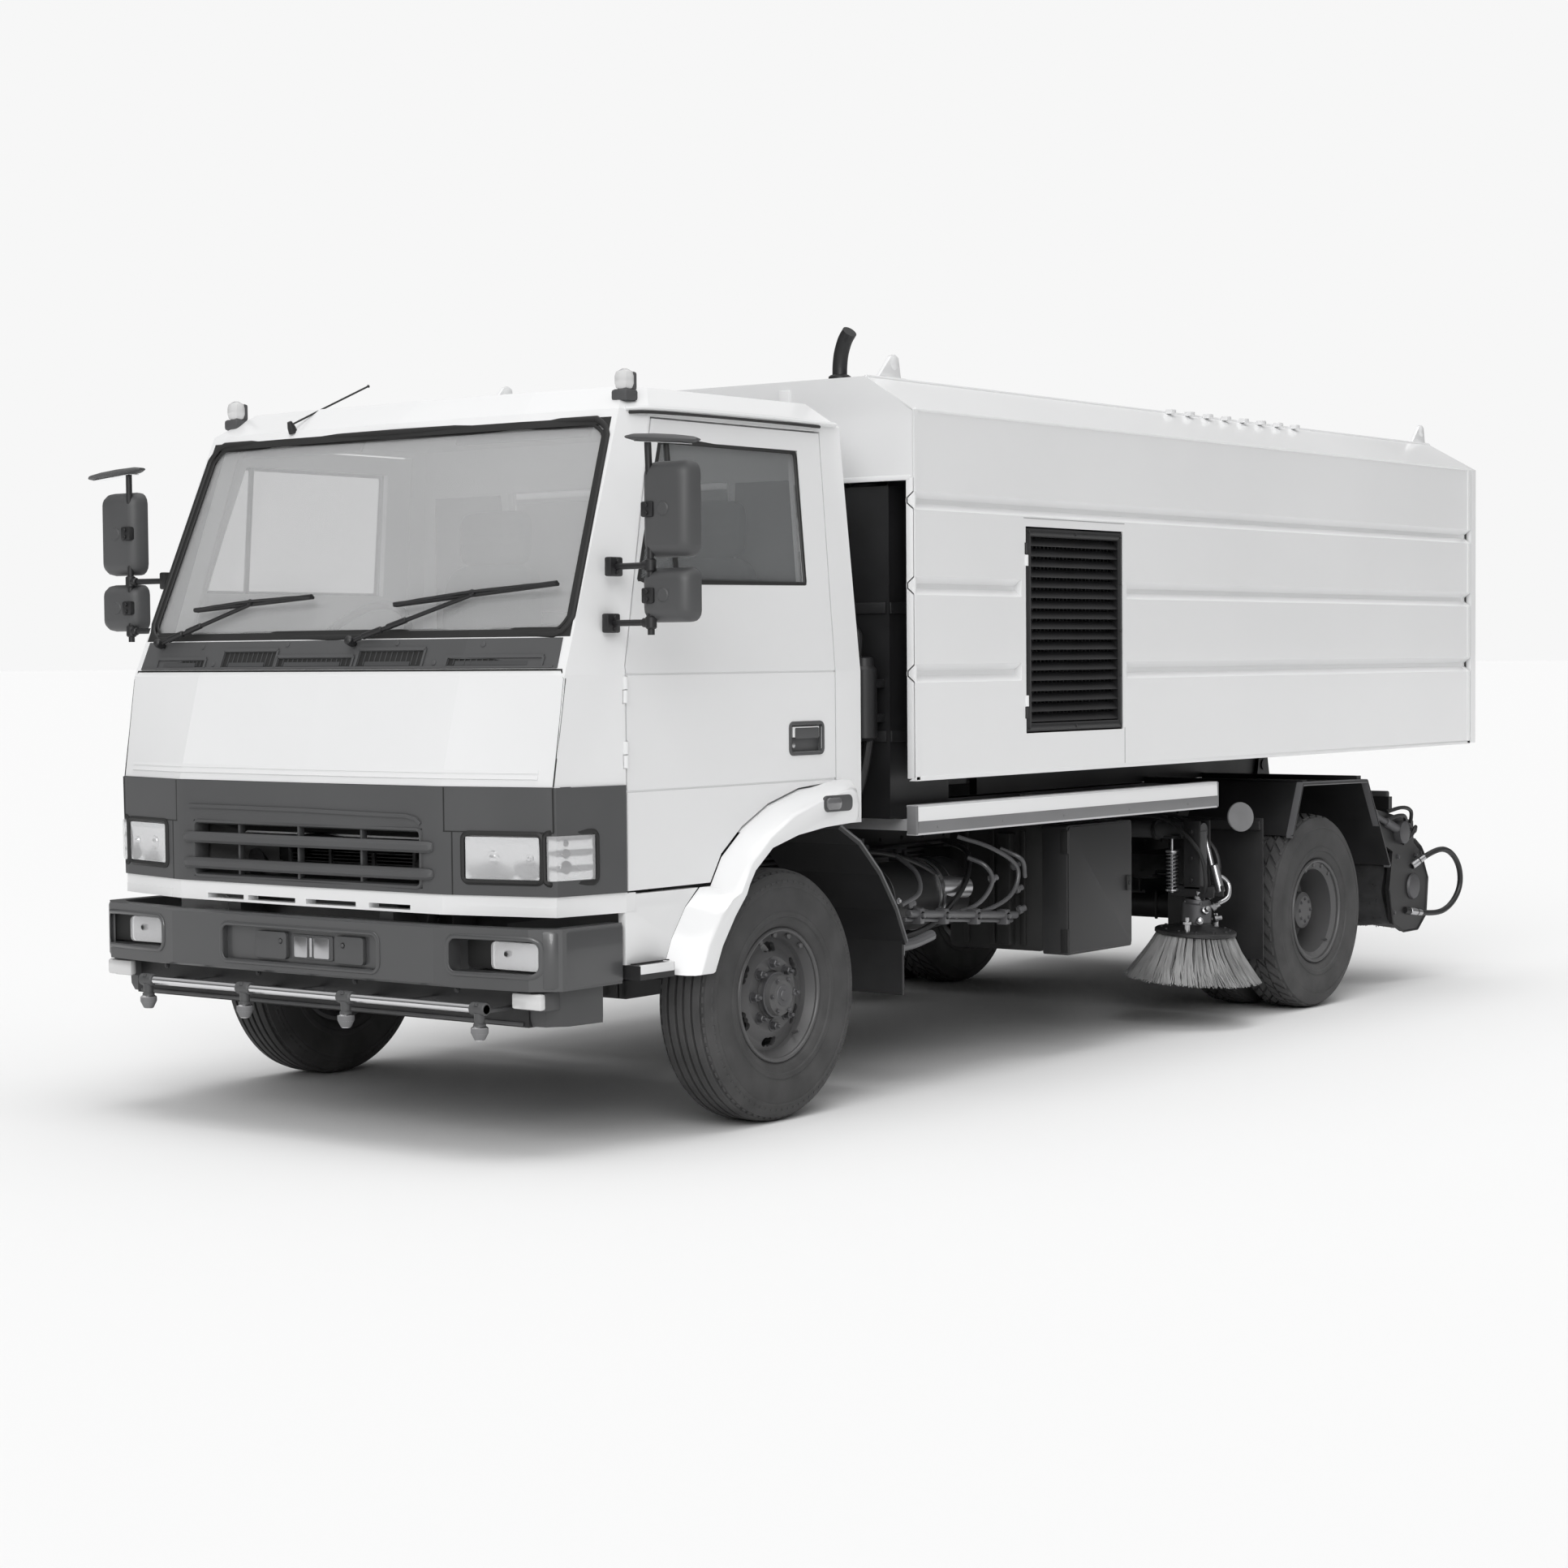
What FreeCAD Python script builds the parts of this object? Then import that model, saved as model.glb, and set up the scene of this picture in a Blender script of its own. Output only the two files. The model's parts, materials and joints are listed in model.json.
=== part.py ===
"""Truck-mounted street sweeper: forward-control cab, ladder chassis, tipping hopper,
two gutter brooms and a full-width rear roller broom.  Millimetres and degrees, +Z up,
the truck faces -Y, +X is its left side, origin on the ground under the middle of its length."""

import FreeCAD, Part
import math
import os
import Sketcher

DOC = FreeCAD.newDocument("StreetSweeper")
SHEET = DOC.addObject("Spreadsheet::Sheet", "dims")
Vec = FreeCAD.Vector

# alias, value, what it measures
SIZES = (
    ("wheelbase", 3800, "front axle to rear axle"),
    ("front_overhang", 1165, "front axle to the spray nozzles"),
    ("rear_overhang", 1600, "rear axle to the back of the tailgate"),
    ("axle_height", 418, "wheel centre above the ground"),
    ("tyre_radius", 418, "outside radius of every tyre"),
    ("tyre_width", 225, "section width of every tyre"),
    ("rim_radius", 222, "radius where tyre and rim meet"),
    ("front_tyre_face", 1132, "centre line to the outer face of a front tyre"),
    ("rear_tyre_face", 1157, "centre line to the outer face of the outer rear tyre"),
    ("twin_gap", 40, "gap between the twin tyres"),
    ("kingpin_inset", 89.5, "front wheel centre plane in to the kingpin"),
    ("rail_gauge", 380, "centre line to the outer face of a frame rail"),
    ("rail_bottom", 660, "underside of the frame rails"),
    ("rail_depth", 200, "height of the frame rails"),
    ("rail_flange", 70, "width of the rail flanges"),
    ("rail_wall", 8, "thickness of the rail section"),
    ("rail_nose", 930, "front axle forward to the front end of the rails"),
    ("rail_tail", 1080, "rear axle back to the rear end of the rails"),
    ("spring_width", 70, "width of the leaf springs"),
    ("spring_half_length", 640, "spring centre to spring eye"),
    ("cab_skirt", 740, "height of the lower edge of the cab front"),
    ("cab_nose", 1075, "front axle to the cab front at the grille"),
    ("cab_grille_top", 1138, "height of the top of the dark grille band"),
    ("belt_height", 1481, "height of the belt line"),
    ("belt_nose", 985, "front axle to the cab front at the belt line"),
    ("gutter_height", 2318, "height of the windscreen header"),
    ("gutter_nose", 625, "front axle to the cab front at the header"),
    ("roof_height", 2400, "height of the cab roof"),
    ("roof_nose", 500, "front axle to the front edge of the flat roof"),
    ("cab_half_width", 1043, "centre line to the door skin"),
    ("corner_half_width", 988, "centre line to the front corner of the cab"),
    ("header_half_width", 934, "centre line to the corner of the windscreen header"),
    ("cab_back", 560, "front axle to the back wall of the cab"),
    ("cab_wall", 45, "thickness of the cab walls"),
    ("floor_height", 1000, "height of the cab floor"),
    ("floor_thickness", 40, "thickness of the cab floor"),
    ("wheelhouse_radius", 545, "radius of the cut over the front wheels"),
    ("door_front", 690, "front axle forward to the door front edge"),
    ("door_back", 410, "front axle back to the door rear edge"),
    ("door_foot", 806, "height of the lower edge of the door"),
    ("door_gap", 6, "gap all round a door"),
    ("door_thickness", 45, "thickness of the doors"),
    ("door_sill", 1772, "height of the bottom of the door window"),
    ("glass_thickness", 6, "thickness of the window glass"),
    ("hopper_front", 728, "front axle to the front of the body"),
    ("hopper_half_width", 1157, "centre line to the body side"),
    ("hopper_bottom", 1100, "height of the lower edge of the body"),
    ("hopper_shoulder", 2383, "height of the shoulder of the body"),
    ("hopper_roof", 2510, "height of the body roof"),
    ("hopper_roof_half_width", 950, "centre line to the edge of the flat roof"),
    ("hopper_wall", 6, "thickness of the body sheet"),
    ("groove_depth", 30, "depth of the pressed grooves"),
    ("upper_groove", 2070, "height of the full-length groove"),
    ("middle_groove", 1775, "height of the middle groove"),
    ("lower_groove", 1470, "height of the low groove"),
    ("louvre_start", 1450, "front axle to the front of the louvre panel"),
    ("louvre_length", 680, "length of the louvre panel along the truck"),
    ("louvre_bottom", 1250, "height of the bottom of the louvre panel"),
    ("louvre_top", 1995, "height of the top of the louvre panel"),
    ("blade_count", 18, "number of louvre blades"),
    ("bulkhead_place", 2320, "front axle to the bulkhead of the load space"),
    ("hopper_floor", 1160, "height of the load space floor"),
    ("tip_reach", 950, "rear axle back to the tipping pivot"),
    ("tip_height", 1005, "height of the tipping pivot"),
    ("tip_pin_radius", 25, "radius of the tipping pins"),
    ("tailgate_depth", 60, "thickness of the tailgate"),
    ("side_rail_bottom", 907, "height of the underside of the side guard"),
    ("side_rail_depth", 105, "height of the side guard"),
    ("side_rail_end", 2884, "front axle to the rear end of the side guard"),
    ("box_start", 1820, "front axle to the front of the tool box"),
    ("box_length", 480, "length of the tool box"),
    ("box_bottom", 390, "height of the bottom of the tool box"),
    ("box_top", 885, "height of the top of the tool box"),
    ("box_inset", 57, "body side in to the outer face of the tool box"),
    ("broom_hub_height", 372, "height of the gutter broom plates"),
    ("bumper_half_width", 1040, "centre line to the end of the bumper"),
    ("bumper_bottom", 520, "height of the underside of the bumper"),
    ("bumper_top", 710, "height of the top of the bumper"),
    ("bumper_nose", 1105, "front axle to the front of the bumper"),
    ("spray_height", 467, "height of the spray bar"),
    ("gutter_broom_place", 3000, "front axle to the gutter broom centre"),
    ("gutter_broom_reach", 990, "centre line to the gutter broom centre"),
    ("gutter_broom_tilt", 4, "outward lean of the gutter brooms in degrees"),
    ("gutter_broom_radius", 290, "radius of the gutter broom at the ground end"),
    ("arm_pivot_reach", 470, "centre line to the pivot of a gutter broom arm"),
    ("arm_height", 800, "height of the gutter broom arms"),
    ("roller_radius", 205, "radius of the rear roller broom"),
    ("roller_height", 440, "height of the raised roller axis"),
    ("roller_place", 1180, "rear axle back to the roller axis"),
    ("roller_half_length", 985, "half the length of the roller bristles"),
    ("lift_place", 620, "rear axle back to the roller lift pivot"),
    ("lift_height", 800, "height of the roller lift pivot"),
)


class Size:
    """A length or an angle that keeps its number beside the sheet expression that gives it."""

    def __init__(self, value, text):
        self.value = float(value)
        self.text = text

    def __add__(self, other):
        other = as_size(other)
        return Size(self.value + other.value, "(%s + %s)" % (self.text, other.text))

    def __sub__(self, other):
        other = as_size(other)
        return Size(self.value - other.value, "(%s - %s)" % (self.text, other.text))

    def __mul__(self, other):
        other = as_size(other)
        return Size(self.value * other.value, "(%s * %s)" % (self.text, other.text))

    def __truediv__(self, other):
        other = as_size(other)
        return Size(self.value / other.value, "(%s / %s)" % (self.text, other.text))

    def __neg__(self):
        return Size(-self.value, "(0 - %s)" % self.text)

    def __radd__(self, other):
        return as_size(other) + self

    def __rsub__(self, other):
        return as_size(other) - self

    def __rmul__(self, other):
        return as_size(other) * self


def as_size(number):
    """A plain number as a Size; a Size stays itself."""
    if isinstance(number, Size):
        return number
    return Size(number, "(%.6f)" % number)


class Dimensions:
    """Every driving dimension under its own name."""

    def __init__(self, sheet, rows):
        for row, (alias, value, meaning) in enumerate(rows, start=1):
            sheet.set("A%d" % row, str(value))
            sheet.setAlias("A%d" % row, alias)
            sheet.set("B%d" % row, meaning)
            setattr(self, alias, Size(value, "dims." + alias))


dim = Dimensions(SHEET, SIZES)
DOC.recompute()
NODES = []

# ---------------------------------------------------------------- building helpers

SKETCH_PLANE = {"x": "YZ_Plane", "y": "XZ_Plane", "z": "XY_Plane"}


def bind(thing, **sizes):
    """Ties properties of an object to sheet expressions."""
    for name, length in sizes.items():
        thing.setExpression(name, as_size(length).text)


def place(thing, x=0, y=0, z=0):
    """Ties the position of an object to sheet expressions."""
    for axis, length in (("x", x), ("y", y), ("z", z)):
        length = as_size(length)
        thing.setExpression("Placement.Base." + axis, length.text)


def block(name, x_span, y_span, z_span):
    """Rectangular block between pairs of limits."""
    box = DOC.addObject("Part::Box", name)
    spans = [(as_size(low), as_size(high)) for low, high in (x_span, y_span, z_span)]
    bind(box, Length=spans[0][1] - spans[0][0], Width=spans[1][1] - spans[1][0],
         Height=spans[2][1] - spans[2][0])
    place(box, spans[0][0], spans[1][0], spans[2][0])
    return box


def rod(name, axis, centre, radius, span):
    """Round bar along one axis; centre gives the two other coordinates in x, y, z order."""
    bar = DOC.addObject("Part::Cylinder", name)
    low, high = as_size(span[0]), as_size(span[1])
    bind(bar, Radius=radius, Height=high - low)
    turn = {"x": (Vec(0, 1, 0), 90), "y": (Vec(1, 0, 0), -90), "z": (Vec(0, 0, 1), 0)}[axis]
    bar.Placement = FreeCAD.Placement(Vec(0, 0, 0), FreeCAD.Rotation(*turn))
    spot = list(centre)
    spot.insert("xyz".index(axis), low)
    place(bar, *spot)
    return bar


def strut(name, start, end, radius):
    """Round bar between two points given as (x, y, z)."""
    bar = DOC.addObject("Part::Cylinder", name)
    low = Vec(*[as_size(part).value for part in start])
    high = Vec(*[as_size(part).value for part in end])
    bind(bar, Radius=radius)
    bar.Height = (high - low).Length
    bar.Placement = FreeCAD.Placement(low, FreeCAD.Rotation(Vec(0, 0, 1), high - low))
    place(bar, *start)
    return bar


def draw(sketch, outline):
    """Closes a polygon in a sketch and pins each corner with expressions."""
    corners = [(as_size(u), as_size(v)) for u, v in outline]
    count = len(corners)
    for index in range(count):
        first, second = corners[index], corners[(index + 1) % count]
        sketch.addGeometry(Part.LineSegment(Vec(first[0].value, first[1].value, 0),
                                            Vec(second[0].value, second[1].value, 0)), False)
    for index in range(count):
        sketch.addConstraint(Sketcher.Constraint("Coincident", index, 2, (index + 1) % count, 1))
    for index, corner in enumerate(corners):
        for kind, length in (("DistanceX", corner[0]), ("DistanceY", corner[1])):
            number = sketch.addConstraint(
                Sketcher.Constraint(kind, -1, 1, index, 1, length.value))
            sketch.setExpression("Constraints[%d]" % number, length.text)


def draw_circles(sketch, circles):
    """Adds circles (u, v, radius) to a sketch."""
    for u, v, radius in circles:
        u, v, radius = as_size(u), as_size(v), as_size(radius)
        edge = sketch.addGeometry(Part.Circle(Vec(u.value, v.value, 0), Vec(0, 0, 1),
                                              radius.value), False)
        rows = (("DistanceX", (-1, 1, edge, 3), u), ("DistanceY", (-1, 1, edge, 3), v),
                ("Radius", (edge,), radius))
        for kind, where, length in rows:
            number = sketch.addConstraint(Sketcher.Constraint(kind, *where, length.value))
            sketch.setExpression("Constraints[%d]" % number, length.text)


def sketched_body(name, role, outline, circles=()):
    """Body with one sketch on one of its own origin planes."""
    body = DOC.addObject("PartDesign::Body", name)
    sketch = body.newObject("Sketcher::SketchObject", name + "_sketch")
    plane = [item for item in body.Origin.OriginFeatures if item.Role == role][0]
    sketch.AttachmentSupport = [(plane, "")]
    sketch.MapMode = "FlatFace"
    draw(sketch, outline)
    draw_circles(sketch, circles)
    return body, sketch


def plate(name, axis, outline, span, circles=()):
    """Outline across one axis, padded between two limits along it.
    The outline is in (y, z), (x, z) or (x, y) for axis x, y or z."""
    body, sketch = sketched_body(name, SKETCH_PLANE[axis], outline, circles)
    low, high = as_size(span[0]), as_size(span[1])
    pad = body.newObject("PartDesign::Pad", name + "_pad")
    pad.Profile = sketch
    bind(pad, Length=high - low)
    start = {"x": (low, 0, 0), "y": (0, high, 0), "z": (0, 0, low)}[axis]
    place(body, *start)
    return body


def turned(name, axis, centre, outline):
    """Outline of (distance along the axis, radius), revolved about the axis through centre."""
    if axis == "x":
        body, sketch = sketched_body(name, "XZ_Plane", outline)
        line = "H_Axis"
    else:
        flipped = [(radius, along) for along, radius in outline]
        body, sketch = sketched_body(name, {"z": "XZ_Plane", "y": "XY_Plane"}[axis], flipped)
        line = "V_Axis"
    turn = body.newObject("PartDesign::Revolution", name + "_turn")
    turn.Profile = sketch
    turn.ReferenceAxis = (sketch, [line])
    turn.Angle = 360
    place(body, *centre)
    return body


def cut(name, base, *tools):
    """Base with every tool cut away in turn."""
    for index, tool in enumerate(tools, start=1):
        result = DOC.addObject("Part::Cut", name if index == len(tools) else name + "_step")
        result.Base = base
        result.Tool = tool
        base = result
    return base


def fuse(name, *pieces):
    """One solid from overlapping or touching pieces."""
    result = DOC.addObject("Part::MultiFuse", name)
    result.Shapes = list(pieces)
    return result


def common(name, first, second):
    """What two pieces share."""
    result = DOC.addObject("Part::Common", name)
    result.Base = first
    result.Tool = second
    return result


def group(name, *pieces):
    """Separate solids that are kept in one node."""
    result = DOC.addObject("Part::Compound", name)
    result.Links = list(pieces)
    return result


def mirror(name, piece):
    """The same piece on the other side of the truck."""
    result = DOC.addObject("Part::Mirroring", name)
    result.Source = piece
    result.Normal = Vec(1, 0, 0)
    return result


def pair(name, piece):
    """Left and right pieces in one node."""
    return group(name, piece, mirror(name + "_right", piece))


def barrels(name, axis, centre, radius, spans):
    """Hinge barrels along one line, and slightly larger rounds that make room for them."""
    made = [rod(name, axis, centre, radius, span) for span in spans]
    room = [rod(name + "_room", axis, centre, radius + 2.5, (as_size(low) - 1.5, as_size(high) + 1.5))
            for low, high in spans]
    return made, room


def keep(name, piece):
    """Takes a finished piece into the model as a node of its own."""
    piece.Label = name
    NODES.append(piece)
    return piece


def keep_sides(name, piece):
    """Takes a left piece and its mirror image as two nodes."""
    keep(name + "_left", piece)
    keep(name + "_right", mirror(name + "_mirrored", piece))


# ---------------------------------------------------------------- stations along the truck

front_axle = dim.front_overhang - (dim.front_overhang + dim.wheelbase + dim.rear_overhang) / 2
rear_axle = front_axle + dim.wheelbase
rail_top = dim.rail_bottom + dim.rail_depth
rail_inner = dim.rail_gauge - dim.rail_wall
front_wheel_x = dim.front_tyre_face - dim.tyre_width / 2
kingpin_x = front_wheel_x - dim.kingpin_inset
yoke_face = front_wheel_x - 32.5


def front(distance):
    """Station measured back from the front axle."""
    return front_axle + distance


def rear(distance):
    """Station measured back from the rear axle."""
    return rear_axle + distance


# ---------------------------------------------------------------- frame

rail_outline = ((dim.rail_gauge, dim.rail_bottom), (dim.rail_gauge, rail_top),
                (dim.rail_gauge - dim.rail_flange, rail_top),
                (dim.rail_gauge - dim.rail_flange, rail_top - dim.rail_wall),
                (rail_inner, rail_top - dim.rail_wall),
                (rail_inner, dim.rail_bottom + dim.rail_wall),
                (dim.rail_gauge - dim.rail_flange, dim.rail_bottom + dim.rail_wall),
                (dim.rail_gauge - dim.rail_flange, dim.rail_bottom))
rail_ends = (front(-dim.rail_nose), rear(dim.rail_tail))
keep("frame_rails", pair("frame_rails", plate("frame_rail", "y", rail_outline, rail_ends)))

member_stations = (front(40 - dim.rail_nose), front(900), front(1550), front(2520), rear(860))
members = [block("crossmember", (-rail_inner, rail_inner), (station - 30, station + 30),
                 (dim.rail_bottom + 40, rail_top - 40)) for station in member_stations]


# ---------------------------------------------------------------- axles and springs

beam_outline = ((-800, 398), (-640, 398), (-480, 368), (480, 368), (640, 398), (800, 398),
                (800, 446), (620, 446), (470, 430), (-470, 430), (-620, 446), (-800, 446))
beam_outline = tuple((u, dim.axle_height + v - 418) for u, v in beam_outline)
axle_beam = plate("axle_beam", "y", beam_outline, (front(-42), front(42)))
boss_span = (dim.axle_height - 24, dim.axle_height + 32)
bosses = [rod("axle_boss", "z", (kingpin_x * side, front(0)), dim.kingpin_inset - 37.5, boss_span)
          for side in (-1, 1)]
boss_arms = [block("boss_arm", span, (front(-34), front(34)),
                   (dim.axle_height - 20, dim.axle_height + 28))
             for span in ((790, kingpin_x), (-kingpin_x, -790))]
front_beam = fuse("front_beam", axle_beam, *bosses, *boss_arms)

spring_inner = dim.rail_gauge + 5
spring_span = (spring_inner, spring_inner + dim.spring_width)


def leaf_spring(name, station, seat, eye):
    """Cambered leaf pack seated at one height with its eyes higher, stepped underneath."""
    reach = dim.spring_half_length
    outline = ((-reach, eye - 12), (reach * -0.75, seat + 42), (reach * -0.75, seat + 30),
               (reach * -0.45, seat + 14), (reach * -0.45, seat + 2), (-90, seat), (90, seat),
               (reach * 0.45, seat + 2), (reach * 0.45, seat + 14), (reach * 0.75, seat + 30),
               (reach * 0.75, seat + 42), (reach, eye - 12), (reach, eye + 4),
               (reach * 0.5, seat + 66), (90, seat + 55), (-90, seat + 55),
               (reach * -0.5, seat + 66), (-reach, eye + 4))
    outline = tuple((station + u, v) for u, v in outline)
    leaves = plate(name + "_leaves", "x", outline, spring_span)
    eyes = [rod(name + "_eye", "x", (station + end * reach, eye), 26, spring_span)
            for end in (-1, 1)]
    return fuse(name, leaves, *eyes)


front_seat = dim.axle_height + 12
front_eye = dim.axle_height + 135
rear_seat = dim.axle_height + 66
rear_eye = dim.axle_height + 175
springs = [leaf_spring("front_spring", front(0), front_seat, front_eye),
           leaf_spring("rear_spring", rear(0), rear_seat, rear_eye)]
keep("leaf_springs", group("leaf_springs", *springs, *[mirror("spring_right", spring)
                                                       for spring in springs]))

hanger_rows = ((front(0), front_eye), (rear(0), rear_eye))
hangers = []
for station, eye in hanger_rows:
    for end in (-1, 1):
        middle = station + end * dim.spring_half_length
        outline = ((middle - 45, rail_top - 30), (middle - 28, eye + 26), (middle + 28, eye + 26),
                   (middle + 45, rail_top - 30))
        hangers.append(plate("spring_hanger", "x", outline, (dim.rail_gauge, spring_span[1])))
cab_feet = [block("cab_foot", (dim.rail_gauge, dim.rail_gauge + 34), (front(spot), front(spot + 80)),
                  (rail_top - 60, dim.floor_height - dim.floor_thickness)) for spot in (-540, 440)]
hangers += cab_feet
lamp_bar = block("lamp_bar", (-960, 960), (rear(dim.rail_tail), rear(dim.rail_tail) + 36), (800, 860))
members.append(lamp_bar)
keep("frame_brackets", group("frame_brackets", *members, *hangers,
                             *[mirror("hanger_right", one) for one in hangers]))

axle_tube = rod("axle_tube", "x", (rear(0), dim.axle_height), 66, (-620, 620))
banjo = turned("banjo", "y", (0, rear(0), dim.axle_height),
               ((-150, 0), (-150, 80), (-90, 175), (70, 185), (150, 110), (170, 0)))
keep("axles", group("axles", front_beam, fuse("rear_casing", axle_tube, banjo)))


# ---------------------------------------------------------------- wheels and steering

def tyre(name, middle, station):
    """Tyre with flat tread, three grooves and rounded walls, open at the rim."""
    half = dim.tyre_width / 2
    bead = dim.rim_radius
    tread = dim.tyre_radius
    outline = ((half * -0.72, bead), (half * -0.95, bead + 50), (-half, bead + 100),
               (half * -0.93, tread - 45), (half * -0.78, tread - 8), (half * -0.42, tread),
               (half * -0.38, tread - 10), (half * -0.32, tread), (half * -0.03, tread),
               (0, tread - 10), (half * 0.03, tread), (half * 0.32, tread),
               (half * 0.38, tread - 10), (half * 0.42, tread), (half * 0.78, tread - 8),
               (half * 0.93, tread - 45), (half, bead + 100), (half * 0.95, bead + 50),
               (half * 0.72, bead))
    return turned(name, "x", (middle, station, dim.axle_height), outline)


def ring_of_holes(name, count, circle, radius, middle, station, span, shift=0):
    """Round cutters spaced evenly about a wheel centre, turned by a shift in degrees."""
    holes = []
    for index in range(count):
        angle = 2 * math.pi * (index + 0.5) / count + math.radians(shift)
        holes.append(rod(name, "x", (station + circle * math.cos(angle),
                                     dim.axle_height + circle * math.sin(angle)), radius,
                         (middle + span[0], middle + span[1])))
    return holes


half_tyre = dim.tyre_width / 2
outer_wheel_x = dim.rear_tyre_face - half_tyre
inner_wheel_x = outer_wheel_x - dim.tyre_width - dim.twin_gap

rim_well = dim.rim_radius - 34
front_rim_outline = ((-80, dim.rim_radius), (-80, rim_well + 20), (-60, rim_well),
                     (8, rim_well), (20, rim_well - 20), (30, 150), (44, 120), (44, 80), (56, 80),
                     (56, 126), (40, 160), (34, rim_well), (50, rim_well + 4), (80, rim_well + 20),
                     (80, dim.rim_radius))
front_rim = turned("front_rim", "x", (front_wheel_x, front(0), dim.axle_height), front_rim_outline)
front_slots = ring_of_holes("hand_hole", 6, 158, 17, front_wheel_x, front(0), (0, 90))
for shift in (-7.5, 7.5):
    front_slots += ring_of_holes("hand_hole_end", 6, 158, 16, front_wheel_x, front(0), (0, 90), shift)
front_hub = turned("front_hub", "x", (front_wheel_x, front(0), dim.axle_height),
                   ((-20, 38), (-20, 140), (20, 140), (20, 105), (46, 105), (46, 80), (96, 66),
                    (104, 50), (104, 0), (60, 0), (60, 38)))
keep_sides("front_wheel", fuse("front_wheel", cut("front_disc", front_rim, *front_slots), front_hub))
keep_sides("front_tyre", tyre("front_tyre", front_wheel_x, front(0)))

fork_outline = ((kingpin_x - 60, dim.axle_height - 78), (yoke_face + 3, dim.axle_height - 78),
                (yoke_face + 3, dim.axle_height + 86), (kingpin_x - 60, dim.axle_height + 86))
fork = plate("knuckle_fork", "y", fork_outline, (front(-50), front(50)))
fork_mouth = block("fork_mouth", (kingpin_x - 90, yoke_face),
                   (front(-90), front(90)), (boss_span[0] - 6, boss_span[1] + 6))
flange = rod("knuckle_flange", "x", (front(0), dim.axle_height), 75,
             (yoke_face, front_wheel_x - 24))
spindle = rod("spindle", "x", (front(0), dim.axle_height), 36,
              (yoke_face, front_wheel_x + 55))
steering_arm = block("steering_arm", (kingpin_x - 50, kingpin_x - 10),
                     (front(40), front(190)), (dim.axle_height - 76, dim.axle_height - 46))
knuckle = fuse("knuckle", cut("knuckle_body", fork, fork_mouth), flange, spindle, steering_arm)
keep_sides("knuckle", knuckle)

outer_rim = turned("outer_rim", "x", (outer_wheel_x, rear(0), dim.axle_height),
                   ((-85, dim.rim_radius), (-85, rim_well + 10), (-132, 150), (-132, 96),
                    (-120, 96), (-118, 140), (-64, rim_well - 10), (70, rim_well - 8),
                    (85, rim_well + 10), (85, dim.rim_radius)))
inner_rim = turned("inner_rim", "x", (inner_wheel_x, rear(0), dim.axle_height),
                   ((-85, dim.rim_radius), (-85, rim_well + 10), (-70, rim_well - 8),
                    (64, rim_well - 10), (118, 140), (120, 96), (132, 96), (132, 150),
                    (85, rim_well + 10), (85, dim.rim_radius)))
outer_holes = ring_of_holes("vent_hole", 6, 156, 15, outer_wheel_x, rear(0), (-160, 20))
hub_seat = outer_wheel_x - 132
rear_hub = turned("rear_hub", "x", (hub_seat, rear(0), dim.axle_height),
                  ((-290, 68), (-290, 170), (-215, 170), (-215, 100), (30, 100),
                   (40, 84), (160, 78), (170, 60), (170, 0), (60, 0), (60, 68)))
keep_sides("rear_wheels", fuse("rear_wheels", cut("outer_disc", outer_rim, *outer_holes), inner_rim,
                               rear_hub))
keep_sides("rear_tyres", group("rear_tyres", tyre("rear_tyre_outer", outer_wheel_x, rear(0)),
                               tyre("rear_tyre_inner", inner_wheel_x, rear(0))))


# ---------------------------------------------------------------- engine, driveline, tanks

engine_low = block("sump", (-240, 240), (front(-560), front(240)), (500, 640))
engine_high = block("engine_upper", (-300, 300), (front(-680), front(360)),
                    (640, dim.floor_height - dim.floor_thickness - 20))
radiator = fuse("radiator", block("radiator_core", (-300, 300), (front(-850), front(-790)),
                                  (590, 940)), block("radiator_foot", (-rail_inner, rail_inner),
                                                     (front(-840), front(-800)), (690, 730)))
engine_mount = block("engine_mount", (-rail_inner, rail_inner), (front(-320), front(-240)), (690, 740))
gearbox = plate("gearbox", "x", ((front(360), 540), (front(360), 840), (front(620), 760),
                                 (front(800), 740), (front(800), 560), (front(620), 540)),
                (-150, 150))
shaft = strut("propeller_shaft", (0, front(790), 650), (0, rear(-153.5), dim.axle_height + 20), 42)
keep("powertrain", group("powertrain", fuse("engine", engine_low, engine_high, engine_mount, gearbox,
                                            shaft), radiator))
fuel_tank_body = (plate("fuel_tank_body", "y", ((-960, 480), (-520, 480), (-480, 520), (-480, 800),
                                           (-520, 840), (-960, 840), (-1000, 800), (-1000, 520)),
                        (front(1300), front(2150))))
fuel_arms = [block("fuel_arm", (-490, -dim.rail_gauge), (front(spot), front(spot + 60)), (700, 770))
             for spot in (1420, 1980)]
air_tank = rod("air_tank_body", "y", (700, 640), 130, (front(960), front(1560)))
air_arms = [block("air_arm", (dim.rail_gauge, 620), (front(spot), front(spot + 50)), (670, 720))
            for spot in (1040, 1430)]
keep("tanks", group("tanks", fuse("fuel_tank", fuel_tank_body, *fuel_arms),
                    fuse("air_tank", air_tank, *air_arms)))
box_arms = [block("box_arm", (dim.rail_gauge, 570), (front(dim.box_start) + spot,
                                                     front(dim.box_start) + spot + 60), (700, 780))
            for spot in (60, 360)]
box_shell = block("tool_box_body", (560, dim.hopper_half_width - dim.box_inset),
                  (front(dim.box_start), front(dim.box_start) + dim.box_length),
                  (dim.box_bottom, dim.box_top))
keep("tool_box", fuse("tool_box", box_shell, *box_arms))


# ---------------------------------------------------------------- side guards and rear arches

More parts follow.
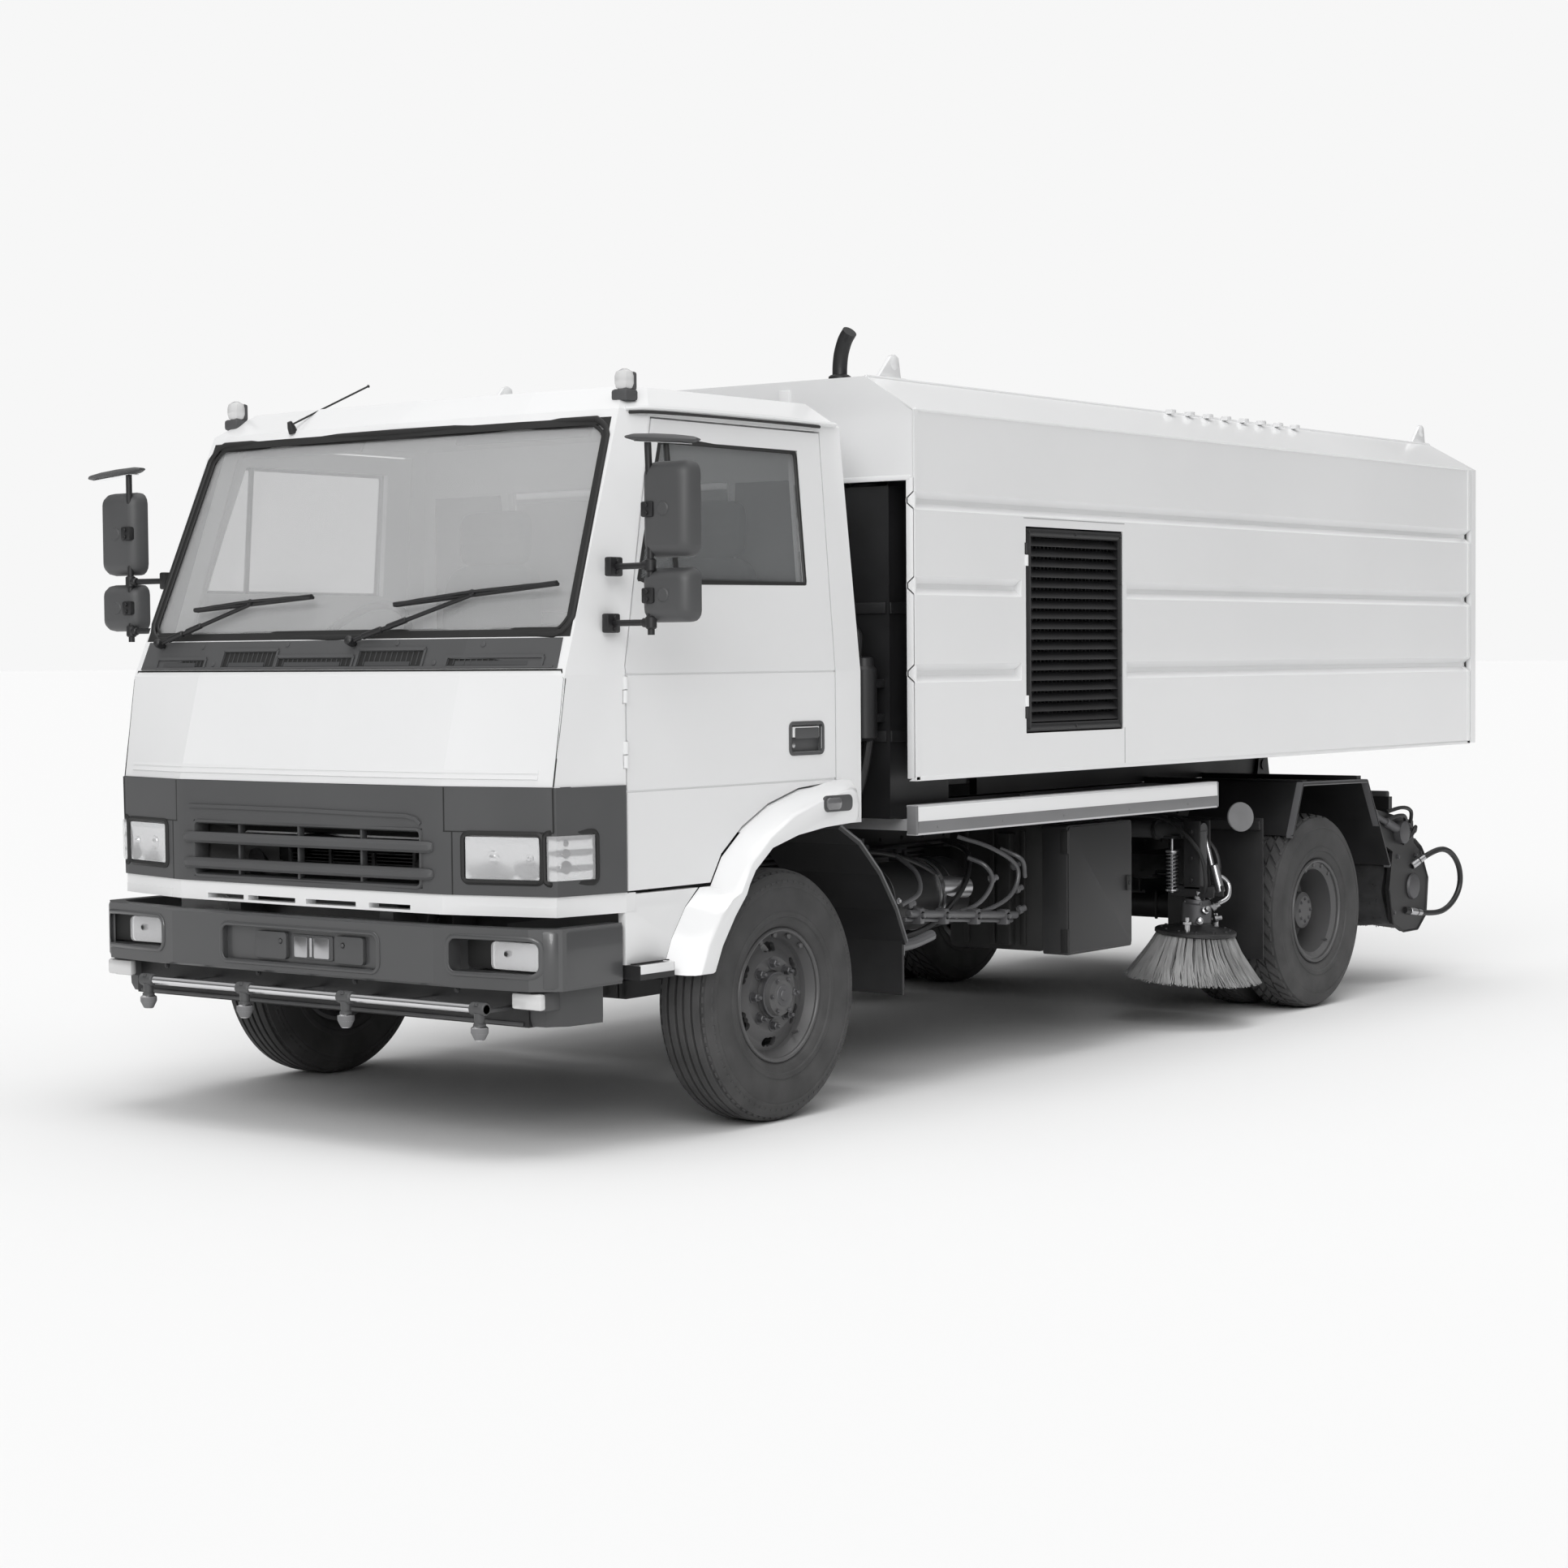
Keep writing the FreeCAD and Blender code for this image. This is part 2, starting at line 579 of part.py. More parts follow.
guard_top = dim.side_rail_bottom + dim.side_rail_depth
guard_outline = ((dim.hopper_half_width, dim.side_rail_bottom), (dim.hopper_half_width, guard_top),
                 (dim.hopper_half_width - 40, guard_top), (dim.hopper_half_width - 40, guard_top - 8),
                 (dim.hopper_half_width - 8, guard_top - 8),
                 (dim.hopper_half_width - 8, dim.side_rail_bottom + 8),
                 (dim.hopper_half_width - 40, dim.side_rail_bottom + 8),
                 (dim.hopper_half_width - 40, dim.side_rail_bottom))
guard = plate("side_guard", "y", guard_outline, (front(dim.hopper_front), front(dim.side_rail_end)))
guard_arms = [block("guard_arm", (dim.rail_gauge, dim.hopper_half_width - 8),
                    (front(place_y - 25), front(place_y + 25)),
                    (dim.side_rail_bottom + 8, rail_top + 96)) for place_y in (860, 1700, 2640)]
keep("side_guards", pair("side_guards", fuse("side_guard_left", guard, *guard_arms)))


def arch_sheet(name, outline, inner, outer, thickness):
    """Sheet of one thickness that follows an open line of (y, z) points."""
    inside = [(y, z - thickness) for y, z in outline]
    inside[0] = (outline[0][0] + thickness, outline[0][1])
    inside[-1] = (outline[-1][0] - thickness, outline[-1][1])
    return plate(name, "x", tuple(outline) + tuple(reversed(inside)), (inner, outer))


rear_arch_line = ((rear(-265), 756), (rear(-168), 976), (rear(446), 966), (rear(676), 574))
rear_arch = arch_sheet("rear_arch", rear_arch_line, inner_wheel_x - half_tyre - 27,
                       dim.rear_tyre_face + 6, 8)
arch_stays = [block("arch_stay", (dim.rail_gauge - 14, dim.rear_tyre_face - 16),
                    (rear(spot - 20), rear(spot + 20)), (960, 986)) for spot in (-120, 400)]
keep("rear_arches", pair("rear_arches", fuse("rear_arch_left", rear_arch, *arch_stays)))


# ---------------------------------------------------------------- body subframe, tipping pivots

subframe_span = (dim.rail_gauge - dim.rail_flange, dim.rail_gauge)
subframe_top = rail_top + 100
subframe_ends = (front(dim.hopper_front), rear(dim.tip_reach) + 60)
subframe_beam = block("subframe_beam", subframe_span, subframe_ends, (rail_top, subframe_top))
pivot_y = rear(dim.tip_reach)
pivot_cheek = ((pivot_y - 60, subframe_top), (pivot_y - 40, dim.tip_height + 45),
               (pivot_y + 40, dim.tip_height + 45), (pivot_y + 60, subframe_top))
cheeks = [plate("pivot_cheek", "x", pivot_cheek, span)
          for span in (subframe_span[:1] + (subframe_span[0] + 14,),
                       (subframe_span[1] - 14, subframe_span[1]))]
pivot_pin = rod("tip_pin", "x", (pivot_y, dim.tip_height), dim.tip_pin_radius,
                (subframe_span[0] - 6, subframe_span[1] + 6))
keep("subframe", pair("subframe", fuse("subframe_left", subframe_beam, *cheeks, pivot_pin)))

keep("water_tank", block("water_tank", (127 - dim.hopper_half_width, dim.hopper_half_width - 127),
                         (front(dim.hopper_front) + 25, front(dim.hopper_front) + 392),
                         (subframe_top, 2125)))
engine_case = block("aux_case", (-430, 430), (front(dim.louvre_start) - 30,
                                              front(dim.louvre_start) + 690),
                    (subframe_top + 60, dim.louvre_top - 145))
engine_feet = block("aux_feet", (-370, 370), (front(dim.louvre_start) + 30,
                                              front(dim.louvre_start) + 630),
                    (subframe_top, subframe_top + 60))
keep("aux_engine", fuse("aux_engine", engine_case, engine_feet))


# ---------------------------------------------------------------- wipers

WIPER_HEIGHT = 1592
# name, pivot x, pivot y, lean of the sweep plane across and up the screen,
# heel and tip of the blade as (x, z)
WIPERS = (
    ("wiper_right", -853, -919, -0.0588, 0.4117, (-715, 1706), (-127, 1742)),
    ("wiper_left", 116, -964, 0.0593, 0.4292, (256, 1709), (896, 1766)),
)


def spindle(name, row, radius, low, high):
    """Round bar square to the plane that a wiper sweeps, between two distances outwards from that plane."""
    pivot_x, pivot_y, lean_across, lean_up = row[1:5]
    outward = Vec(lean_across, -1, lean_up).normalize()
    ends = [(pivot_x + outward.x * level, front(pivot_y + outward.y * level),
             WIPER_HEIGHT + outward.z * level) for level in (low, high)]
    return strut(name, ends[0], ends[1], radius)


def wiper(row):
    """Spindle, hub, arm and blade, parked along the foot of the screen."""
    name, pivot_x, pivot_y, lean_across, lean_up, heel, tip = row

    def on_plane(x, z):
        return (x, front(pivot_y + lean_across * (x - pivot_x) + lean_up * (z - WIPER_HEIGHT)), z)

    grip = (heel[0] * 0.5 + tip[0] * 0.5, heel[1] * 0.5 + tip[1] * 0.5)
    arm = strut(name + "_arm", on_plane(pivot_x, WIPER_HEIGHT), on_plane(*grip), 7)
    blade = strut(name + "_blade", on_plane(*heel), on_plane(*tip), 8)
    return fuse(name, spindle(name + "_spindle", row, 7, -58, 0),
                spindle(name + "_hub", row, 15, -11, 12), arm, blade)


wiper_bores = [spindle("wiper_bore", row, 8, -64, -14) for row in WIPERS]
for row in WIPERS:
    keep(row[0], wiper(row))


# ---------------------------------------------------------------- cab form

def ring_sketch(name, points, height):
    """Closed horizontal outline of (x, y) points at one height."""
    sketch = DOC.addObject("Sketcher::SketchObject", name)
    draw(sketch, points)
    place(sketch, 0, 0, height)
    return sketch


def cab_sections(inset):
    """Half outlines of the cab from skirt to roof, moved inwards by one inset."""
    wide, corner, header = dim.cab_half_width, dim.corner_half_width, dim.header_half_width
    # height, nose at centre, quarter x and y, corner x and y, pillar x and y, back x and y
    rows = ((dim.cab_skirt, dim.cab_nose, 600, dim.cab_nose - 12, corner, dim.cab_nose - 112, wide,
             700, wide, dim.cab_back), (dim.cab_grille_top, dim.cab_nose, 600, dim.cab_nose - 12,
                                        corner, dim.cab_nose - 106, wide, 700, wide, dim.cab_back),
            (dim.belt_height, dim.belt_nose, 600, dim.belt_nose - 14, corner, dim.belt_nose - 68, wide,
             700, wide, dim.cab_back), (dim.gutter_height, dim.gutter_nose, 560, dim.gutter_nose - 10,
                                        header, dim.gutter_nose - 42, header + 36, 480, header + 46,
                                        dim.cab_back - 30), (dim.roof_height, dim.roof_nose, 500,
                                                             dim.roof_nose - 8, header - 92,
                                                             dim.roof_nose - 36, header - 62, 370,
                                                             header - 52, dim.cab_back - 90),)
    sections = []
    for height, nose, mid_x, mid_y, corner_x, corner_y, pillar_x, pillar_y, back_x, back_y in rows:
        half = ((0, front(0) - nose + inset), (as_size(mid_x), front(0) - mid_y + inset),
                (corner_x - inset, front(0) - corner_y + inset),
                (pillar_x - inset, front(0) - pillar_y + inset),
                (back_x - inset, front(0) + back_y - inset))
        other = tuple((-as_size(x), y) for x, y in reversed(half[1:]))
        sections.append((height, half + other))
    return sections


def cab_solid(name, inset, lowest=0, headroom=0):
    """Cab outline moved inwards; lowest leaves out sections below, headroom lowers the roof."""
    rings = []
    sections = cab_sections(inset)
    for level, (height, points) in enumerate(sections):
        if level < lowest:
            continue
        top = level == len(sections) - 1
        rings.append(ring_sketch("%s_ring_%d" % (name, level), points,
                                 height - headroom if top else height))
    loft = DOC.addObject("Part::Loft", name)
    loft.Sections = rings
    loft.Solid = True
    loft.Ruled = True
    return loft


cab_outside = cab_solid("cab_outside", 0)
cab_inside = cab_solid("cab_inside", dim.cab_wall, headroom=dim.cab_wall)
wide_x = (-1300, 1300)
cabin_space = common("cabin_space", cab_inside, block("above_floor", wide_x,
                                                      (front(-1400), front(900)),
                                                      (dim.floor_height, 2600)))
nose_space = common("nose_space", cab_inside, block("under_floor", wide_x, (front(-1400), front(-640)),
                                                   (600, dim.floor_height - dim.floor_thickness)))
under_space = block("wheel_space", wide_x, (front(-655), front(900)),
                    (600, dim.floor_height - dim.floor_thickness))
base_cut = block("nose_underside", (-930, 930), (front(-1020), front(-500)), (600, dim.cab_skirt + 20))
wheelhouse = rod("wheelhouse", "x", (front(0), dim.axle_height), dim.wheelhouse_radius, wide_x)

screen_outline = ((-972, 1600), (972, 1600), (914, 2292), (-914, 2292))
screen_hole = plate("screen_hole", "y", screen_outline, (front(-1200), front(-400)))
grille_hole = block("grille_hole", (-552, 552), (front(-1200), front(-940)), (812, 1012))
rear_hole = block("rear_window_hole", (-520, 520), (front(400), front(700)), (1700, 2150))

door_outline = ((front(-dim.door_front), dim.door_foot), (front(-280), dim.door_foot),
                (front(-222), 896), (front(-112), 979), (front(28), 1047), (front(199), 1092),
                (front(dim.door_back), 1107), (front(dim.door_back), 2290), (front(-470), 2290),
                (front(-dim.door_front), dim.belt_height + 20))


def grown(outline, margin, centre):
    """Outline moved outwards along each axis away from its centre."""
    moved = []
    for u, v in outline:
        u, v = as_size(u), as_size(v)
        away_u = margin if u.value > centre[0].value else -margin
        away_v = margin if v.value > centre[1].value else -margin
        moved.append((u + away_u, v + away_v))
    return tuple(moved)


door_middle = (front(-150), as_size(1400))
door_hole = plate("door_hole", "x", grown(door_outline, dim.door_gap, door_middle), (700, 1300))
door_hole_right = mirror("door_hole_right", door_hole)
nose_slots = [block("nose_slot", span, (front(-1200), front(-1020)),
                    (dim.cab_skirt + 8, dim.cab_skirt + 24))
              for span in ((-466, -290), (-268, -42), (8, 230), (288, 466))]
cowl_rows = ((-854, -587, 1533), (-494, -240, 1560), (-222, 120, 1538), (150, 426, 1559),
             (539, 893, 1533))
cowl_slots = [block("cowl_slot", (low, high), (front(-1190), front(-935)), (1512, top)) for low, high,
              top in cowl_rows]
cab_body = cut("cab_body", cab_outside, cabin_space, nose_space, under_space, wheelhouse, base_cut,
               screen_hole, grille_hole, rear_hole, door_hole, door_hole_right, *nose_slots,
               *cowl_slots, *wiper_bores)
roof_ribs = [block("roof_rib", (spot - 45, spot + 45), (front(-380), front(360)),
                   (dim.roof_height - 4, dim.roof_height + 12)) for spot in (-520, -175, 175, 520)]
hinge_line = (dim.cab_half_width, front(-dim.door_front) - dim.door_gap)
door_barrels, door_room = barrels("door_barrel", "z", hinge_line, 9, ((1190, 1230), (1392, 1432)))
cab_barrels, cab_room = barrels("cab_barrel", "z", hinge_line, 9, ((1233, 1273), (1435, 1475)))
cab_cut = cut("cab_cut", cab_body, *door_room, *[mirror("door_room_right", room) for room in door_room])
keep("cab_shell", fuse("cab_shell", cab_cut, *roof_ribs, *cab_barrels,
                       *[mirror("cab_barrel_right", one) for one in cab_barrels]))

glass_outer = cab_solid("glass_outer", 12, headroom=12)
glass_inner = cab_solid("glass_inner", as_size(12) + dim.glass_thickness, headroom=18)
seal_outline = ((-948, 1624), (948, 1624), (892, 2268), (-892, 2268))
screen_body = plate("screen_body", "y", seal_outline, (front(-1190), front(-410)))
seal_ring = cut("seal_ring", plate("seal_full", "y", screen_outline, (front(-1190), front(-410))),
                screen_body)
screen_pane = common("screen_pane", cut("glass_skin", glass_outer, glass_inner), screen_body)
keep("windscreen_seal",
     common("windscreen_seal", cut("seal_skin", cab_outside, cab_solid("seal_inner", 30, headroom=30)),
            seal_ring))
rear_pane = block("rear_pane", (-520, 520), (front(520), front(520) + dim.glass_thickness),
                  (1700, 2150))
keep("cab_glass", group("cab_glass", screen_pane, rear_pane))

window_outline = ((front(-600), dim.door_sill), (front(285), dim.door_sill), (front(285), 2225),
                  (front(-432), 2225))
window_hole = plate("window_hole", "x", window_outline, (700, 1300))
door_skin = cut("door_skin", cab_outside, cab_solid("door_inner", dim.door_thickness, headroom=50))
door_blank = common("door_blank", door_skin, plate("door_prism", "x", door_outline, (720, 1290)))
skin_x = dim.cab_half_width
creases = [block("door_crease", (skin_x - 4, skin_x + 60), (front(-800), front(500)),
                 (level, level + 7)) for level in (1112, 1478)]
handle_cup = block("handle_cup", (skin_x - 16, skin_x + 60), (front(160), front(332)), (1213, 1303))
handle_flap = block("handle_flap", (skin_x - 18, skin_x - 2), (front(172), front(320)), (1262, 1297))
keep_sides("door", fuse("door", cut("door_cut", door_blank, window_hole, *creases, handle_cup,
                                    *cab_room), handle_flap, *door_barrels))
keep_sides("door_glass",
           common("door_glass", cut("glass_shell", cab_solid("pane_outer", 18, headroom=18),
                                    cab_solid("pane_inner", as_size(18) + dim.glass_thickness,
                                              headroom=24)), plate("window_prism", "x", window_outline,
                                                                   (710, 1280))))


# ---------------------------------------------------------------- cab front

grille_y = front(10 - dim.cab_nose)
bar_levels = (828, 872, 916, 960)
bars = []
for level in bar_levels:
    bar_outline = ((grille_y + 4, level), (grille_y + 38, level + 12), (grille_y + 38, level + 22),
                   (grille_y + 4, level + 16))
    bars.append(plate("grille_bar", "x", bar_outline, (-552, 552)))
posts = [block("grille_post", (spot - 7, spot + 7), (grille_y + 14, grille_y + 36), (812, 1012))
         for spot in (-276, 0, 276)]
lamp_outline = ((680, 848), (905, 848), (905, 990), (680, 990))
lamp_prism = plate("lamp_prism", "y", lamp_outline, (front(-1190), front(-900)))
signal_outline = ((918, 848), (1100, 848), (1100, 990), (918, 990))
signal_prism = plate("signal_prism", "y", signal_outline, (front(-1190), front(-840)))
band_outline = ((-1100, dim.cab_skirt + 62), (1100, dim.cab_skirt + 62), (1100, dim.cab_grille_top),
                (-1100, dim.cab_grille_top))
band_skin = cut("band_skin", cab_solid("band_form", -6), cab_outside)
band_blank = common("band_blank", band_skin, plate("band_prism", "y", band_outline,
                                                   (front(-1190), front(-708))))
band = cut("grille_band", band_blank, grille_hole, lamp_prism, signal_prism,
           mirror("lamp_prism_right", lamp_prism), mirror("signal_prism_right", signal_prism))
keep("grille", group("grille", band, fuse("grille_bars", *bars, *posts)))

cowl_outline = ((-955, 1503), (955, 1503), (948, 1597), (-948, 1597))
cowl_skin = cut("cowl_skin", cab_solid("cowl_outer", -4), cab_outside)
cowl_blank = common("cowl_blank", cowl_skin, plate("cowl_prism", "y", cowl_outline,
                                                   (front(-1190), front(-800))))
keep("cowl_panel", cut("cowl_panel", cowl_blank, *cowl_slots, *wiper_bores))

lamp_skin = cut("lamp_skin", cab_solid("lamp_outer", -10), cab_outside)
headlamp = common("headlamp", lamp_skin, lamp_prism)
turn_signal = common("turn_signal", lamp_skin, signal_prism)

bumper_line = ((-dim.bumper_half_width, front(-720)), (-dim.bumper_half_width, front(-1000)),
               (-960, front(-1065)), (-600, front(-dim.bumper_nose)), (600, front(-dim.bumper_nose)),
               (960, front(-1065)), (dim.bumper_half_width, front(-1000)),
               (dim.bumper_half_width, front(-720)), (dim.bumper_half_width - 50, front(-720)),
               (dim.bumper_half_width - 50, front(-975)), (930, front(-1010)),
               (600, front(50 - dim.bumper_nose)), (-600, front(50 - dim.bumper_nose)),
               (-930, front(-1010)), (50 - dim.bumper_half_width, front(-975)),
               (50 - dim.bumper_half_width, front(-720)))
bumper_beam = plate("bumper_beam", "z", bumper_line, (dim.bumper_bottom, dim.bumper_top))
fog_holes = [block("fog_hole", span, (front(-1200), front(-900)), (572, 672))
             for span in ((660, 985), (-985, -660))]
plate_recess = block("plate_recess", (-352, 352), (front(-1200), front(20 - dim.bumper_nose)),
                     (556, 664))
bumper_edges = [plate("bumper_edge", "x", ((front(-1130), level), (front(-1130), level + way * 40),
                                           (front(-1075), level + way * 40)), (-1200, 1200)) for level,
                way in ((dim.bumper_top - 26, 1), (dim.bumper_bottom + 26, -1))]
keep("bumper", cut("bumper", bumper_beam, *fog_holes, plate_recess, *bumper_edges))
fog_lamp = block("fog_lamp", (700, 930), (front(-1046), front(-1012)), (572, 672))
keep("lamps", group("lamps", headlamp, fog_lamp, mirror("headlamp_right", headlamp),
                    mirror("fog_lamp_right", fog_lamp)))
bumper_iron = block("bumper_iron", (dim.rail_gauge - 60, dim.rail_gauge),
                    (front(50 - dim.bumper_nose), front(-dim.rail_nose)),
                    (dim.bumper_bottom, dim.cab_skirt - 4))
apron = (plate("apron", "z", ((-900, front(-1000)), (900, front(-1000)), (900, front(-960)),
                              (-900, front(-960))), (400, dim.bumper_bottom)))
spray_tube = rod("spray_tube", "x", (front(-1135), dim.spray_height), 14, (-700, 850))
nozzles = [turned("nozzle", "z", (spot, front(-1135), 370), ((0, 0), (0, 14), (22, 26), (40, 26),
                                                             (50, 12), (90, 12), (90, 0)))
           for spot in (-690, -220, 245, 820)]
stays = [block("spray_stay", (spot - 12, spot + 12), (front(-1130), front(-1000)),
               (dim.spray_height - 8, dim.spray_height + 8)) for spot in (-500, 0, 500)]
keep("spray_bar", fuse("spray_bar", spray_tube, *nozzles, *stays))

step_outline = ((720, front(-705)), (1100, front(-705)), (1100, front(-536)), (1041, front(-536)),
                (1041, front(-480)), (720, front(-490)))
cab_step = plate("cab_step", "z", step_outline, (530, 575))
keep("bumper_mounts", group("bumper_mounts", apron, bumper_iron, cab_step,
                            mirror("bumper_iron_right", bumper_iron),
                            mirror("cab_step_right", cab_step)))
skirt_outline = ((front(-705), 575), (front(-705), dim.cab_skirt), (front(-655), dim.cab_skirt),
                 (front(-655), dim.door_foot - 12), (front(-342), dim.door_foot - 12),
                 (front(-410), 739), (front(-480), 644), (front(-510), 575))
skirt_panel = plate("step_surround", "x", skirt_outline, (dim.cab_half_width - 30, dim.cab_half_width))

# outer and lip edge of the flare as (y, z), where it meets the cab side and at its outer face
flare_root = (((-530, 530), (-480, 640), (-410, 735), (-335, 794), (-280, 794), (-222, 884),
               (-112, 967), (28, 1035), (199, 1080), (359, 1095), (545, 1095)),
              ((545, 985), (357, 982), (207, 978), (50, 960), (-101, 922), (-205, 862), (-245, 806),
               (-275, 778), (-325, 740), (-398, 650), (-446, 530)))
flare_face = (((-468, 530), (-425, 620), (-365, 710), (-310, 756), (-262, 775), (-206, 862),
               (-104, 942), (30, 1010), (200, 1054), (359, 1068), (545, 1070)),
              ((545, 980), (357, 978), (207, 973), (50, 955), (-100, 915), (-192, 842), (-222, 800),
               (-240, 765), (-300, 700), (-366, 610), (-405, 530)))


def side_ring(name, edges, reach):
    """Closed upright outline of (y, z) points at one distance from the centre line."""
    sketch = DOC.addObject("Sketcher::SketchObject", name)
    sketch.Placement = FreeCAD.Placement(Vec(0, 0, 0), FreeCAD.Rotation(Vec(1, 1, 1), 120))
    draw(sketch, tuple((front(y), z) for y, z in edges[0] + edges[1]))
    place(sketch, reach, 0, 0)
    return sketch


flare = DOC.addObject("Part::Loft", "arch_flare")
flare.Sections = [side_ring("flare_root", flare_root, dim.cab_half_width),
                  side_ring("flare_face", flare_face, 1155)]
flare.Solid = True
flare.Ruled = True
keep("side_panels", group("side_panels", flare, skirt_panel, mirror("flare_right", flare),
                          mirror("skirt_right", skirt_panel)))
guard_line = ((front(330), dim.axle_height + dim.wheelhouse_radius - 3), (front(445), 900),
              (front(564), 790), (front(660), 660), (front(723), 536))
guard_inside = tuple((y - 12, z - 10) for y, z in reversed(guard_line))
mudguard = plate("front_mudguard", "x", guard_line + guard_inside, (700, 1120))
mud_flap = block("mud_flap", (760, 1110), (front(705), front(717)), (350, 560))
guard_stay = block("guard_stay", (spring_span[1], 705), (front(608), front(640)), (698, 722))
keep("front_mudguards", pair("front_mudguards", fuse("front_mudguard_left", mudguard, mud_flap,
                                                     guard_stay)))


# ---------------------------------------------------------------- cab fittings

mirror_post = rod("mirror_post", "z", (1195, front(-750)), 11, (1600, 2215))
mirror_upper = strut("mirror_upper", (950, front(-725), 1815), (1195, front(-750), 1815), 10)
mirror_lower = strut("mirror_lower", (950, front(-740), 1640), (1195, front(-750), 1640), 10)


def rounded_plate(name, axis, x_span, z_span, corner, span):
    """Plate with its four corners taken off."""
    (x0, x1), (z0, z1) = x_span, z_span
    outline = ((x0 + corner, z0), (x1 - corner, z0), (x1, z0 + corner), (x1, z1 - corner),
               (x1 - corner, z1), (x0 + corner, z1), (x0, z1 - corner), (x0, z0 + corner))
    return plate(name, axis, outline, span)


# inner and outer x, lower and upper z, corner, front and back y of each mirror head
head_rows = (("main_mirror", (1160, 1352), (1838, 2132), 34, (-748, -694)),
             ("wide_mirror", (1156, 1352), (1640, 1806), 30, (-748, -694)))
heads = []
for name, x_span, z_span, corner, (nose, tail) in head_rows:
    heads.append(rounded_plate(name, "y", x_span, z_span, corner, (front(nose), front(tail))))
    shrunk = [(low + 16, high - 16) for low, high in (x_span, z_span)]
    heads.append(rounded_plate(name + "_back", "y", shrunk[0], shrunk[1], corner - 6,
                               (front(nose - 16), front(nose))))
look_down = plate("look_down", "y", ((1110, 2196), (1380, 2170), (1396, 2182), (1392, 2200),
                                     (1180, 2226), (1112, 2222)), (front(-800), front(-716)))
mirror_whole = fuse("mirror_whole", mirror_post, mirror_upper, mirror_lower, look_down, *heads)
keep("mirrors", pair("mirrors", cut("mirror_left", mirror_whole, cab_outside)))

seat_base = block("seat_base", (250, 750), (front(-120), front(330)),
                  (dim.floor_height + 200, dim.floor_height + 420))
seat_back = plate("seat_back", "x", ((front(300), 1400), (front(400), 1400), (front(462), 2080),
                                     (front(385), 2080)), (260, 740))
seat_leg = block("seat_leg", (320, 680), (front(-60), front(270)),
                 (dim.floor_height, dim.floor_height + 200))
keep("seats", pair("seats", fuse("seat", seat_base, seat_back, seat_leg)))
dash_outline = ((front(-850), 1180), (front(-560), 1180), (front(-560), 1400), (front(-640), 1500),
                (front(-830), 1515))
dash = plate("dash_moulding", "x", dash_outline, (-915, 915))
console = block("console", (-130, 130), (front(-800), front(-640)), (dim.floor_height, 1190))
wheel_rim = DOC.addObject("Part::Torus", "steering_rim")
bind(wheel_rim, Radius1=215, Radius2=15)
wheel_spin = FreeCAD.Rotation(Vec(1, 0, 0), 50)
wheel_rim.Placement = FreeCAD.Placement(Vec(0, 0, 0), wheel_spin)
place(wheel_rim, -500, front(-330), 1560)
column = strut("steering_column", (-500, front(-600), 1320), (-500, front(-330), 1555), 22)
spoke = block("steering_spoke", (-705, -295), (front(-345), front(-315)), (1545, 1575))
keep("dashboard", fuse("dashboard", dash, console, wheel_rim, column, spoke))
marker_foot = cut("marker_foot",
                  block("marker_block", (dim.header_half_width - 64, dim.header_half_width - 10),
                        (front(-35) - dim.roof_nose, front(15) - dim.roof_nose),
                        (dim.roof_height - 70, dim.roof_height + 40)), cab_outside)
tail_lamp = block("tail_lamp", (610, 930), (rear(dim.rail_tail) + 36, rear(dim.rail_tail) + 76),
                  (786, 880))
keep("marker_lamps", group("marker_lamps", marker_foot, turn_signal, tail_lamp,
                           mirror("marker_right", marker_foot),
                           mirror("turn_signal_right", turn_signal),
                           mirror("tail_lamp_right", tail_lamp)))


# ---------------------------------------------------------------- hopper

roof_edge = dim.hopper_roof_half_width
groove_heights = (dim.upper_groove, dim.middle_groove, dim.lower_groove)


def body_outline(inset):
    """Cross-section of the body with its pressed grooves, moved inwards by one inset."""
    side = dim.hopper_half_width - inset
    half = [(side, dim.hopper_bottom), ]
    for level in reversed(groove_heights):
        half += [(side, level - 32), (side - dim.groove_depth, level - 8),
                 (side - dim.groove_depth, level + 8), (side, level + 32)]
    half += [(side, dim.hopper_shoulder - inset * 0.3),
             (roof_edge - inset * 0.3, dim.hopper_roof - inset)]
    left = [(-as_size(x), z) for x, z in reversed(half)]
    return tuple(half + left)


body_ends = (front(dim.hopper_front), rear(dim.rear_overhang) - dim.tailgate_depth)
body_outside = plate("body_outside", "y", body_outline(as_size(0)), body_ends)
body_inside = plate("body_inside", "y", body_outline(dim.hopper_wall),
                    (body_ends[0] - 10, body_ends[1] + 10))
body_tube = cut("body_tube", body_outside, body_inside)
sheet_edge = dim.hopper_half_width - 7
front_sheet = plate("front_sheet", "y", ((-roof_edge, dim.hopper_roof - 3),
                                         (-sheet_edge, dim.hopper_shoulder - 3), (-sheet_edge, 2150),
                                         (sheet_edge, 2150), (sheet_edge, dim.hopper_shoulder - 3),
                                         (roof_edge, dim.hopper_roof - 3)),
                    (body_ends[0], body_ends[0] + dim.hopper_wall))
louvre_ends = (front(dim.louvre_start), front(dim.louvre_start) + dim.louvre_length)
louvre_hole = block("louvre_hole", (900, 1300), (louvre_ends[0] - 6, louvre_ends[1] + 6),
                    (dim.louvre_bottom - 6, dim.louvre_top + 6))
groove_fills = []
for level in groove_heights[1:]:
    for low, high in ((louvre_ends[0] - 36, louvre_ends[0]), (louvre_ends[1], louvre_ends[1] + 36)):
        fill = ((dim.hopper_half_width, level - 32), (dim.hopper_half_width, level + 32),
                (dim.hopper_half_width - dim.groove_depth - 2, level + 10),
                (dim.hopper_half_width - dim.groove_depth - 2, level - 10))
        groove_fills.append(plate("groove_end", "y", fill, (low, high)))
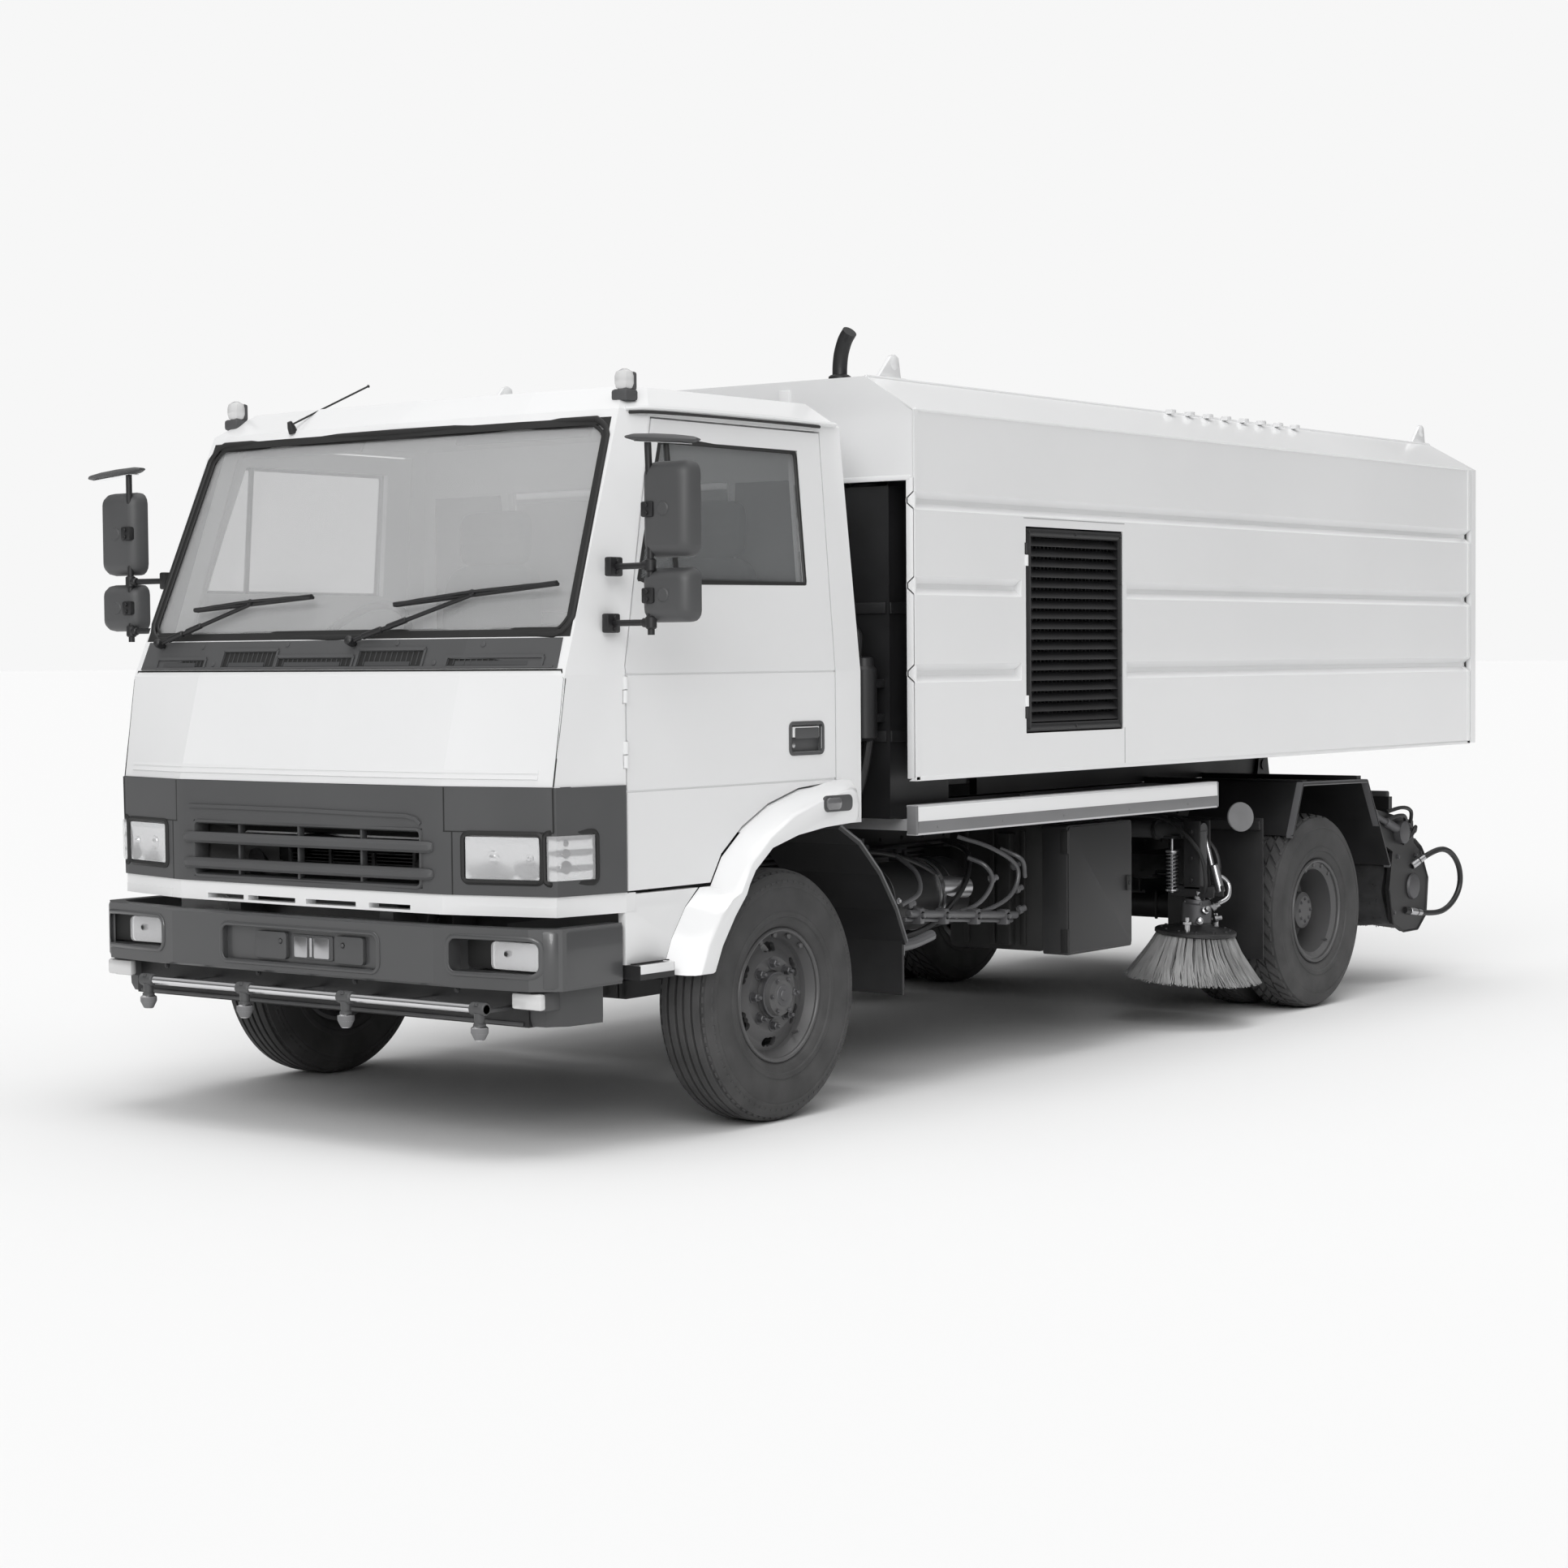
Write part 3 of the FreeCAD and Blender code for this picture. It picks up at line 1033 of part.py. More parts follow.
groove_fills += [mirror("groove_end_right", fill) for fill in groove_fills]
louvre_line = (dim.hopper_half_width, louvre_ends[0] - 3)
panel_barrels, panel_room = barrels("panel_barrel", "z", louvre_line, 8, ((1300, 1340), (1900, 1940)))
side_barrels, side_room = barrels("side_barrel", "z", louvre_line, 8, ((1343, 1383), (1857, 1897)))
gate_line = (body_ends[1] + 3.5, dim.hopper_roof - 7)
gate_spots, roof_spots = (-800, -300, 240, 740), (-737, -237, 303, 803)
gate_barrels, gate_room = barrels("gate_barrel", "x", gate_line, 12,
                                  [(spot, spot + 60) for spot in gate_spots])
roof_barrels, roof_room = barrels("roof_barrel", "x", gate_line, 12,
                                  [(spot, spot + 60) for spot in roof_spots])
shell_cut = cut("shell_cut", fuse("body_skin", body_tube, front_sheet, *groove_fills), louvre_hole,
                mirror("louvre_hole_right", louvre_hole), *panel_room,
                *[mirror("panel_room_right", room) for room in panel_room], *gate_room)
keep("hopper_shell", fuse("hopper_shell", shell_cut, *side_barrels, *[mirror("side_barrel_right", one)
                                                                      for one in side_barrels],
                          *roof_barrels))
floor_sheet = block("floor_sheet", (dim.hopper_wall - dim.hopper_half_width,
                                    dim.hopper_half_width - dim.hopper_wall),
                    (front(dim.bulkhead_place), body_ends[1] - 5),
                    (dim.hopper_floor, dim.hopper_floor + dim.hopper_wall))
bulkhead_slab = block("bulkhead_slab", (-1300, 1300),
                      (front(dim.bulkhead_place), front(dim.bulkhead_place) + dim.hopper_wall),
                      (dim.hopper_floor, 2600))
bulkhead = common("bulkhead", bulkhead_slab, body_inside)
bearer_span = (subframe_span[0] + 18, subframe_span[1] - 18)
bearer = fuse("bearer", block("bearer_beam", bearer_span, (front(dim.bulkhead_place), pivot_y),
                              (subframe_top + 5, dim.hopper_floor)),
              block("bearer_heel", bearer_span, (pivot_y - 1, pivot_y + 38),
                    (dim.tip_height, dim.hopper_floor)),
              rod("bearer_nose", "x", (pivot_y, dim.tip_height), 38, bearer_span))
ram_cheeks = [block("ram_cheek", span, (front(4060), front(4140)), (1020, dim.hopper_floor))
              for span in ((130, 145), (215, 230))]
bearer_bore = rod("bearer_bore", "x", (pivot_y, dim.tip_height), dim.tip_pin_radius + 0.5, (200, 500))
bearers = cut("bearers", bearer, bearer_bore)
keep("hopper_floor", fuse("hopper_floor", floor_sheet, bulkhead, bearers,
                          mirror("bearers_right", bearers), *ram_cheeks))
lug_rows = (front(930), rear(1480))
lugs = []
for station in lug_rows:
    outline = ((station - 50, dim.hopper_roof), (station - 30, dim.hopper_roof + 70),
               (station + 30, dim.hopper_roof + 70), (station + 50, dim.hopper_roof))
    lugs.append(plate("lifting_lug", "x", outline, (roof_edge - 30, roof_edge - 14),
                      ((station, dim.hopper_roof + 36, 14),)))
stack_base = rod("stack_base", "z", (800, front(800)), 36, (dim.hopper_roof, dim.hopper_roof + 70))
stack_tip = strut("stack_tip", (800, front(800), 2575), (830, front(790), 2660), 30)
keep("roof_fittings", group("roof_fittings", fuse("air_stack", stack_base, stack_tip), *lugs,
                            *[mirror("lifting_lug_right", lug) for lug in lugs]))

blade_pitch = (dim.louvre_top - dim.louvre_bottom - 60) / dim.blade_count
door_face = dim.hopper_half_width
louvre_frame = cut("louvre_frame", block("louvre_panel", (door_face - 30, door_face), louvre_ends,
                                         (dim.louvre_bottom, dim.louvre_top)),
                   block("louvre_mouth", (door_face - 60, door_face + 20),
                         (louvre_ends[0] + 30, louvre_ends[1] - 30),
                         (dim.louvre_bottom + 30, dim.louvre_top - 30)))
blades = []
for index in range(int(dim.blade_count.value)):
    foot = dim.louvre_bottom + 30 + blade_pitch * index
    outline = ((door_face - 28, foot + blade_pitch * 0.85), (door_face - 4, foot + 4),
               (door_face - 2, foot + 6), (door_face - 26, foot + blade_pitch * 0.85 + 2))
    blades.append(plate("louvre_blade", "y", outline, (louvre_ends[0] + 29, louvre_ends[1] - 29)))
keep_sides("engine_door", fuse("engine_door", cut("louvre_rim", louvre_frame, *side_room), *blades,
                               *panel_barrels))

gate_ends = (body_ends[1] + 6, rear(dim.rear_overhang))
gate_outline = ((-dim.hopper_half_width, dim.hopper_bottom), (dim.hopper_half_width, dim.hopper_bottom),
                (dim.hopper_half_width, dim.hopper_shoulder), (roof_edge, dim.hopper_roof - 12),
                (-roof_edge, dim.hopper_roof - 12), (-dim.hopper_half_width, dim.hopper_shoulder))
gate_slab = plate("gate_slab", "y", gate_outline, gate_ends)
gate_panels = [block("gate_panel", x_span, (gate_ends[1] - 22, gate_ends[1] + 10), z_span)
               for x_span in ((-1085, -395), (-345, 345), (395, 1085))
               for z_span in ((1170, 1720), (1780, 2340))]
keep("tailgate", fuse("tailgate", cut("gate_cut", gate_slab, *gate_panels, *roof_room), *gate_barrels))


# ---------------------------------------------------------------- gutter brooms

def broom_disc(name, reach, station, lean):
    """Round plate with its motor above and a flared ring of bristles below."""
    radius = dim.gutter_broom_radius
    head = turned(name + "_plate", "z", (0, 0, 0), ((0, 0), (0, 165), (25, 165), (40, 60), (150, 60),
                                                    (150, 0)))
    bristles = turned(name + "_bristles", "z", (0, 0, 0),
                      ((0, 90), (0, 165), (-190, radius), (-190, radius - 70)))
    for piece in (head, bristles):
        piece.Placement = FreeCAD.Placement(Vec(0, 0, 0), FreeCAD.Rotation(Vec(0, 1, 0), lean.value))
        place(piece, reach, station, dim.broom_hub_height)
    return head, bristles


broom_station = front(dim.gutter_broom_place)
arm_tube = rod("arm_tube", "x", (broom_station, dim.arm_height), 34,
               (dim.arm_pivot_reach - 40, dim.gutter_broom_reach + 40))
arm_sleeve = rod("arm_sleeve", "y", (dim.arm_pivot_reach, dim.arm_height), 48,
                 (broom_station - 66, broom_station + 66))
arm_bore = rod("arm_bore", "y", (dim.arm_pivot_reach, dim.arm_height), 20.5,
               (broom_station - 200, broom_station + 200))
arm_drop = strut("arm_drop", (dim.gutter_broom_reach + 10, broom_station, dim.arm_height),
                 (dim.gutter_broom_reach + 8, broom_station, dim.broom_hub_height + 158), 40)
keep_sides("gutter_arm", cut("gutter_arm", fuse("arm_body", arm_tube, arm_sleeve, arm_drop), arm_bore))
head, bristles = broom_disc("gutter_broom", dim.gutter_broom_reach, broom_station,
                            dim.gutter_broom_tilt)
keep_sides("gutter_broom", fuse("gutter_broom", head, bristles))
arm_pin = rod("arm_pin", "y", (dim.arm_pivot_reach, dim.arm_height), 20,
              (broom_station - 98, broom_station + 98))
arm_lugs = [block("arm_lug", (dim.rail_gauge, dim.arm_pivot_reach + 40), span,
                  (dim.arm_height - 60, dim.arm_height + 50))
            for span in ((broom_station - 94, broom_station - 70),
                         (broom_station + 70, broom_station + 94))]
arm_pivot = fuse("arm_pivot", arm_pin, *arm_lugs)


# ---------------------------------------------------------------- rear roller broom

roller_y = rear(dim.roller_place)
lift_y = rear(dim.lift_place)
roller_core = rod("roller_core", "x", (roller_y, dim.roller_height), 70,
                  (-dim.roller_half_length, dim.roller_half_length))
keep("rear_roller", fuse("rear_roller", roller_core, turned("roller_bristles", "x",
                                                            (0, roller_y, dim.roller_height),
                                                            ((-dim.roller_half_length + 5, 60),
                                                             (-dim.roller_half_length + 5,
                                                              dim.roller_radius),
                                                             (dim.roller_half_length - 5,
                                                              dim.roller_radius),
                                                             (dim.roller_half_length - 5, 60)))))
end_outline = ((roller_y - 240, 440), (roller_y - 200, 280), (roller_y - 90, 236),
               (roller_y + 60, 236), (roller_y + 150, 300), (roller_y + 170, 470),
               (roller_y + 90, 600), (roller_y - 60, 690), (roller_y - 200, 640))
end_span = (dim.roller_half_length + 25, dim.roller_half_length + 45)
end_plate = plate("roller_end", "x", end_outline, end_span)
lift_outline = ((lift_y - 45, dim.lift_height - 40), (lift_y + 10, dim.lift_height - 55),
                (roller_y - 60, 560), (roller_y + 20, 600), (roller_y + 15, 745),
                (lift_y + 20, dim.lift_height + 45), (lift_y - 45, dim.lift_height + 40))
lift_arm = plate("lift_arm", "x", lift_outline, (end_span[0] - 4, end_span[1]))
lift_bore = rod("lift_bore", "x", (lift_y, dim.lift_height), 18.5, (800, 1300))
stub = rod("roller_stub", "x", (roller_y, dim.roller_height), 30, (dim.roller_half_length + 3,
                                                                   end_span[1]))
side_frame = cut("lift_side", fuse("lift_side_raw", end_plate, lift_arm, stub), lift_bore)
cross_tube = rod("lift_cross_tube", "x", (roller_y - 30, 705), 34, (-end_span[1], end_span[1]))
# ---------------------------------------------------------------- broom hose

HOSE_RADIUS = 13
hose_points = ((1052, 1215, 560), (1100, 1290, 612), (1120, 1400, 600), (1125, 1500, 520),
               (1120, 1520, 415), (1100, 1450, 330), (1078, 1330, 300), (1050, 1195, 320))


def tangent_path(points):
    """Straight runs joined by tangent arcs as one wire; also gives the arc radii."""
    edges, radii = [], []
    last = points[0]
    for before, middle, after in zip(points, points[1:], points[2:]):
        come = (middle - before)
        leave = (after - middle)
        turn = come.getAngle(leave)
        setback = 0.45 * min(come.Length, leave.Length)
        radii.append(setback / math.tan(turn / 2))
        start = middle - come.normalize() * setback
        end = middle + leave.normalize() * setback
        inward = (start + end) * 0.5 - middle
        gap = radii[-1] / math.cos(turn / 2) - radii[-1]
        top = middle + inward.normalize() * gap
        edges.append(Part.LineSegment(last, start).toShape())
        edges.append(Part.Arc(start, top, end).toShape())
        last = end
    edges.append(Part.LineSegment(last, points[-1]).toShape())
    return Part.Wire(edges), radii


route = [Vec(x, rear(y).value, z) for x, y, z in hose_points]
hose_wire, hose_radii = tangent_path(route)
profile = Part.Wire([Part.Circle(route[0], route[1] - route[0], HOSE_RADIUS).toShape()])
hose = DOC.addObject("Part::Feature", "broom_hose")
hose.Shape = hose_wire.makePipeShell([profile], True, False)
keep("broom_hose", hose)
print("hose length %.0f radii %s" % (hose_wire.Length, [round(radius) for radius in hose_radii]))
print("hose volume ratio %.4f" % (hose.Shape.Volume / (math.pi * HOSE_RADIUS ** 2 * hose_wire.Length)))

def fitting(name, end, beyond, length):
    """Hose fitting in line with the hose, from its end back into the end plate."""
    back = end + (end - beyond).normalize() * length
    return strut(name, (back.x, back.y, back.z), (end.x, end.y, end.z), HOSE_RADIUS + 3)


fittings = [fitting("hose_feed", route[0], route[1], 50), fitting("hose_return", route[-1], route[-2],
                                                                  96)]
keep("roller_frame", fuse("roller_frame", side_frame, mirror("lift_side_right", side_frame),
                          cross_tube, *fittings))
lift_pin = rod("lift_pin", "x", (lift_y, dim.lift_height), 18, (end_span[0] - 60, end_span[1] + 12))
lift_plate = block("lift_hanger", (end_span[0] - 60, end_span[0] - 30), (lift_y - 50, lift_y + 50),
                   (dim.lift_height - 45, 905))
lift_beam = block("lift_beam", (dim.rail_gauge, end_span[0] - 30), (lift_y - 45, lift_y + 45),
                  (860, 905))
hanger = fuse("broom_hanger", lift_pin, lift_plate, lift_beam)
keep("broom_pivots", group("broom_pivots", hanger, arm_pivot, mirror("broom_hanger_right", hanger),
                           mirror("arm_pivot_right", arm_pivot)))


# ---------------------------------------------------------------- tipping cylinder

cylinder_x = 180
barrel_foot = (cylinder_x, front(2900), 722)
rod_eye = (cylinder_x, front(4100), 1058)


def along(first, second, share):
    """Point part of the way between two points."""
    return tuple(as_size(a) + (as_size(b) - a) * share for a, b in zip(first, second))


barrel = strut("barrel_tube", along(barrel_foot, rod_eye, 0.085), along(barrel_foot, rod_eye, 0.72), 55)
neck = strut("barrel_neck", barrel_foot, along(barrel_foot, rod_eye, 0.10), 27)
barrel_bore = strut("barrel_bore", along(barrel_foot, rod_eye, 0.14),
                    along(barrel_foot, rod_eye, 0.80), 33)
barrel_eye = rod("barrel_eye", "x", (front(2900), 722), 45, (cylinder_x - 30, cylinder_x + 30))
eye_bore = rod("eye_bore", "x", (front(2900), 722), 22.5, (cylinder_x - 60, cylinder_x + 60))
keep("tip_barrel", cut("tip_barrel", fuse("barrel_body", barrel, neck, barrel_eye), barrel_bore,
                       eye_bore))
ram = strut("ram", along(barrel_foot, rod_eye, 0.18), along(barrel_foot, rod_eye, 0.985), 30)
ram_eye = rod("ram_eye", "x", (front(4100), 1058), 40, (cylinder_x - 28, cylinder_x + 28))
ram_bore = rod("ram_bore", "x", (front(4100), 1058), 24, (cylinder_x - 60, cylinder_x + 60))
keep("tip_ram", cut("tip_ram", fuse("ram_body", ram, ram_eye), ram_bore))
foot_pin = rod("foot_pin", "x", (front(2900), 722), 22, (cylinder_x - 50, cylinder_x + 50))
foot_cheeks = [block("foot_cheek", span, (front(2862), front(2938)), (dim.rail_bottom, 765))
               for span in ((cylinder_x - 50, cylinder_x - 35), (cylinder_x + 35, cylinder_x + 50))]
foot_beam = block("foot_beam", (-rail_inner, rail_inner), (front(2850), front(2950)),
                  (dim.rail_bottom - 28, dim.rail_bottom))
keep("cylinder_foot", fuse("cylinder_foot", foot_pin, *foot_cheeks, foot_beam))


# ---------------------------------------------------------------- checks and files

DOC.recompute()
for thing in DOC.Objects:
    if "Invalid" in thing.State or "Error" in thing.State:
        raise RuntimeError("object failed: %s %s" % (thing.Label, thing.getStatusString()))
labels = [node.Label for node in NODES]
if len(set(labels)) != len(labels):
    raise RuntimeError("two nodes share one name")
for node in NODES:
    if node.Shape.isNull() or not node.Shape.isValid() or not node.Shape.Solids:
        raise RuntimeError("bad solid: " + node.Label)
os.makedirs("parts", exist_ok=True)
for node in NODES:
    node.Shape.exportStep("parts/%s.step" % node.Label)
    limits = node.Shape.BoundBox
    print("%-22s %3d solids  x %6.0f %6.0f  y %6.0f %6.0f  z %6.0f %6.0f"
          % (node.Label, len(node.Shape.Solids), limits.XMin, limits.XMax,
             limits.YMin, limits.YMax, limits.ZMin, limits.ZMax))
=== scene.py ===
"""Looks of a truck-mounted street sweeper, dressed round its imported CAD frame.

Metres throughout: +Z is up, the truck faces -Y and +X is its left side.
"""

import json
import logging
import math
import random
from dataclasses import dataclass, field
from enum import Enum
from typing import Callable, Dict, Iterable, List, Optional, Sequence, Tuple

import bmesh
import bpy
from mathutils import Matrix, Vector

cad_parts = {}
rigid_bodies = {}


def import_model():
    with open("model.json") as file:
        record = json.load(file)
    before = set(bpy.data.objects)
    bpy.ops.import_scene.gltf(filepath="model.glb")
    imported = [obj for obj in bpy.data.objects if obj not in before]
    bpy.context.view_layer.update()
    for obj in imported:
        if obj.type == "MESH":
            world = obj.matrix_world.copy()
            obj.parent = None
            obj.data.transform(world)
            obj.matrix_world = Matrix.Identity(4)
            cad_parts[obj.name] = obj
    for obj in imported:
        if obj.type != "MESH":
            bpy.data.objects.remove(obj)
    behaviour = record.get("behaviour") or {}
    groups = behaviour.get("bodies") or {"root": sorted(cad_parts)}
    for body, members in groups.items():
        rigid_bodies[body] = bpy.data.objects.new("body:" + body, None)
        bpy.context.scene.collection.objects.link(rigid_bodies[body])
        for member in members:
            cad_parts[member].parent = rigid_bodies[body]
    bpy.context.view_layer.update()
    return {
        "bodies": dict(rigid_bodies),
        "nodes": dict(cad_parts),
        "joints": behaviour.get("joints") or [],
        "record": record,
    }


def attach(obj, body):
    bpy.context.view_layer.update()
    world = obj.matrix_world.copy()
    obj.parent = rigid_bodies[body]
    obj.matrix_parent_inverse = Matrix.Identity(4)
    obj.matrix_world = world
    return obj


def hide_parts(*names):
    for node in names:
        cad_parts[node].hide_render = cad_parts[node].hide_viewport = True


LOG = logging.getLogger("sweeper")

Point = Tuple[float, float, float]
Colour = Tuple[float, float, float]

FRONT_AXLE = -2.1175
REAR_AXLE = 1.6825
AXLE_HEIGHT = 0.418
SIDES: Dict[str, int] = {"left": 1, "right": -1}


def front(distance: float) -> float:
    """Station measured back from the front axle.

    Args:
        distance: metres behind the front axle.

    Returns:
        The y coordinate.
    """
    return FRONT_AXLE + distance


def rear(distance: float) -> float:
    """Station measured back from the rear axle.

    Args:
        distance: metres behind the rear axle.

    Returns:
        The y coordinate.
    """
    return REAR_AXLE + distance


# ------------------------------------------------------------------ finishes


class Grain(Enum):
    """Surface structure that a finish carries."""

    SPRAYED = "sprayed"
    MOULDED = "moulded"
    CAST = "cast"
    RUBBED = "rubbed"
    BRUSHED = "brushed"
    WOVEN = "woven"
    FIBRE = "fibre"
    CLEAR = "clear"


# grain, scale of the fine structure, its depth, and scale of the cloudy variation
GRAIN_ROWS: Dict[Grain, Tuple[float, float, float]] = {
    Grain.SPRAYED: (260.0, 0.00004, 1.3),
    Grain.MOULDED: (900.0, 0.00025, 3.0),
    Grain.CAST: (420.0, 0.0006, 6.0),
    Grain.RUBBED: (520.0, 0.0004, 9.0),
    Grain.BRUSHED: (700.0, 0.00008, 4.0),
    Grain.WOVEN: (600.0, 0.0006, 5.0),
    Grain.FIBRE: (60.0, 0.0008, 14.0),
    Grain.CLEAR: (30.0, 0.00002, 1.0),
}


@dataclass(frozen=True)
class Finish:
    """One finish of the truck, with everything its node tree needs."""

    name: str
    slot: str
    colour: Colour
    roughness: float
    grain: Grain
    variation: float = 0.08
    metallic: float = 0.0
    coat: float = 0.0
    alpha: float = 1.0
    dust: float = 0.0
    dust_top: float = 0.9
    stretch: Tuple[float, float, float] = (1.0, 1.0, 1.0)
    glow: float = 0.0

    def material(self) -> bpy.types.Material:
        """Builds the procedural material once and gives the same one afterwards.

        Returns:
            The material of this finish.
        """
        made = bpy.data.materials.get(self.name)
        if made is not None:
            return made
        made = bpy.data.materials.new(self.name)
        made.use_nodes = True
        tree = made.node_tree
        shader = tree.nodes["Principled BSDF"]
        fine, depth, cloudy = GRAIN_ROWS[self.grain]
        coordinates = tree.nodes.new("ShaderNodeTexCoord")
        mapping = tree.nodes.new("ShaderNodeMapping")
        mapping.inputs["Scale"].default_value = self.stretch
        tree.links.new(coordinates.outputs["Object"], mapping.inputs["Vector"])
        clouds = self._noise(tree, mapping, cloudy, 4.0)
        colour = self._ramp(tree, clouds, self._shade(1 - self.variation),
                            self._shade(1 + self.variation))
        if self.dust > 0:
            colour = self._dusted(tree, coordinates, clouds, colour)
        tree.links.new(colour, shader.inputs["Base Color"])
        rough = tree.nodes.new("ShaderNodeMapRange")
        rough.inputs["To Min"].default_value = max(0.02, self.roughness - 0.06)
        rough.inputs["To Max"].default_value = min(1.0, self.roughness + 0.08)
        tree.links.new(clouds.outputs["Fac"], rough.inputs["Value"])
        tree.links.new(rough.outputs["Result"], shader.inputs["Roughness"])
        texture = self._structure(tree, mapping, fine)
        bump = tree.nodes.new("ShaderNodeBump")
        bump.inputs["Distance"].default_value = depth
        bump.inputs["Strength"].default_value = 0.6
        tree.links.new(texture, bump.inputs["Height"])
        tree.links.new(bump.outputs["Normal"], shader.inputs["Normal"])
        shader.inputs["Metallic"].default_value = self.metallic
        shader.inputs["Coat Weight"].default_value = self.coat
        shader.inputs["Coat Roughness"].default_value = 0.08
        shader.inputs["Alpha"].default_value = self.alpha
        if self.glow > 0:
            shader.inputs["Emission Color"].default_value = (*self.colour, 1.0)
            shader.inputs["Emission Strength"].default_value = self.glow
        return made

    def _shade(self, factor: float) -> Tuple[float, float, float, float]:
        """The colour made lighter or darker by a factor, with full alpha."""
        red, green, blue = (min(1.0, part * factor) for part in self.colour)
        return (red, green, blue, 1.0)

    def _noise(self, tree: bpy.types.NodeTree, source: bpy.types.Node, scale: float,
               detail: float) -> bpy.types.Node:
        """Adds a noise texture.

        Args:
            tree: node tree of the material.
            source: node whose Vector output feeds the texture.
            scale: size of the noise, in waves per metre.
            detail: octaves of detail.

        Returns:
            The noise node.
        """
        noise = tree.nodes.new("ShaderNodeTexNoise")
        noise.inputs["Scale"].default_value = scale
        noise.inputs["Detail"].default_value = detail
        tree.links.new(source.outputs["Vector"], noise.inputs["Vector"])
        return noise

    def _ramp(self, tree: bpy.types.NodeTree, source: bpy.types.Node, low: Sequence[float],
              high: Sequence[float]) -> bpy.types.NodeSocket:
        """Turns a noise into a run between two colours.

        Args:
            tree: node tree of the material.
            source: noise node.
            low: colour of the troughs.
            high: colour of the crests.

        Returns:
            The colour output.
        """
        ramp = tree.nodes.new("ShaderNodeValToRGB")
        ramp.color_ramp.elements[0].position = 0.32
        ramp.color_ramp.elements[1].position = 0.70
        ramp.color_ramp.elements[0].color = low
        ramp.color_ramp.elements[1].color = high
        tree.links.new(source.outputs["Fac"], ramp.inputs["Fac"])
        return ramp.outputs["Color"]

    def _dusted(self, tree: bpy.types.NodeTree, coordinates: bpy.types.Node, clouds: bpy.types.Node,
                colour: bpy.types.NodeSocket) -> bpy.types.NodeSocket:
        """Lays pale road dust over the colour, thicker towards the ground.

        Args:
            tree: node tree of the material.
            coordinates: texture coordinate node.
            clouds: noise that breaks the dust up.
            colour: the clean colour.

        Returns:
            The dusted colour.
        """
        split = tree.nodes.new("ShaderNodeSeparateXYZ")
        tree.links.new(coordinates.outputs["Object"], split.inputs["Vector"])
        fall = tree.nodes.new("ShaderNodeMapRange")
        fall.inputs["From Min"].default_value = 0.0
        fall.inputs["From Max"].default_value = self.dust_top
        fall.inputs["To Min"].default_value = self.dust
        fall.inputs["To Max"].default_value = 0.0
        tree.links.new(split.outputs["Z"], fall.inputs["Value"])
        patchy = tree.nodes.new("ShaderNodeMath")
        patchy.operation = "MULTIPLY"
        tree.links.new(fall.outputs["Result"], patchy.inputs[0])
        tree.links.new(clouds.outputs["Fac"], patchy.inputs[1])
        mix = tree.nodes.new("ShaderNodeMix")
        mix.data_type = "RGBA"
        mix.inputs[7].default_value = (0.36, 0.35, 0.34, 1.0)
        tree.links.new(patchy.outputs["Value"], mix.inputs[0])
        tree.links.new(colour, mix.inputs[6])
        return mix.outputs[2]

    def _structure(self, tree: bpy.types.NodeTree, mapping: bpy.types.Node,
                   scale: float) -> bpy.types.NodeSocket:
        """Fine height pattern of the surface.

        Args:
            tree: node tree of the material.
            mapping: node that gives the coordinates.
            scale: fineness of the pattern.

        Returns:
            The height output.
        """
        if self.grain is Grain.WOVEN:
            crossed = []
            for direction in ("X", "Z"):
                wave = tree.nodes.new("ShaderNodeTexWave")
                wave.bands_direction = direction
                wave.inputs["Scale"].default_value = scale * 0.2
                tree.links.new(mapping.outputs["Vector"], wave.inputs["Vector"])
                crossed.append(wave)
            weave = tree.nodes.new("ShaderNodeMath")
            weave.operation = "MAXIMUM"
            for index, wave in enumerate(crossed):
                tree.links.new(wave.outputs["Fac"], weave.inputs[index])
            return weave.outputs["Value"]
        if self.grain is Grain.MOULDED:
            cells = tree.nodes.new("ShaderNodeTexVoronoi")
            cells.inputs["Scale"].default_value = scale * 0.5
            tree.links.new(mapping.outputs["Vector"], cells.inputs["Vector"])
            return cells.outputs["Distance"]
        return self._noise(tree, mapping, scale, 3.0).outputs["Fac"]


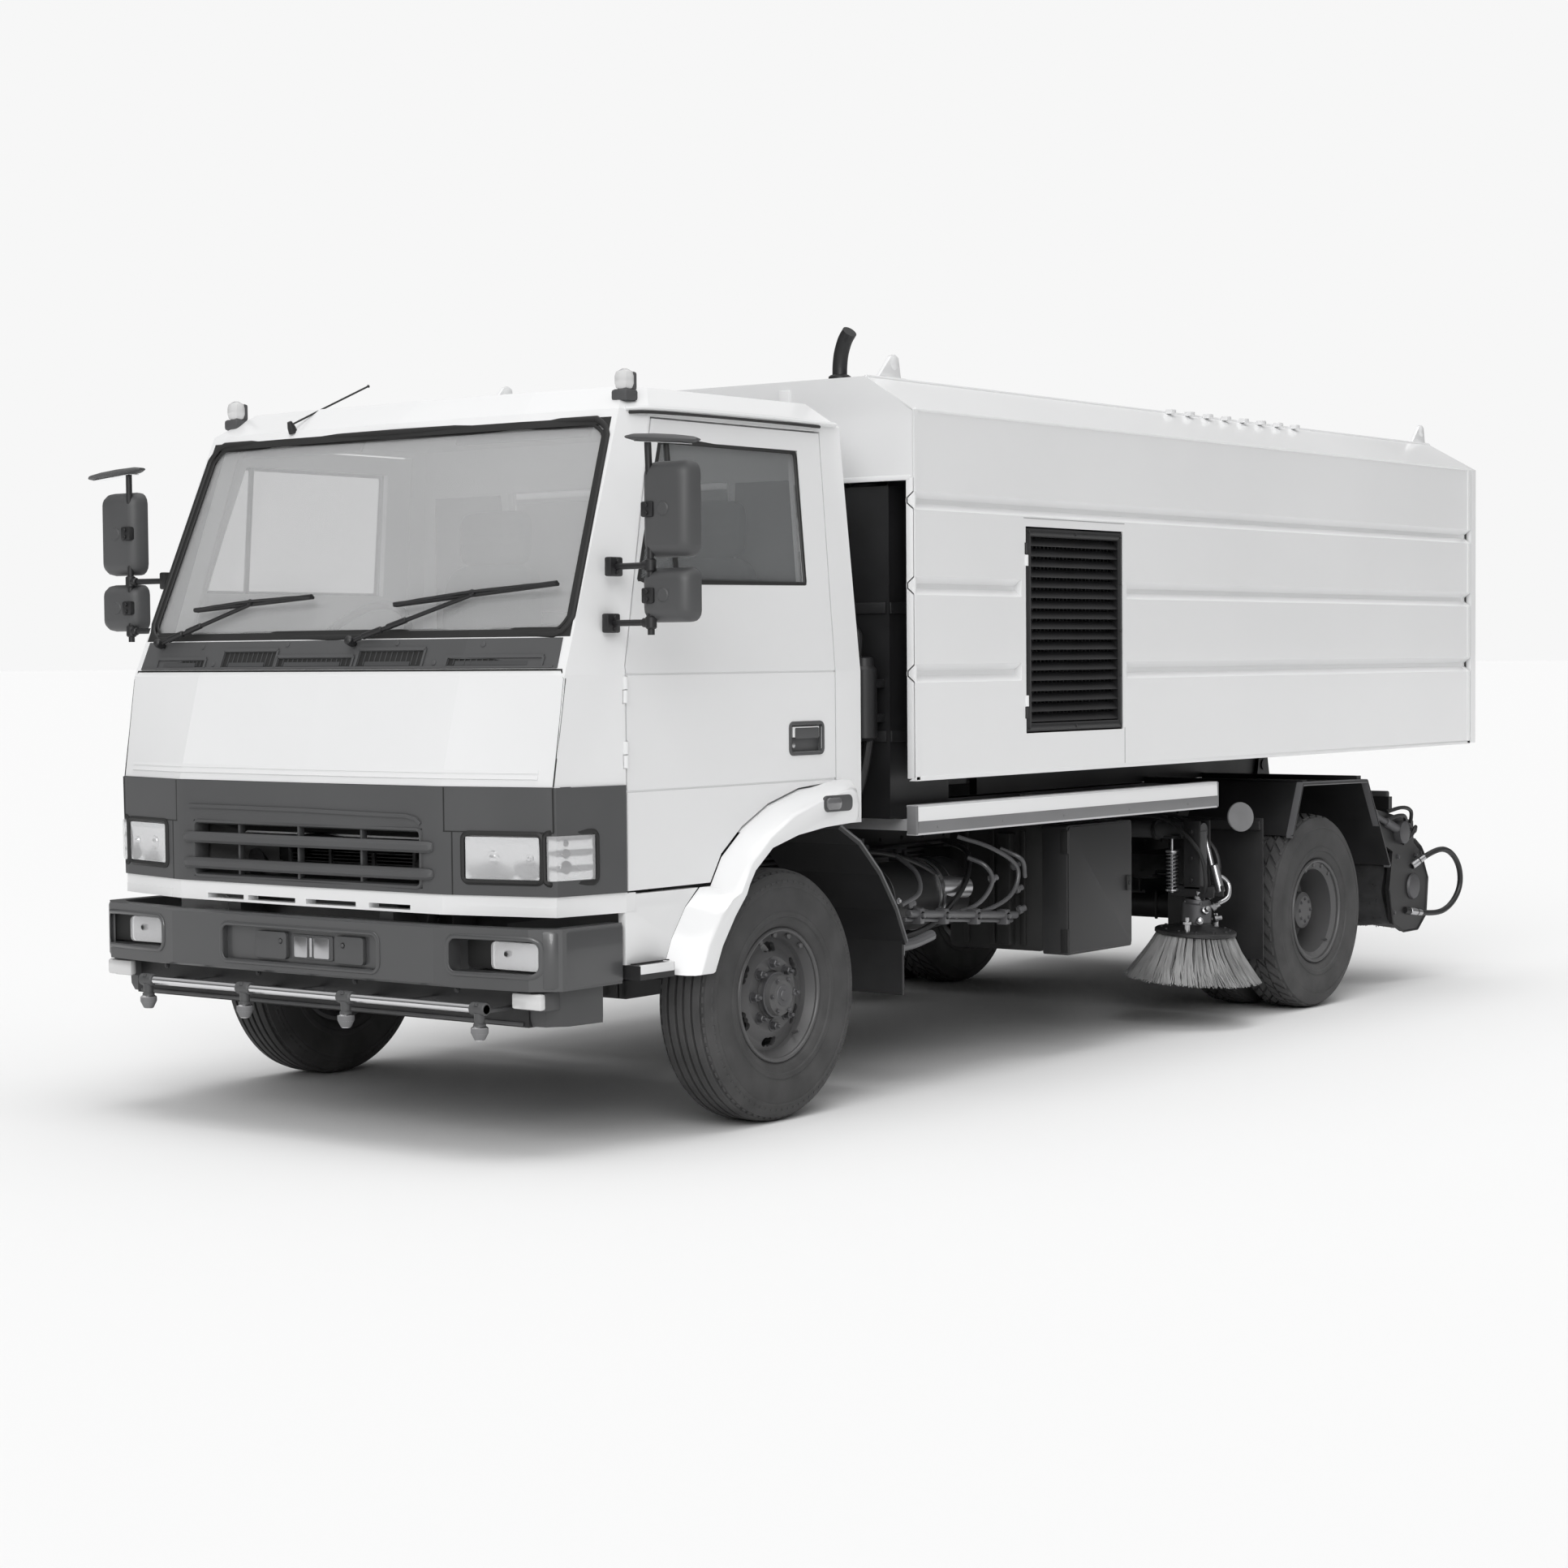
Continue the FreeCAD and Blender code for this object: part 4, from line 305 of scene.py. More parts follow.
class Finishes:
    """Every finish on the truck."""

    white = Finish("gloss_white_paint", "white_paint", (0.85, 0.853, 0.857), 0.30, Grain.SPRAYED, 0.012,
                   coat=0.5, dust=0.10, dust_top=1.0)
    black = Finish("satin_black_paint", "black_paint", (0.011, 0.011, 0.012), 0.45, Grain.CAST, 0.25,
                   dust=0.05, dust_top=1.1)
    grey = Finish("satin_grey_paint", "grey_paint", (0.055, 0.056, 0.058), 0.45, Grain.SPRAYED, 0.10,
                  dust=0.12)
    plastic = Finish("grained_dark_plastic", "dark_plastic", (0.075, 0.076, 0.078), 0.50,
                     Grain.MOULDED, 0.06, dust=0.06)
    seal = Finish("black_seal_rubber", "black_rubber", (0.012, 0.012, 0.012), 0.55, Grain.RUBBED, 0.12)
    tyre = Finish("dusty_tyre_rubber", "tyre", (0.038, 0.038, 0.039), 0.72, Grain.RUBBED, 0.20,
                  dust=0.16, dust_top=1.1)
    wheel = Finish("dark_wheel_paint", "wheel_steel", (0.075, 0.075, 0.077), 0.42, Grain.SPRAYED, 0.15,
                   dust=0.20)
    steel = Finish("machined_steel", "bare_steel", (0.50, 0.50, 0.51), 0.30, Grain.BRUSHED, 0.06,
                   metallic=1.0, stretch=(1, 0.1, 1))
    silver = Finish("silver_rail_paint", "silver_paint", (0.62, 0.62, 0.63), 0.40, Grain.BRUSHED, 0.05,
                    metallic=0.35, stretch=(1, 0.06, 1))
    chrome = Finish("bright_tube", "chrome", (0.72, 0.72, 0.73), 0.14, Grain.BRUSHED, 0.04,
                    metallic=1.0, stretch=(0.1, 1, 1))
    iron = Finish("cast_iron_parts", "bare_steel", (0.10, 0.10, 0.105), 0.50, Grain.CAST, 0.25,
                  metallic=0.6, dust=0.15, dust_top=1.0)
    bumper = Finish("satin_bumper_plastic", "dark_plastic", (0.068, 0.069, 0.071), 0.34, Grain.SPRAYED,
                    0.05, coat=0.25, dust=0.05)
    case = Finish("tool_box_paint", "black_paint", (0.022, 0.022, 0.023), 0.42, Grain.SPRAYED, 0.10,
                  dust=0.06)
    rail_shade = Finish("silver_rail_shade", "silver_paint", (0.20, 0.20, 0.205), 0.45, Grain.BRUSHED,
                        0.05)
    line = Finish("grey_air_line", "hose", (0.13, 0.13, 0.135), 0.30, Grain.RUBBED, 0.10)
    # Windscreen: its pale base colour under partial alpha is painted reflection of the bright sky; the
    # coat adds real reflection on top.
    screen = Finish("windscreen_painted_reflection", "glass", (0.76, 0.765, 0.77), 0.05, Grain.CLEAR, 0.03,
                    alpha=0.33, coat=1.0)
    rubber = Finish("grey_nozzle_rubber", "chrome", (0.20, 0.20, 0.205), 0.55, Grain.RUBBED, 0.10)
    reflector = Finish("lamp_reflector", "lamp_glass", (0.74, 0.745, 0.75), 0.16, Grain.CLEAR, 0.05,
                       metallic=0.85)
    amber = Finish("smoked_lens", "lamp_glass", (0.16, 0.16, 0.165), 0.15, Grain.CLEAR, 0.05, coat=0.8)
    lining = Finish("pale_cab_lining", "dark_plastic", (0.30, 0.30, 0.305), 0.70, Grain.MOULDED, 0.06)
    seam = Finish("seam_shadow", "white_paint", (0.36, 0.36, 0.365), 0.60, Grain.CAST, 0.10)
    roller = Finish("dark_roller_bristles", "bristle", (0.060, 0.060, 0.062), 0.70, Grain.FIBRE, 0.30)
    # Side glazing: its grey base colour under partial alpha is partly tint and partly painted
    # reflection of the surroundings.
    glass = Finish("cab_glazing_tint_and_painted_reflection", "glass", (0.30, 0.31, 0.315), 0.04, Grain.CLEAR, 0.05, alpha=0.34,
                   coat=1.0)
    lens = Finish("lamp_lens", "lamp_glass", (0.80, 0.80, 0.81), 0.08, Grain.CLEAR, 0.03, alpha=0.32,
                  coat=1.0)
    frosted = Finish("ribbed_lens", "lamp_glass", (0.70, 0.70, 0.70), 0.18, Grain.CLEAR, 0.05, coat=0.8)
    mirror_glass = Finish("mirror_glass", "chrome", (0.85, 0.86, 0.87), 0.04, Grain.CLEAR, 0.01,
                          metallic=1.0)
    fabric = Finish("woven_seat_cover", "seat_fabric", (0.050, 0.050, 0.053), 0.85, Grain.WOVEN, 0.14)
    bristle = Finish("straw_bristles", "bristle", (0.36, 0.36, 0.36), 0.62, Grain.FIBRE, 0.30,
                     stretch=(1, 1, 0.15))
    hose = Finish("hydraulic_hose", "hose", (0.016, 0.016, 0.017), 0.42, Grain.RUBBED, 0.10)


# ------------------------------------------------------------------ mesh building


class MeshSketch:
    """Collects forms in one bmesh that ends up as one piece."""

    def __init__(self) -> None:
        """Starts with an empty mesh."""
        self.mesh = bmesh.new()

    def face(self, points: Sequence[Point]) -> None:
        """Adds one face from its corners."""
        self.mesh.faces.new([self.mesh.verts.new(point) for point in points])

    def skin(self, rings: Sequence[Sequence[Point]], closed: bool = True, capped: bool = True) -> None:
        """Joins rings of equal length with quads.

        Args:
            rings: outlines in order, each with the same number of points.
            closed: whether each ring closes on itself.
            capped: whether the first and last ring are filled.
        """
        rows = [[self.mesh.verts.new(point) for point in ring] for ring in rings]
        count = len(rows[0])
        for lower, upper in zip(rows, rows[1:]):
            for index in range(count if closed else count - 1):
                after = (index + 1) % count
                self.mesh.faces.new((lower[index], lower[after], upper[after], upper[index]))
        if capped and closed:
            self.mesh.faces.new(list(reversed(rows[0])))
            self.mesh.faces.new(rows[-1])

    def block(self, low: Point, high: Point, bevel: float = 0.003,
              turn: Optional[Matrix] = None) -> None:
        """Adds a block with rounded edges.

        Args:
            low: lowest corner.
            high: highest corner.
            bevel: rounding of its edges.
            turn: rotation about the middle of the block.
        """
        middle = (Vector(low) + Vector(high)) / 2
        size = Vector(high) - Vector(low)
        matrix = Matrix.Translation(middle) @ (turn
                                               or Matrix.Identity(4)) @ Matrix.Diagonal((*size, 1.0))
        made = bmesh.ops.create_cube(self.mesh, size=1.0, matrix=matrix)
        self._round(made["verts"], min(bevel, min(size) * 0.45))

    def _round(self, corners: List[bmesh.types.BMVert], bevel: float) -> None:
        """Rounds every edge between the given corners."""
        if bevel <= 0:
            return
        edges = list({edge for corner in corners for edge in corner.link_edges})
        bmesh.ops.bevel(self.mesh, geom=edges, offset=bevel, segments=2, profile=0.5, affect="EDGES",
                        clamp_overlap=True)

    def prism(self, outline: Sequence[Tuple[float, float]], axis: str, span: Tuple[float, float],
              bevel: float = 0.0) -> None:
        """Adds an outline drawn across one axis and extruded along it.

        Args:
            outline: points in (y, z), (x, z) or (x, y) for axis x, y or z.
            axis: x, y or z.
            span: limits along the axis.
            bevel: rounding of the edges.
        """
        spot = "xyz".index(axis)
        rings = []
        for level in span:
            ring = []
            for first, second in outline:
                point = [first, second]
                point.insert(spot, level)
                ring.append(tuple(point))
            rings.append(ring)
        before = set(self.mesh.verts)
        self.skin(rings)
        if bevel > 0:
            self._round([corner for corner in self.mesh.verts if corner not in before], bevel)

    def lathe(self, centre: Point, axis: Point, profile: Sequence[Tuple[float, float]], sides: int = 32,
              capped: bool = True) -> None:
        """Turns a profile of (distance along the axis, radius) about an axis.

        Args:
            centre: point on the axis where the distance is nought.
            axis: direction of the axis.
            profile: closed or open profile; a radius of nought closes an end.
            sides: number of segments.
            capped: whether the ends are filled; a closed profile needs none.
        """
        frame = Vector(axis).normalized().to_track_quat("Z", "Y").to_matrix().to_4x4()
        frame = Matrix.Translation(Vector(centre)) @ frame
        rings = []
        for distance, radius in profile:
            radius = max(radius, 0.00005)
            rings.append([tuple(frame @ Vector((radius * math.cos(turn), radius * math.sin(turn),
                                                distance))) for turn in (2 * math.pi * step / sides
                                                                         for step in range(sides))])
        self.skin(rings, capped=capped)

    def rod(self, start: Point, end: Point, radius: float, sides: int = 14) -> None:
        """Adds a round bar with chamfered ends between two points."""
        length = (Vector(end) - Vector(start)).length
        edge = min(radius * 0.25, length * 0.2)
        profile = ((0, radius - edge), (edge, radius), (length - edge, radius), (length, radius - edge))
        self.lathe(start, tuple(Vector(end) - Vector(start)), profile, sides)

    def tube(self, points: Sequence[Point], radius: float, sides: int = 10) -> None:
        """Adds a round bar that follows a smooth line through several points.

        Args:
            points: points on the line.
            radius: radius of the bar.
            sides: number of segments round it.
        """
        line = smooth_line([Vector(point) for point in points])
        rings = []
        normal = Vector((0, 0, 1))
        for index, spot in enumerate(line):
            ahead = line[min(index + 1, len(line) - 1)] - line[max(index - 1, 0)]
            ahead.normalize()
            side = normal.cross(ahead)
            if side.length < 0.1:
                side = Vector((1, 0, 0)).cross(ahead)
            side.normalize()
            normal = ahead.cross(side).normalized()
            rings.append([tuple(spot + side * radius * math.cos(turn)
                                + normal * radius * math.sin(turn))
                          for turn in (2 * math.pi * step / sides for step in range(sides))])
        self.skin(rings)

    def bolt(self, spot: Point, axis: Point, radius: float = 0.009, height: float = 0.007) -> None:
        """Adds a washer with a six-sided head standing on a surface."""
        out = Vector(axis).normalized()
        foot = Vector(spot) - out * 0.001
        self.lathe(tuple(foot), axis, ((0, radius * 1.45), (0.003, radius * 1.4)), 16)
        self.lathe(tuple(foot), axis, ((0.002, radius), (height, radius),
                                       (height + 0.0015, radius * 0.8)), 6)

    def mirrored(self) -> "MeshSketch":
        """Adds the mirror image of everything so far on the other side of the truck."""
        copy = bmesh.ops.duplicate(self.mesh, geom=self.mesh.faces[:] + self.mesh.edges[:]
                                   + self.mesh.verts[:])
        faces = [item for item in copy["geom"] if isinstance(item, bmesh.types.BMFace)]
        for item in copy["geom"]:
            if isinstance(item, bmesh.types.BMVert):
                item.co.x = -item.co.x
        bmesh.ops.reverse_faces(self.mesh, faces=faces)
        return self

    def piece(self, name: str, finish: Finish, body: str, smooth: float = 35.0,
              replaces: Sequence[str] = ()) -> bpy.types.Object:
        """Turns the sketch into a piece that rides on a body.

        Args:
            name: name of the piece.
            finish: its finish.
            body: body of the frame that carries it.
            smooth: edges sharper than this angle in degrees stay hard.
            replaces: nodes of the frame that the piece stands for.

        Returns:
            The new object.
        """
        bmesh.ops.recalc_face_normals(self.mesh, faces=self.mesh.faces[:])
        data = bpy.data.meshes.new(name)
        self.mesh.to_mesh(data)
        self.mesh.free()
        made = bpy.data.objects.new(name, data)
        bpy.context.scene.collection.objects.link(made)
        return settle(made, finish, body, smooth, replaces)


def smooth_line(points: List[Vector], steps: int = 6) -> List[Vector]:
    """Smooth line through points.

    Args:
        points: points that the line passes.
        steps: divisions between two points.

    Returns:
        Points along the line.
    """
    if len(points) < 3:
        return points
    padded = [points[0] * 2 - points[1]] + points + [points[-1] * 2 - points[-2]]
    line = []
    for a, b, c, d in zip(padded, padded[1:], padded[2:], padded[3:]):
        for step in range(steps):
            t = step / steps
            line.append(0.5 * ((2 * b) + (c - a) * t + (2 * a - 5 * b + 4 * c - d) * t * t
                               + (3 * b - a - 3 * c + d) * t ** 3))
    line.append(points[-1])
    return line


def settle(made: bpy.types.Object, finish: Finish, body: str, smooth: float = 35.0,
           replaces: Sequence[str] = ()) -> bpy.types.Object:
    """Finishes a new piece and ties it to its body.

    Args:
        made: the object.
        finish: its finish.
        body: body of the frame that carries it.
        smooth: edges sharper than this angle in degrees stay hard.
        replaces: nodes of the frame that the piece stands for.

    Returns:
        The same object.
    """
    made.data.materials.clear()
    made.data.materials.append(finish.material())
    if made.type == "MESH":
        for face in made.data.polygons:
            face.use_smooth = True
        made.data.set_sharp_from_angle(angle=math.radians(smooth))
    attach(made, body)
    if replaces:
        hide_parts(*replaces)
    LOG.info("made %s on %s", made.name, body)
    return made


# ------------------------------------------------------------------ studio


@dataclass
class Studio:
    """Pale floor, soft light and the camera."""

    eye: Point = (6.9576, front(-7.7077), 1.5345)
    turn: float = 37.08
    dip: float = -2.487
    roll: float = -0.45
    lens: float = 67.67
    white: float = 0.93

    def build(self) -> None:
        """Makes the world, the lamps, the floor and the camera."""
        self._world()
        self._lamps()
        self._floor()
        self._camera()
        bpy.context.scene.view_settings.view_transform = "Standard"
        LOG.info("studio is ready")

    def _world(self) -> None:
        """Pale surroundings that are brighter to the eye than to the paint."""
        world = bpy.data.worlds.new("pale_studio")
        bpy.context.scene.world = world
        world.use_nodes = True
        tree = world.node_tree
        ground = tree.nodes["Background"]
        ground.inputs["Color"].default_value = (1.0, 1.0, 1.0, 1.0)
        path = tree.nodes.new("ShaderNodeLightPath")
        seen = tree.nodes.new("ShaderNodeMath")
        seen.operation = "MAXIMUM"
        tree.links.new(path.outputs["Is Camera Ray"], seen.inputs[0])
        tree.links.new(path.outputs["Is Transmission Ray"], seen.inputs[1])
        coordinates = tree.nodes.new("ShaderNodeTexCoord")
        split = tree.nodes.new("ShaderNodeSeparateXYZ")
        tree.links.new(coordinates.outputs["Generated"], split.inputs["Vector"])
        sky = tree.nodes.new("ShaderNodeMapRange")
        sky.inputs["From Min"].default_value = 0.12
        sky.inputs["From Max"].default_value = 0.80
        sky.inputs["To Min"].default_value = 0.05
        sky.inputs["To Max"].default_value = 0.78
        tree.links.new(split.outputs["Z"], sky.inputs["Value"])
        level = tree.nodes.new("ShaderNodeMapRange")
        tree.links.new(sky.outputs["Result"], level.inputs["To Min"])
        level.inputs["To Max"].default_value = self.white
        tree.links.new(seen.outputs["Value"], level.inputs["Value"])
        tree.links.new(level.outputs["Result"], ground.inputs["Strength"])

    def _lamps(self) -> None:
        """One broad light overhead and a weaker one from the front left."""
        rows = (("overhead", 1.05, 36.0, (0.05, 0.05, 1.0)),
                ("front_fill", 1.25, 45.0, (0.50, -1.0, 0.70)),
                ("sheen", 0.9, 16.0, (0.72, -0.75, 0.30)))
        for name, strength, spread, source in rows:
            lamp = bpy.data.lights.new(name, "SUN")
            lamp.energy = strength
            lamp.angle = math.radians(spread)
            holder = bpy.data.objects.new(name, lamp)
            holder.rotation_euler = Vector(source).to_track_quat("Z", "Y").to_euler()
            holder.visible_diffuse = name != "sheen"
            bpy.context.scene.collection.objects.link(holder)

    def _floor(self) -> None:
        """Broad pale floor that keeps the shadow of the truck."""
        sheet = MeshSketch()
        reach = 400.0
        sheet.face(((-reach, -reach, 0.0), (reach, -reach, 0.0), (reach, reach, 0.0),
                    (-reach, reach, 0.0)))
        data = bpy.data.meshes.new("floor")
        sheet.mesh.to_mesh(data)
        floor = bpy.data.objects.new("floor", data)
        bpy.context.scene.collection.objects.link(floor)
        material = bpy.data.materials.new("pale_floor")
        material.use_nodes = True
        tree = material.node_tree
        shader = tree.nodes["Principled BSDF"]
        shader.inputs["Roughness"].default_value = 1.0
        shader.inputs["Specular IOR Level"].default_value = 0.0
        shader.inputs["Base Color"].default_value = (0.84, 0.84, 0.84, 1.0)
        floor.data.materials.append(material)

    def _camera(self) -> None:
        """Camera at the side of the front left corner."""
        turn, dip, roll = (math.radians(angle) for angle in (self.turn, self.dip, self.roll))
        ahead = Vector((-math.sin(turn) * math.cos(dip), math.cos(turn) * math.cos(dip), math.sin(dip)))
        flat = Vector((math.cos(turn), math.sin(turn), 0.0))
        upright = flat.cross(ahead)
        across = flat * math.cos(roll) + upright * math.sin(roll)
        up = upright * math.cos(roll) - flat * math.sin(roll)
        rows = Matrix((across, up, -ahead)).transposed().to_4x4()
        data = bpy.data.cameras.new("camera")
        data.lens = self.lens
        data.sensor_width = 36.0
        data.clip_end = 1000.0
        camera = bpy.data.objects.new("camera", data)
        camera.matrix_world = Matrix.Translation(Vector(self.eye)) @ rows
        bpy.context.scene.collection.objects.link(camera)
        bpy.context.scene.camera = camera


@dataclass
class FrameDressing:
    """Gives every node of the frame its finish."""

    nodes: Dict[str, bpy.types.Object]
    slots: Dict[str, Finish] = field(default_factory=lambda: {
        "white_paint": Finishes.white, "black_paint": Finishes.black, "grey_paint": Finishes.grey,
        "dark_plastic": Finishes.plastic, "black_rubber": Finishes.seal, "tyre": Finishes.tyre,
        "wheel_steel": Finishes.wheel, "bare_steel": Finishes.steel, "silver_paint": Finishes.silver,
        "chrome": Finishes.chrome, "glass": Finishes.glass, "lamp_glass": Finishes.frosted,
        "seat_fabric": Finishes.fabric, "bristle": Finishes.bristle, "hose": Finishes.hose})

    def build(self, record: dict) -> None:
        """Assigns a finish to each node by its material slot.

        Args:
            record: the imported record.
        """
        for row in record["subparts"]:
            node = self.nodes.get(row["node"])
            if node is None:
                continue
            finish = self.slots[row["material_slot"]]
            # The windscreen takes the pale glass, whose base colour is painted reflection of the sky.
            if row["node"] == "cab_glass":
                finish = Finishes.screen
            if row["node"] == "bumper":
                finish = Finishes.bumper
            if row["node"] in ("gutter_arm_left", "gutter_arm_right"):
                finish = Finishes.grey
            node.data.materials.clear()
            node.data.materials.append(finish.material())
            for face in node.data.polygons:
                face.material_index = 0
        LOG.info("dressed %d nodes", len(self.nodes))


@dataclass(frozen=True)
class CabForm:
    """Outer surface of the cab, so that trim can follow it."""

    # height, then (x, distance ahead of the front axle) from the centre to the back of the corner
    rows: Tuple[Tuple[float, Tuple[Tuple[float, float], ...]], ...] = (
        (0.740, ((0.0, 1.075), (0.600, 1.063), (0.988, 0.963), (1.043, 0.700))),
        (1.138, ((0.0, 1.075), (0.600, 1.063), (0.988, 0.969), (1.043, 0.700))),
        (1.481, ((0.0, 0.985), (0.600, 0.971), (0.988, 0.917), (1.043, 0.700))),
        (2.318, ((0.0, 0.625), (0.560, 0.615), (0.934, 0.583), (0.970, 0.480))),
        (2.400, ((0.0, 0.500), (0.500, 0.492), (0.842, 0.464), (0.872, 0.370))))

    def outline(self, z: float) -> List[Tuple[float, float]]:
        """Half outline of the cab front at one height.

        Args:
            z: height.

        Returns:
            Pairs of x and y from the centre line outwards.
        """
        lower, upper = self.rows[0], self.rows[1]
        for first, second in zip(self.rows, self.rows[1:]):
            if z >= first[0]:
                lower, upper = first, second
        share = (z - lower[0]) / (upper[0] - lower[0])
        return [(a[0] + (b[0] - a[0]) * share, front(-(a[1] + (b[1] - a[1]) * share)))
                for a, b in zip(lower[1], upper[1])]

    def face(self, x: float, z: float) -> Vector:
        """Point on the cab front, reached by going back along the truck.

        Args:
            x: distance from the centre line.
            z: height.

        Returns:
            The point.
        """
        points = self.outline(z)
        reach = min(abs(x), points[-1][0])
        for first, second in zip(points, points[1:]):
            if reach <= second[0]:
                share = (reach - first[0]) / (second[0] - first[0])
                return Vector((x, first[1] + (second[1] - first[1]) * share, z))
        return Vector((x, points[-1][1], z))

    def out(self, x: float, z: float) -> Vector:
        """Direction square to the cab front at one place."""
        across = self.face(x + 0.004, z) - self.face(x - 0.004, z)
        up = self.face(x, z + 0.004) - self.face(x, z - 0.004)
        return across.cross(up).normalized()

    def strip(self, sketch: "MeshSketch", line: Sequence[Tuple[float, float]], width: float,
              proud: float, depth: float = 0.002) -> None:
        """Lays a flat strip on the cab front.

        Args:
            sketch: mesh that takes the strip.
            line: (x, z) points of its centre line.
            width: width of the strip.
            proud: height of its outer face over the cab.
            depth: thickness of the strip.
        """
        rings = []
        for index, (x, z) in enumerate(line):
            ahead = Vector(line[min(index + 1, len(line) - 1)]) - Vector(line[max(index - 1, 0)])
            aside = Vector((-ahead.y, ahead.x)).normalized() * width / 2
            out = self.out(x, z)
            low, high = self.face(x - aside.x, z - aside.y), self.face(x + aside.x, z + aside.y)
            base, top = proud - depth, proud
            rings.append([tuple(low + out * base), tuple(high + out * base), tuple(high + out * top),
                          tuple(low + out * top)])
        sketch.skin(rings)


CAB = CabForm()


def rounded(low: Tuple[float, float], high: Tuple[float, float], radius: float,
            steps: int = 4) -> List[Tuple[float, float]]:
    """Outline of a rectangle with round corners.

    Args:
        low: lowest corner.
        high: highest corner.
        radius: radius of the corners.
        steps: divisions of each corner.

    Returns:
        Points in order round the outline.
    """
    centres = ((high[0] - radius, high[1] - radius, 0), (low[0] + radius, high[1] - radius, 90),
               (low[0] + radius, low[1] + radius, 180), (high[0] - radius, low[1] + radius, 270))
    points = []
    for u, v, start in centres:
        for step in range(steps + 1):
            turn = math.radians(start + 90 * step / steps)
            points.append((u + radius * math.cos(turn), v + radius * math.sin(turn)))
    return points


# ------------------------------------------------------------------ wheels


class Tread(Enum):
    """Pattern that a tyre carries."""

    RIBS = "ribs"
    LUGS = "lugs"


@dataclass
class Tyre:
    """One node's tyres, with tread and moulded sidewall rings."""

    name: str
    node: str
    body: str
    middles: Tuple[float, ...]
    station: float
    tread: Tread
    outer: float = 0.418
    bead: float = 0.222
    half: float = 0.1125
    depth: float = 0.011

    def build(self) -> bpy.types.Object:
        """Makes the piece that stands for the plain tyres.

        Returns:
            The tyre piece.
        """
        sketch = MeshSketch()
        for middle in self.middles:
            self._carcass(sketch, middle)
            if self.tread is Tread.RIBS:
                self._ribs(sketch, middle)
            else:
                self._lugs(sketch, middle)
        return sketch.piece(self.name, Finishes.tyre, self.body, 28.0, (self.node,))

    def _carcass(self, sketch: MeshSketch, middle: float) -> None:
        """Adds the body of one tyre with its sidewall rings."""
        half, bead, top = self.half, self.bead, self.outer
        floor = top - self.depth
        wall = ((-0.72, bead), (-0.82, bead + 0.010), (-0.86, bead + 0.016), (-0.91, bead + 0.034),
                (-0.955, bead + 0.038), (-0.965, bead + 0.052), (-0.94, bead + 0.056),
                (-0.985, bead + 0.085), (-1.0, bead + 0.105), (-0.99, bead + 0.126),
                (-0.965, bead + 0.134), (-0.985, bead + 0.139), (-0.965, bead + 0.147),
                (-0.94, top - 0.045), (-0.90, top - 0.028), (-0.82, floor - 0.004),
                (-0.42, floor + 0.0005))
        profile = [(middle + half * share, radius) for share, radius in wall]
        profile += [(2 * middle - place, radius) for place, radius in reversed(profile)]
        profile.append(profile[0])
        sketch.lathe((0, self.station, AXLE_HEIGHT), (1, 0, 0), profile, 96, capped=False)

    def _crown(self, share: float) -> float:
        """Radius of the tread surface at a share of the half width."""
        beyond = max(0.0, abs(share) - 0.42) / 0.36
        return self.outer - 0.008 * min(1.0, beyond) ** 2

    def _ribs(self, sketch: MeshSketch, middle: float) -> None:
        """Adds five ribs round the tyre and notched shoulders."""
        for low, high in ((-0.10, 0.10), (0.17, 0.40), (-0.40, -0.17), (0.46, 0.70), (-0.70, -0.46)):
            edge = 0.012
            rows = ((low, -self.depth), (low + edge, -0.001), (low + 2 * edge, 0), (high - 2 * edge, 0),
                    (high - edge, -0.001), (high, -self.depth))
            profile = [(middle + self.half * share, self._crown(share) + drop) for share, drop in rows]
            profile.append(profile[0])
            sketch.lathe((0, self.station, AXLE_HEIGHT), (1, 0, 0), profile, 96, capped=False)
        for way in (-1, 1):
            self._blocks(sketch, middle, way, (0.745, 0.95), (self.outer - 0.009, self.outer - 0.040),
                         78, 0.62, 0.0)

    def _lugs(self, sketch: MeshSketch, middle: float) -> None:
        """Adds a waved centre rib and slanted lugs that reach over the shoulders."""
        for way in (-1, 1):
            self._blocks(sketch, middle, way, (0.02, 0.30), (self.outer, self.outer), 40, 0.74, 0.10)
            self._blocks(sketch, middle, way, (0.37, 0.72), (self.outer, self.outer - 0.006), 40, 0.66,
                         0.12)
            self._blocks(sketch, middle, way, (0.70, 0.965), (self.outer - 0.006, self.outer - 0.052),
                         40, 0.58, 0.05)

    def _blocks(self, sketch: MeshSketch, middle: float, way: int, span: Tuple[float, float],
                radii: Tuple[float, float], count: int, duty: float, skew: float) -> None:
        """Adds evenly spaced tread blocks round the tyre.

        Args:
            sketch: mesh that takes them.
            middle: x of the middle of the tyre.
            way: 1 for the outer half, -1 for the inner half.
            span: shares of the half width where a block starts and ends.
            radii: radius of its top at the start and at the end.
            count: number of blocks.
            duty: share of the pitch that a block fills.
            skew: turn of its end against its start, in radians.
        """
        pitch = 2 * math.pi / count
        for index in range(count):
            start = pitch * (index + (0.5 if way < 0 else 0.0))
            rings = []
            for share, top, lean in ((span[0], radii[0], 0.0), (span[1], radii[1], skew)):
                ring = []
                for turn, radius in ((0, top - 0.016), (duty, top - 0.016), (duty, top), (0, top)):
                    angle = start + lean + pitch * turn
                    ring.append((middle + way * self.half * share,
                                 self.station + radius * math.cos(angle),
                                 AXLE_HEIGHT + radius * math.sin(angle)))
                rings.append(ring)
            sketch.skin(rings)


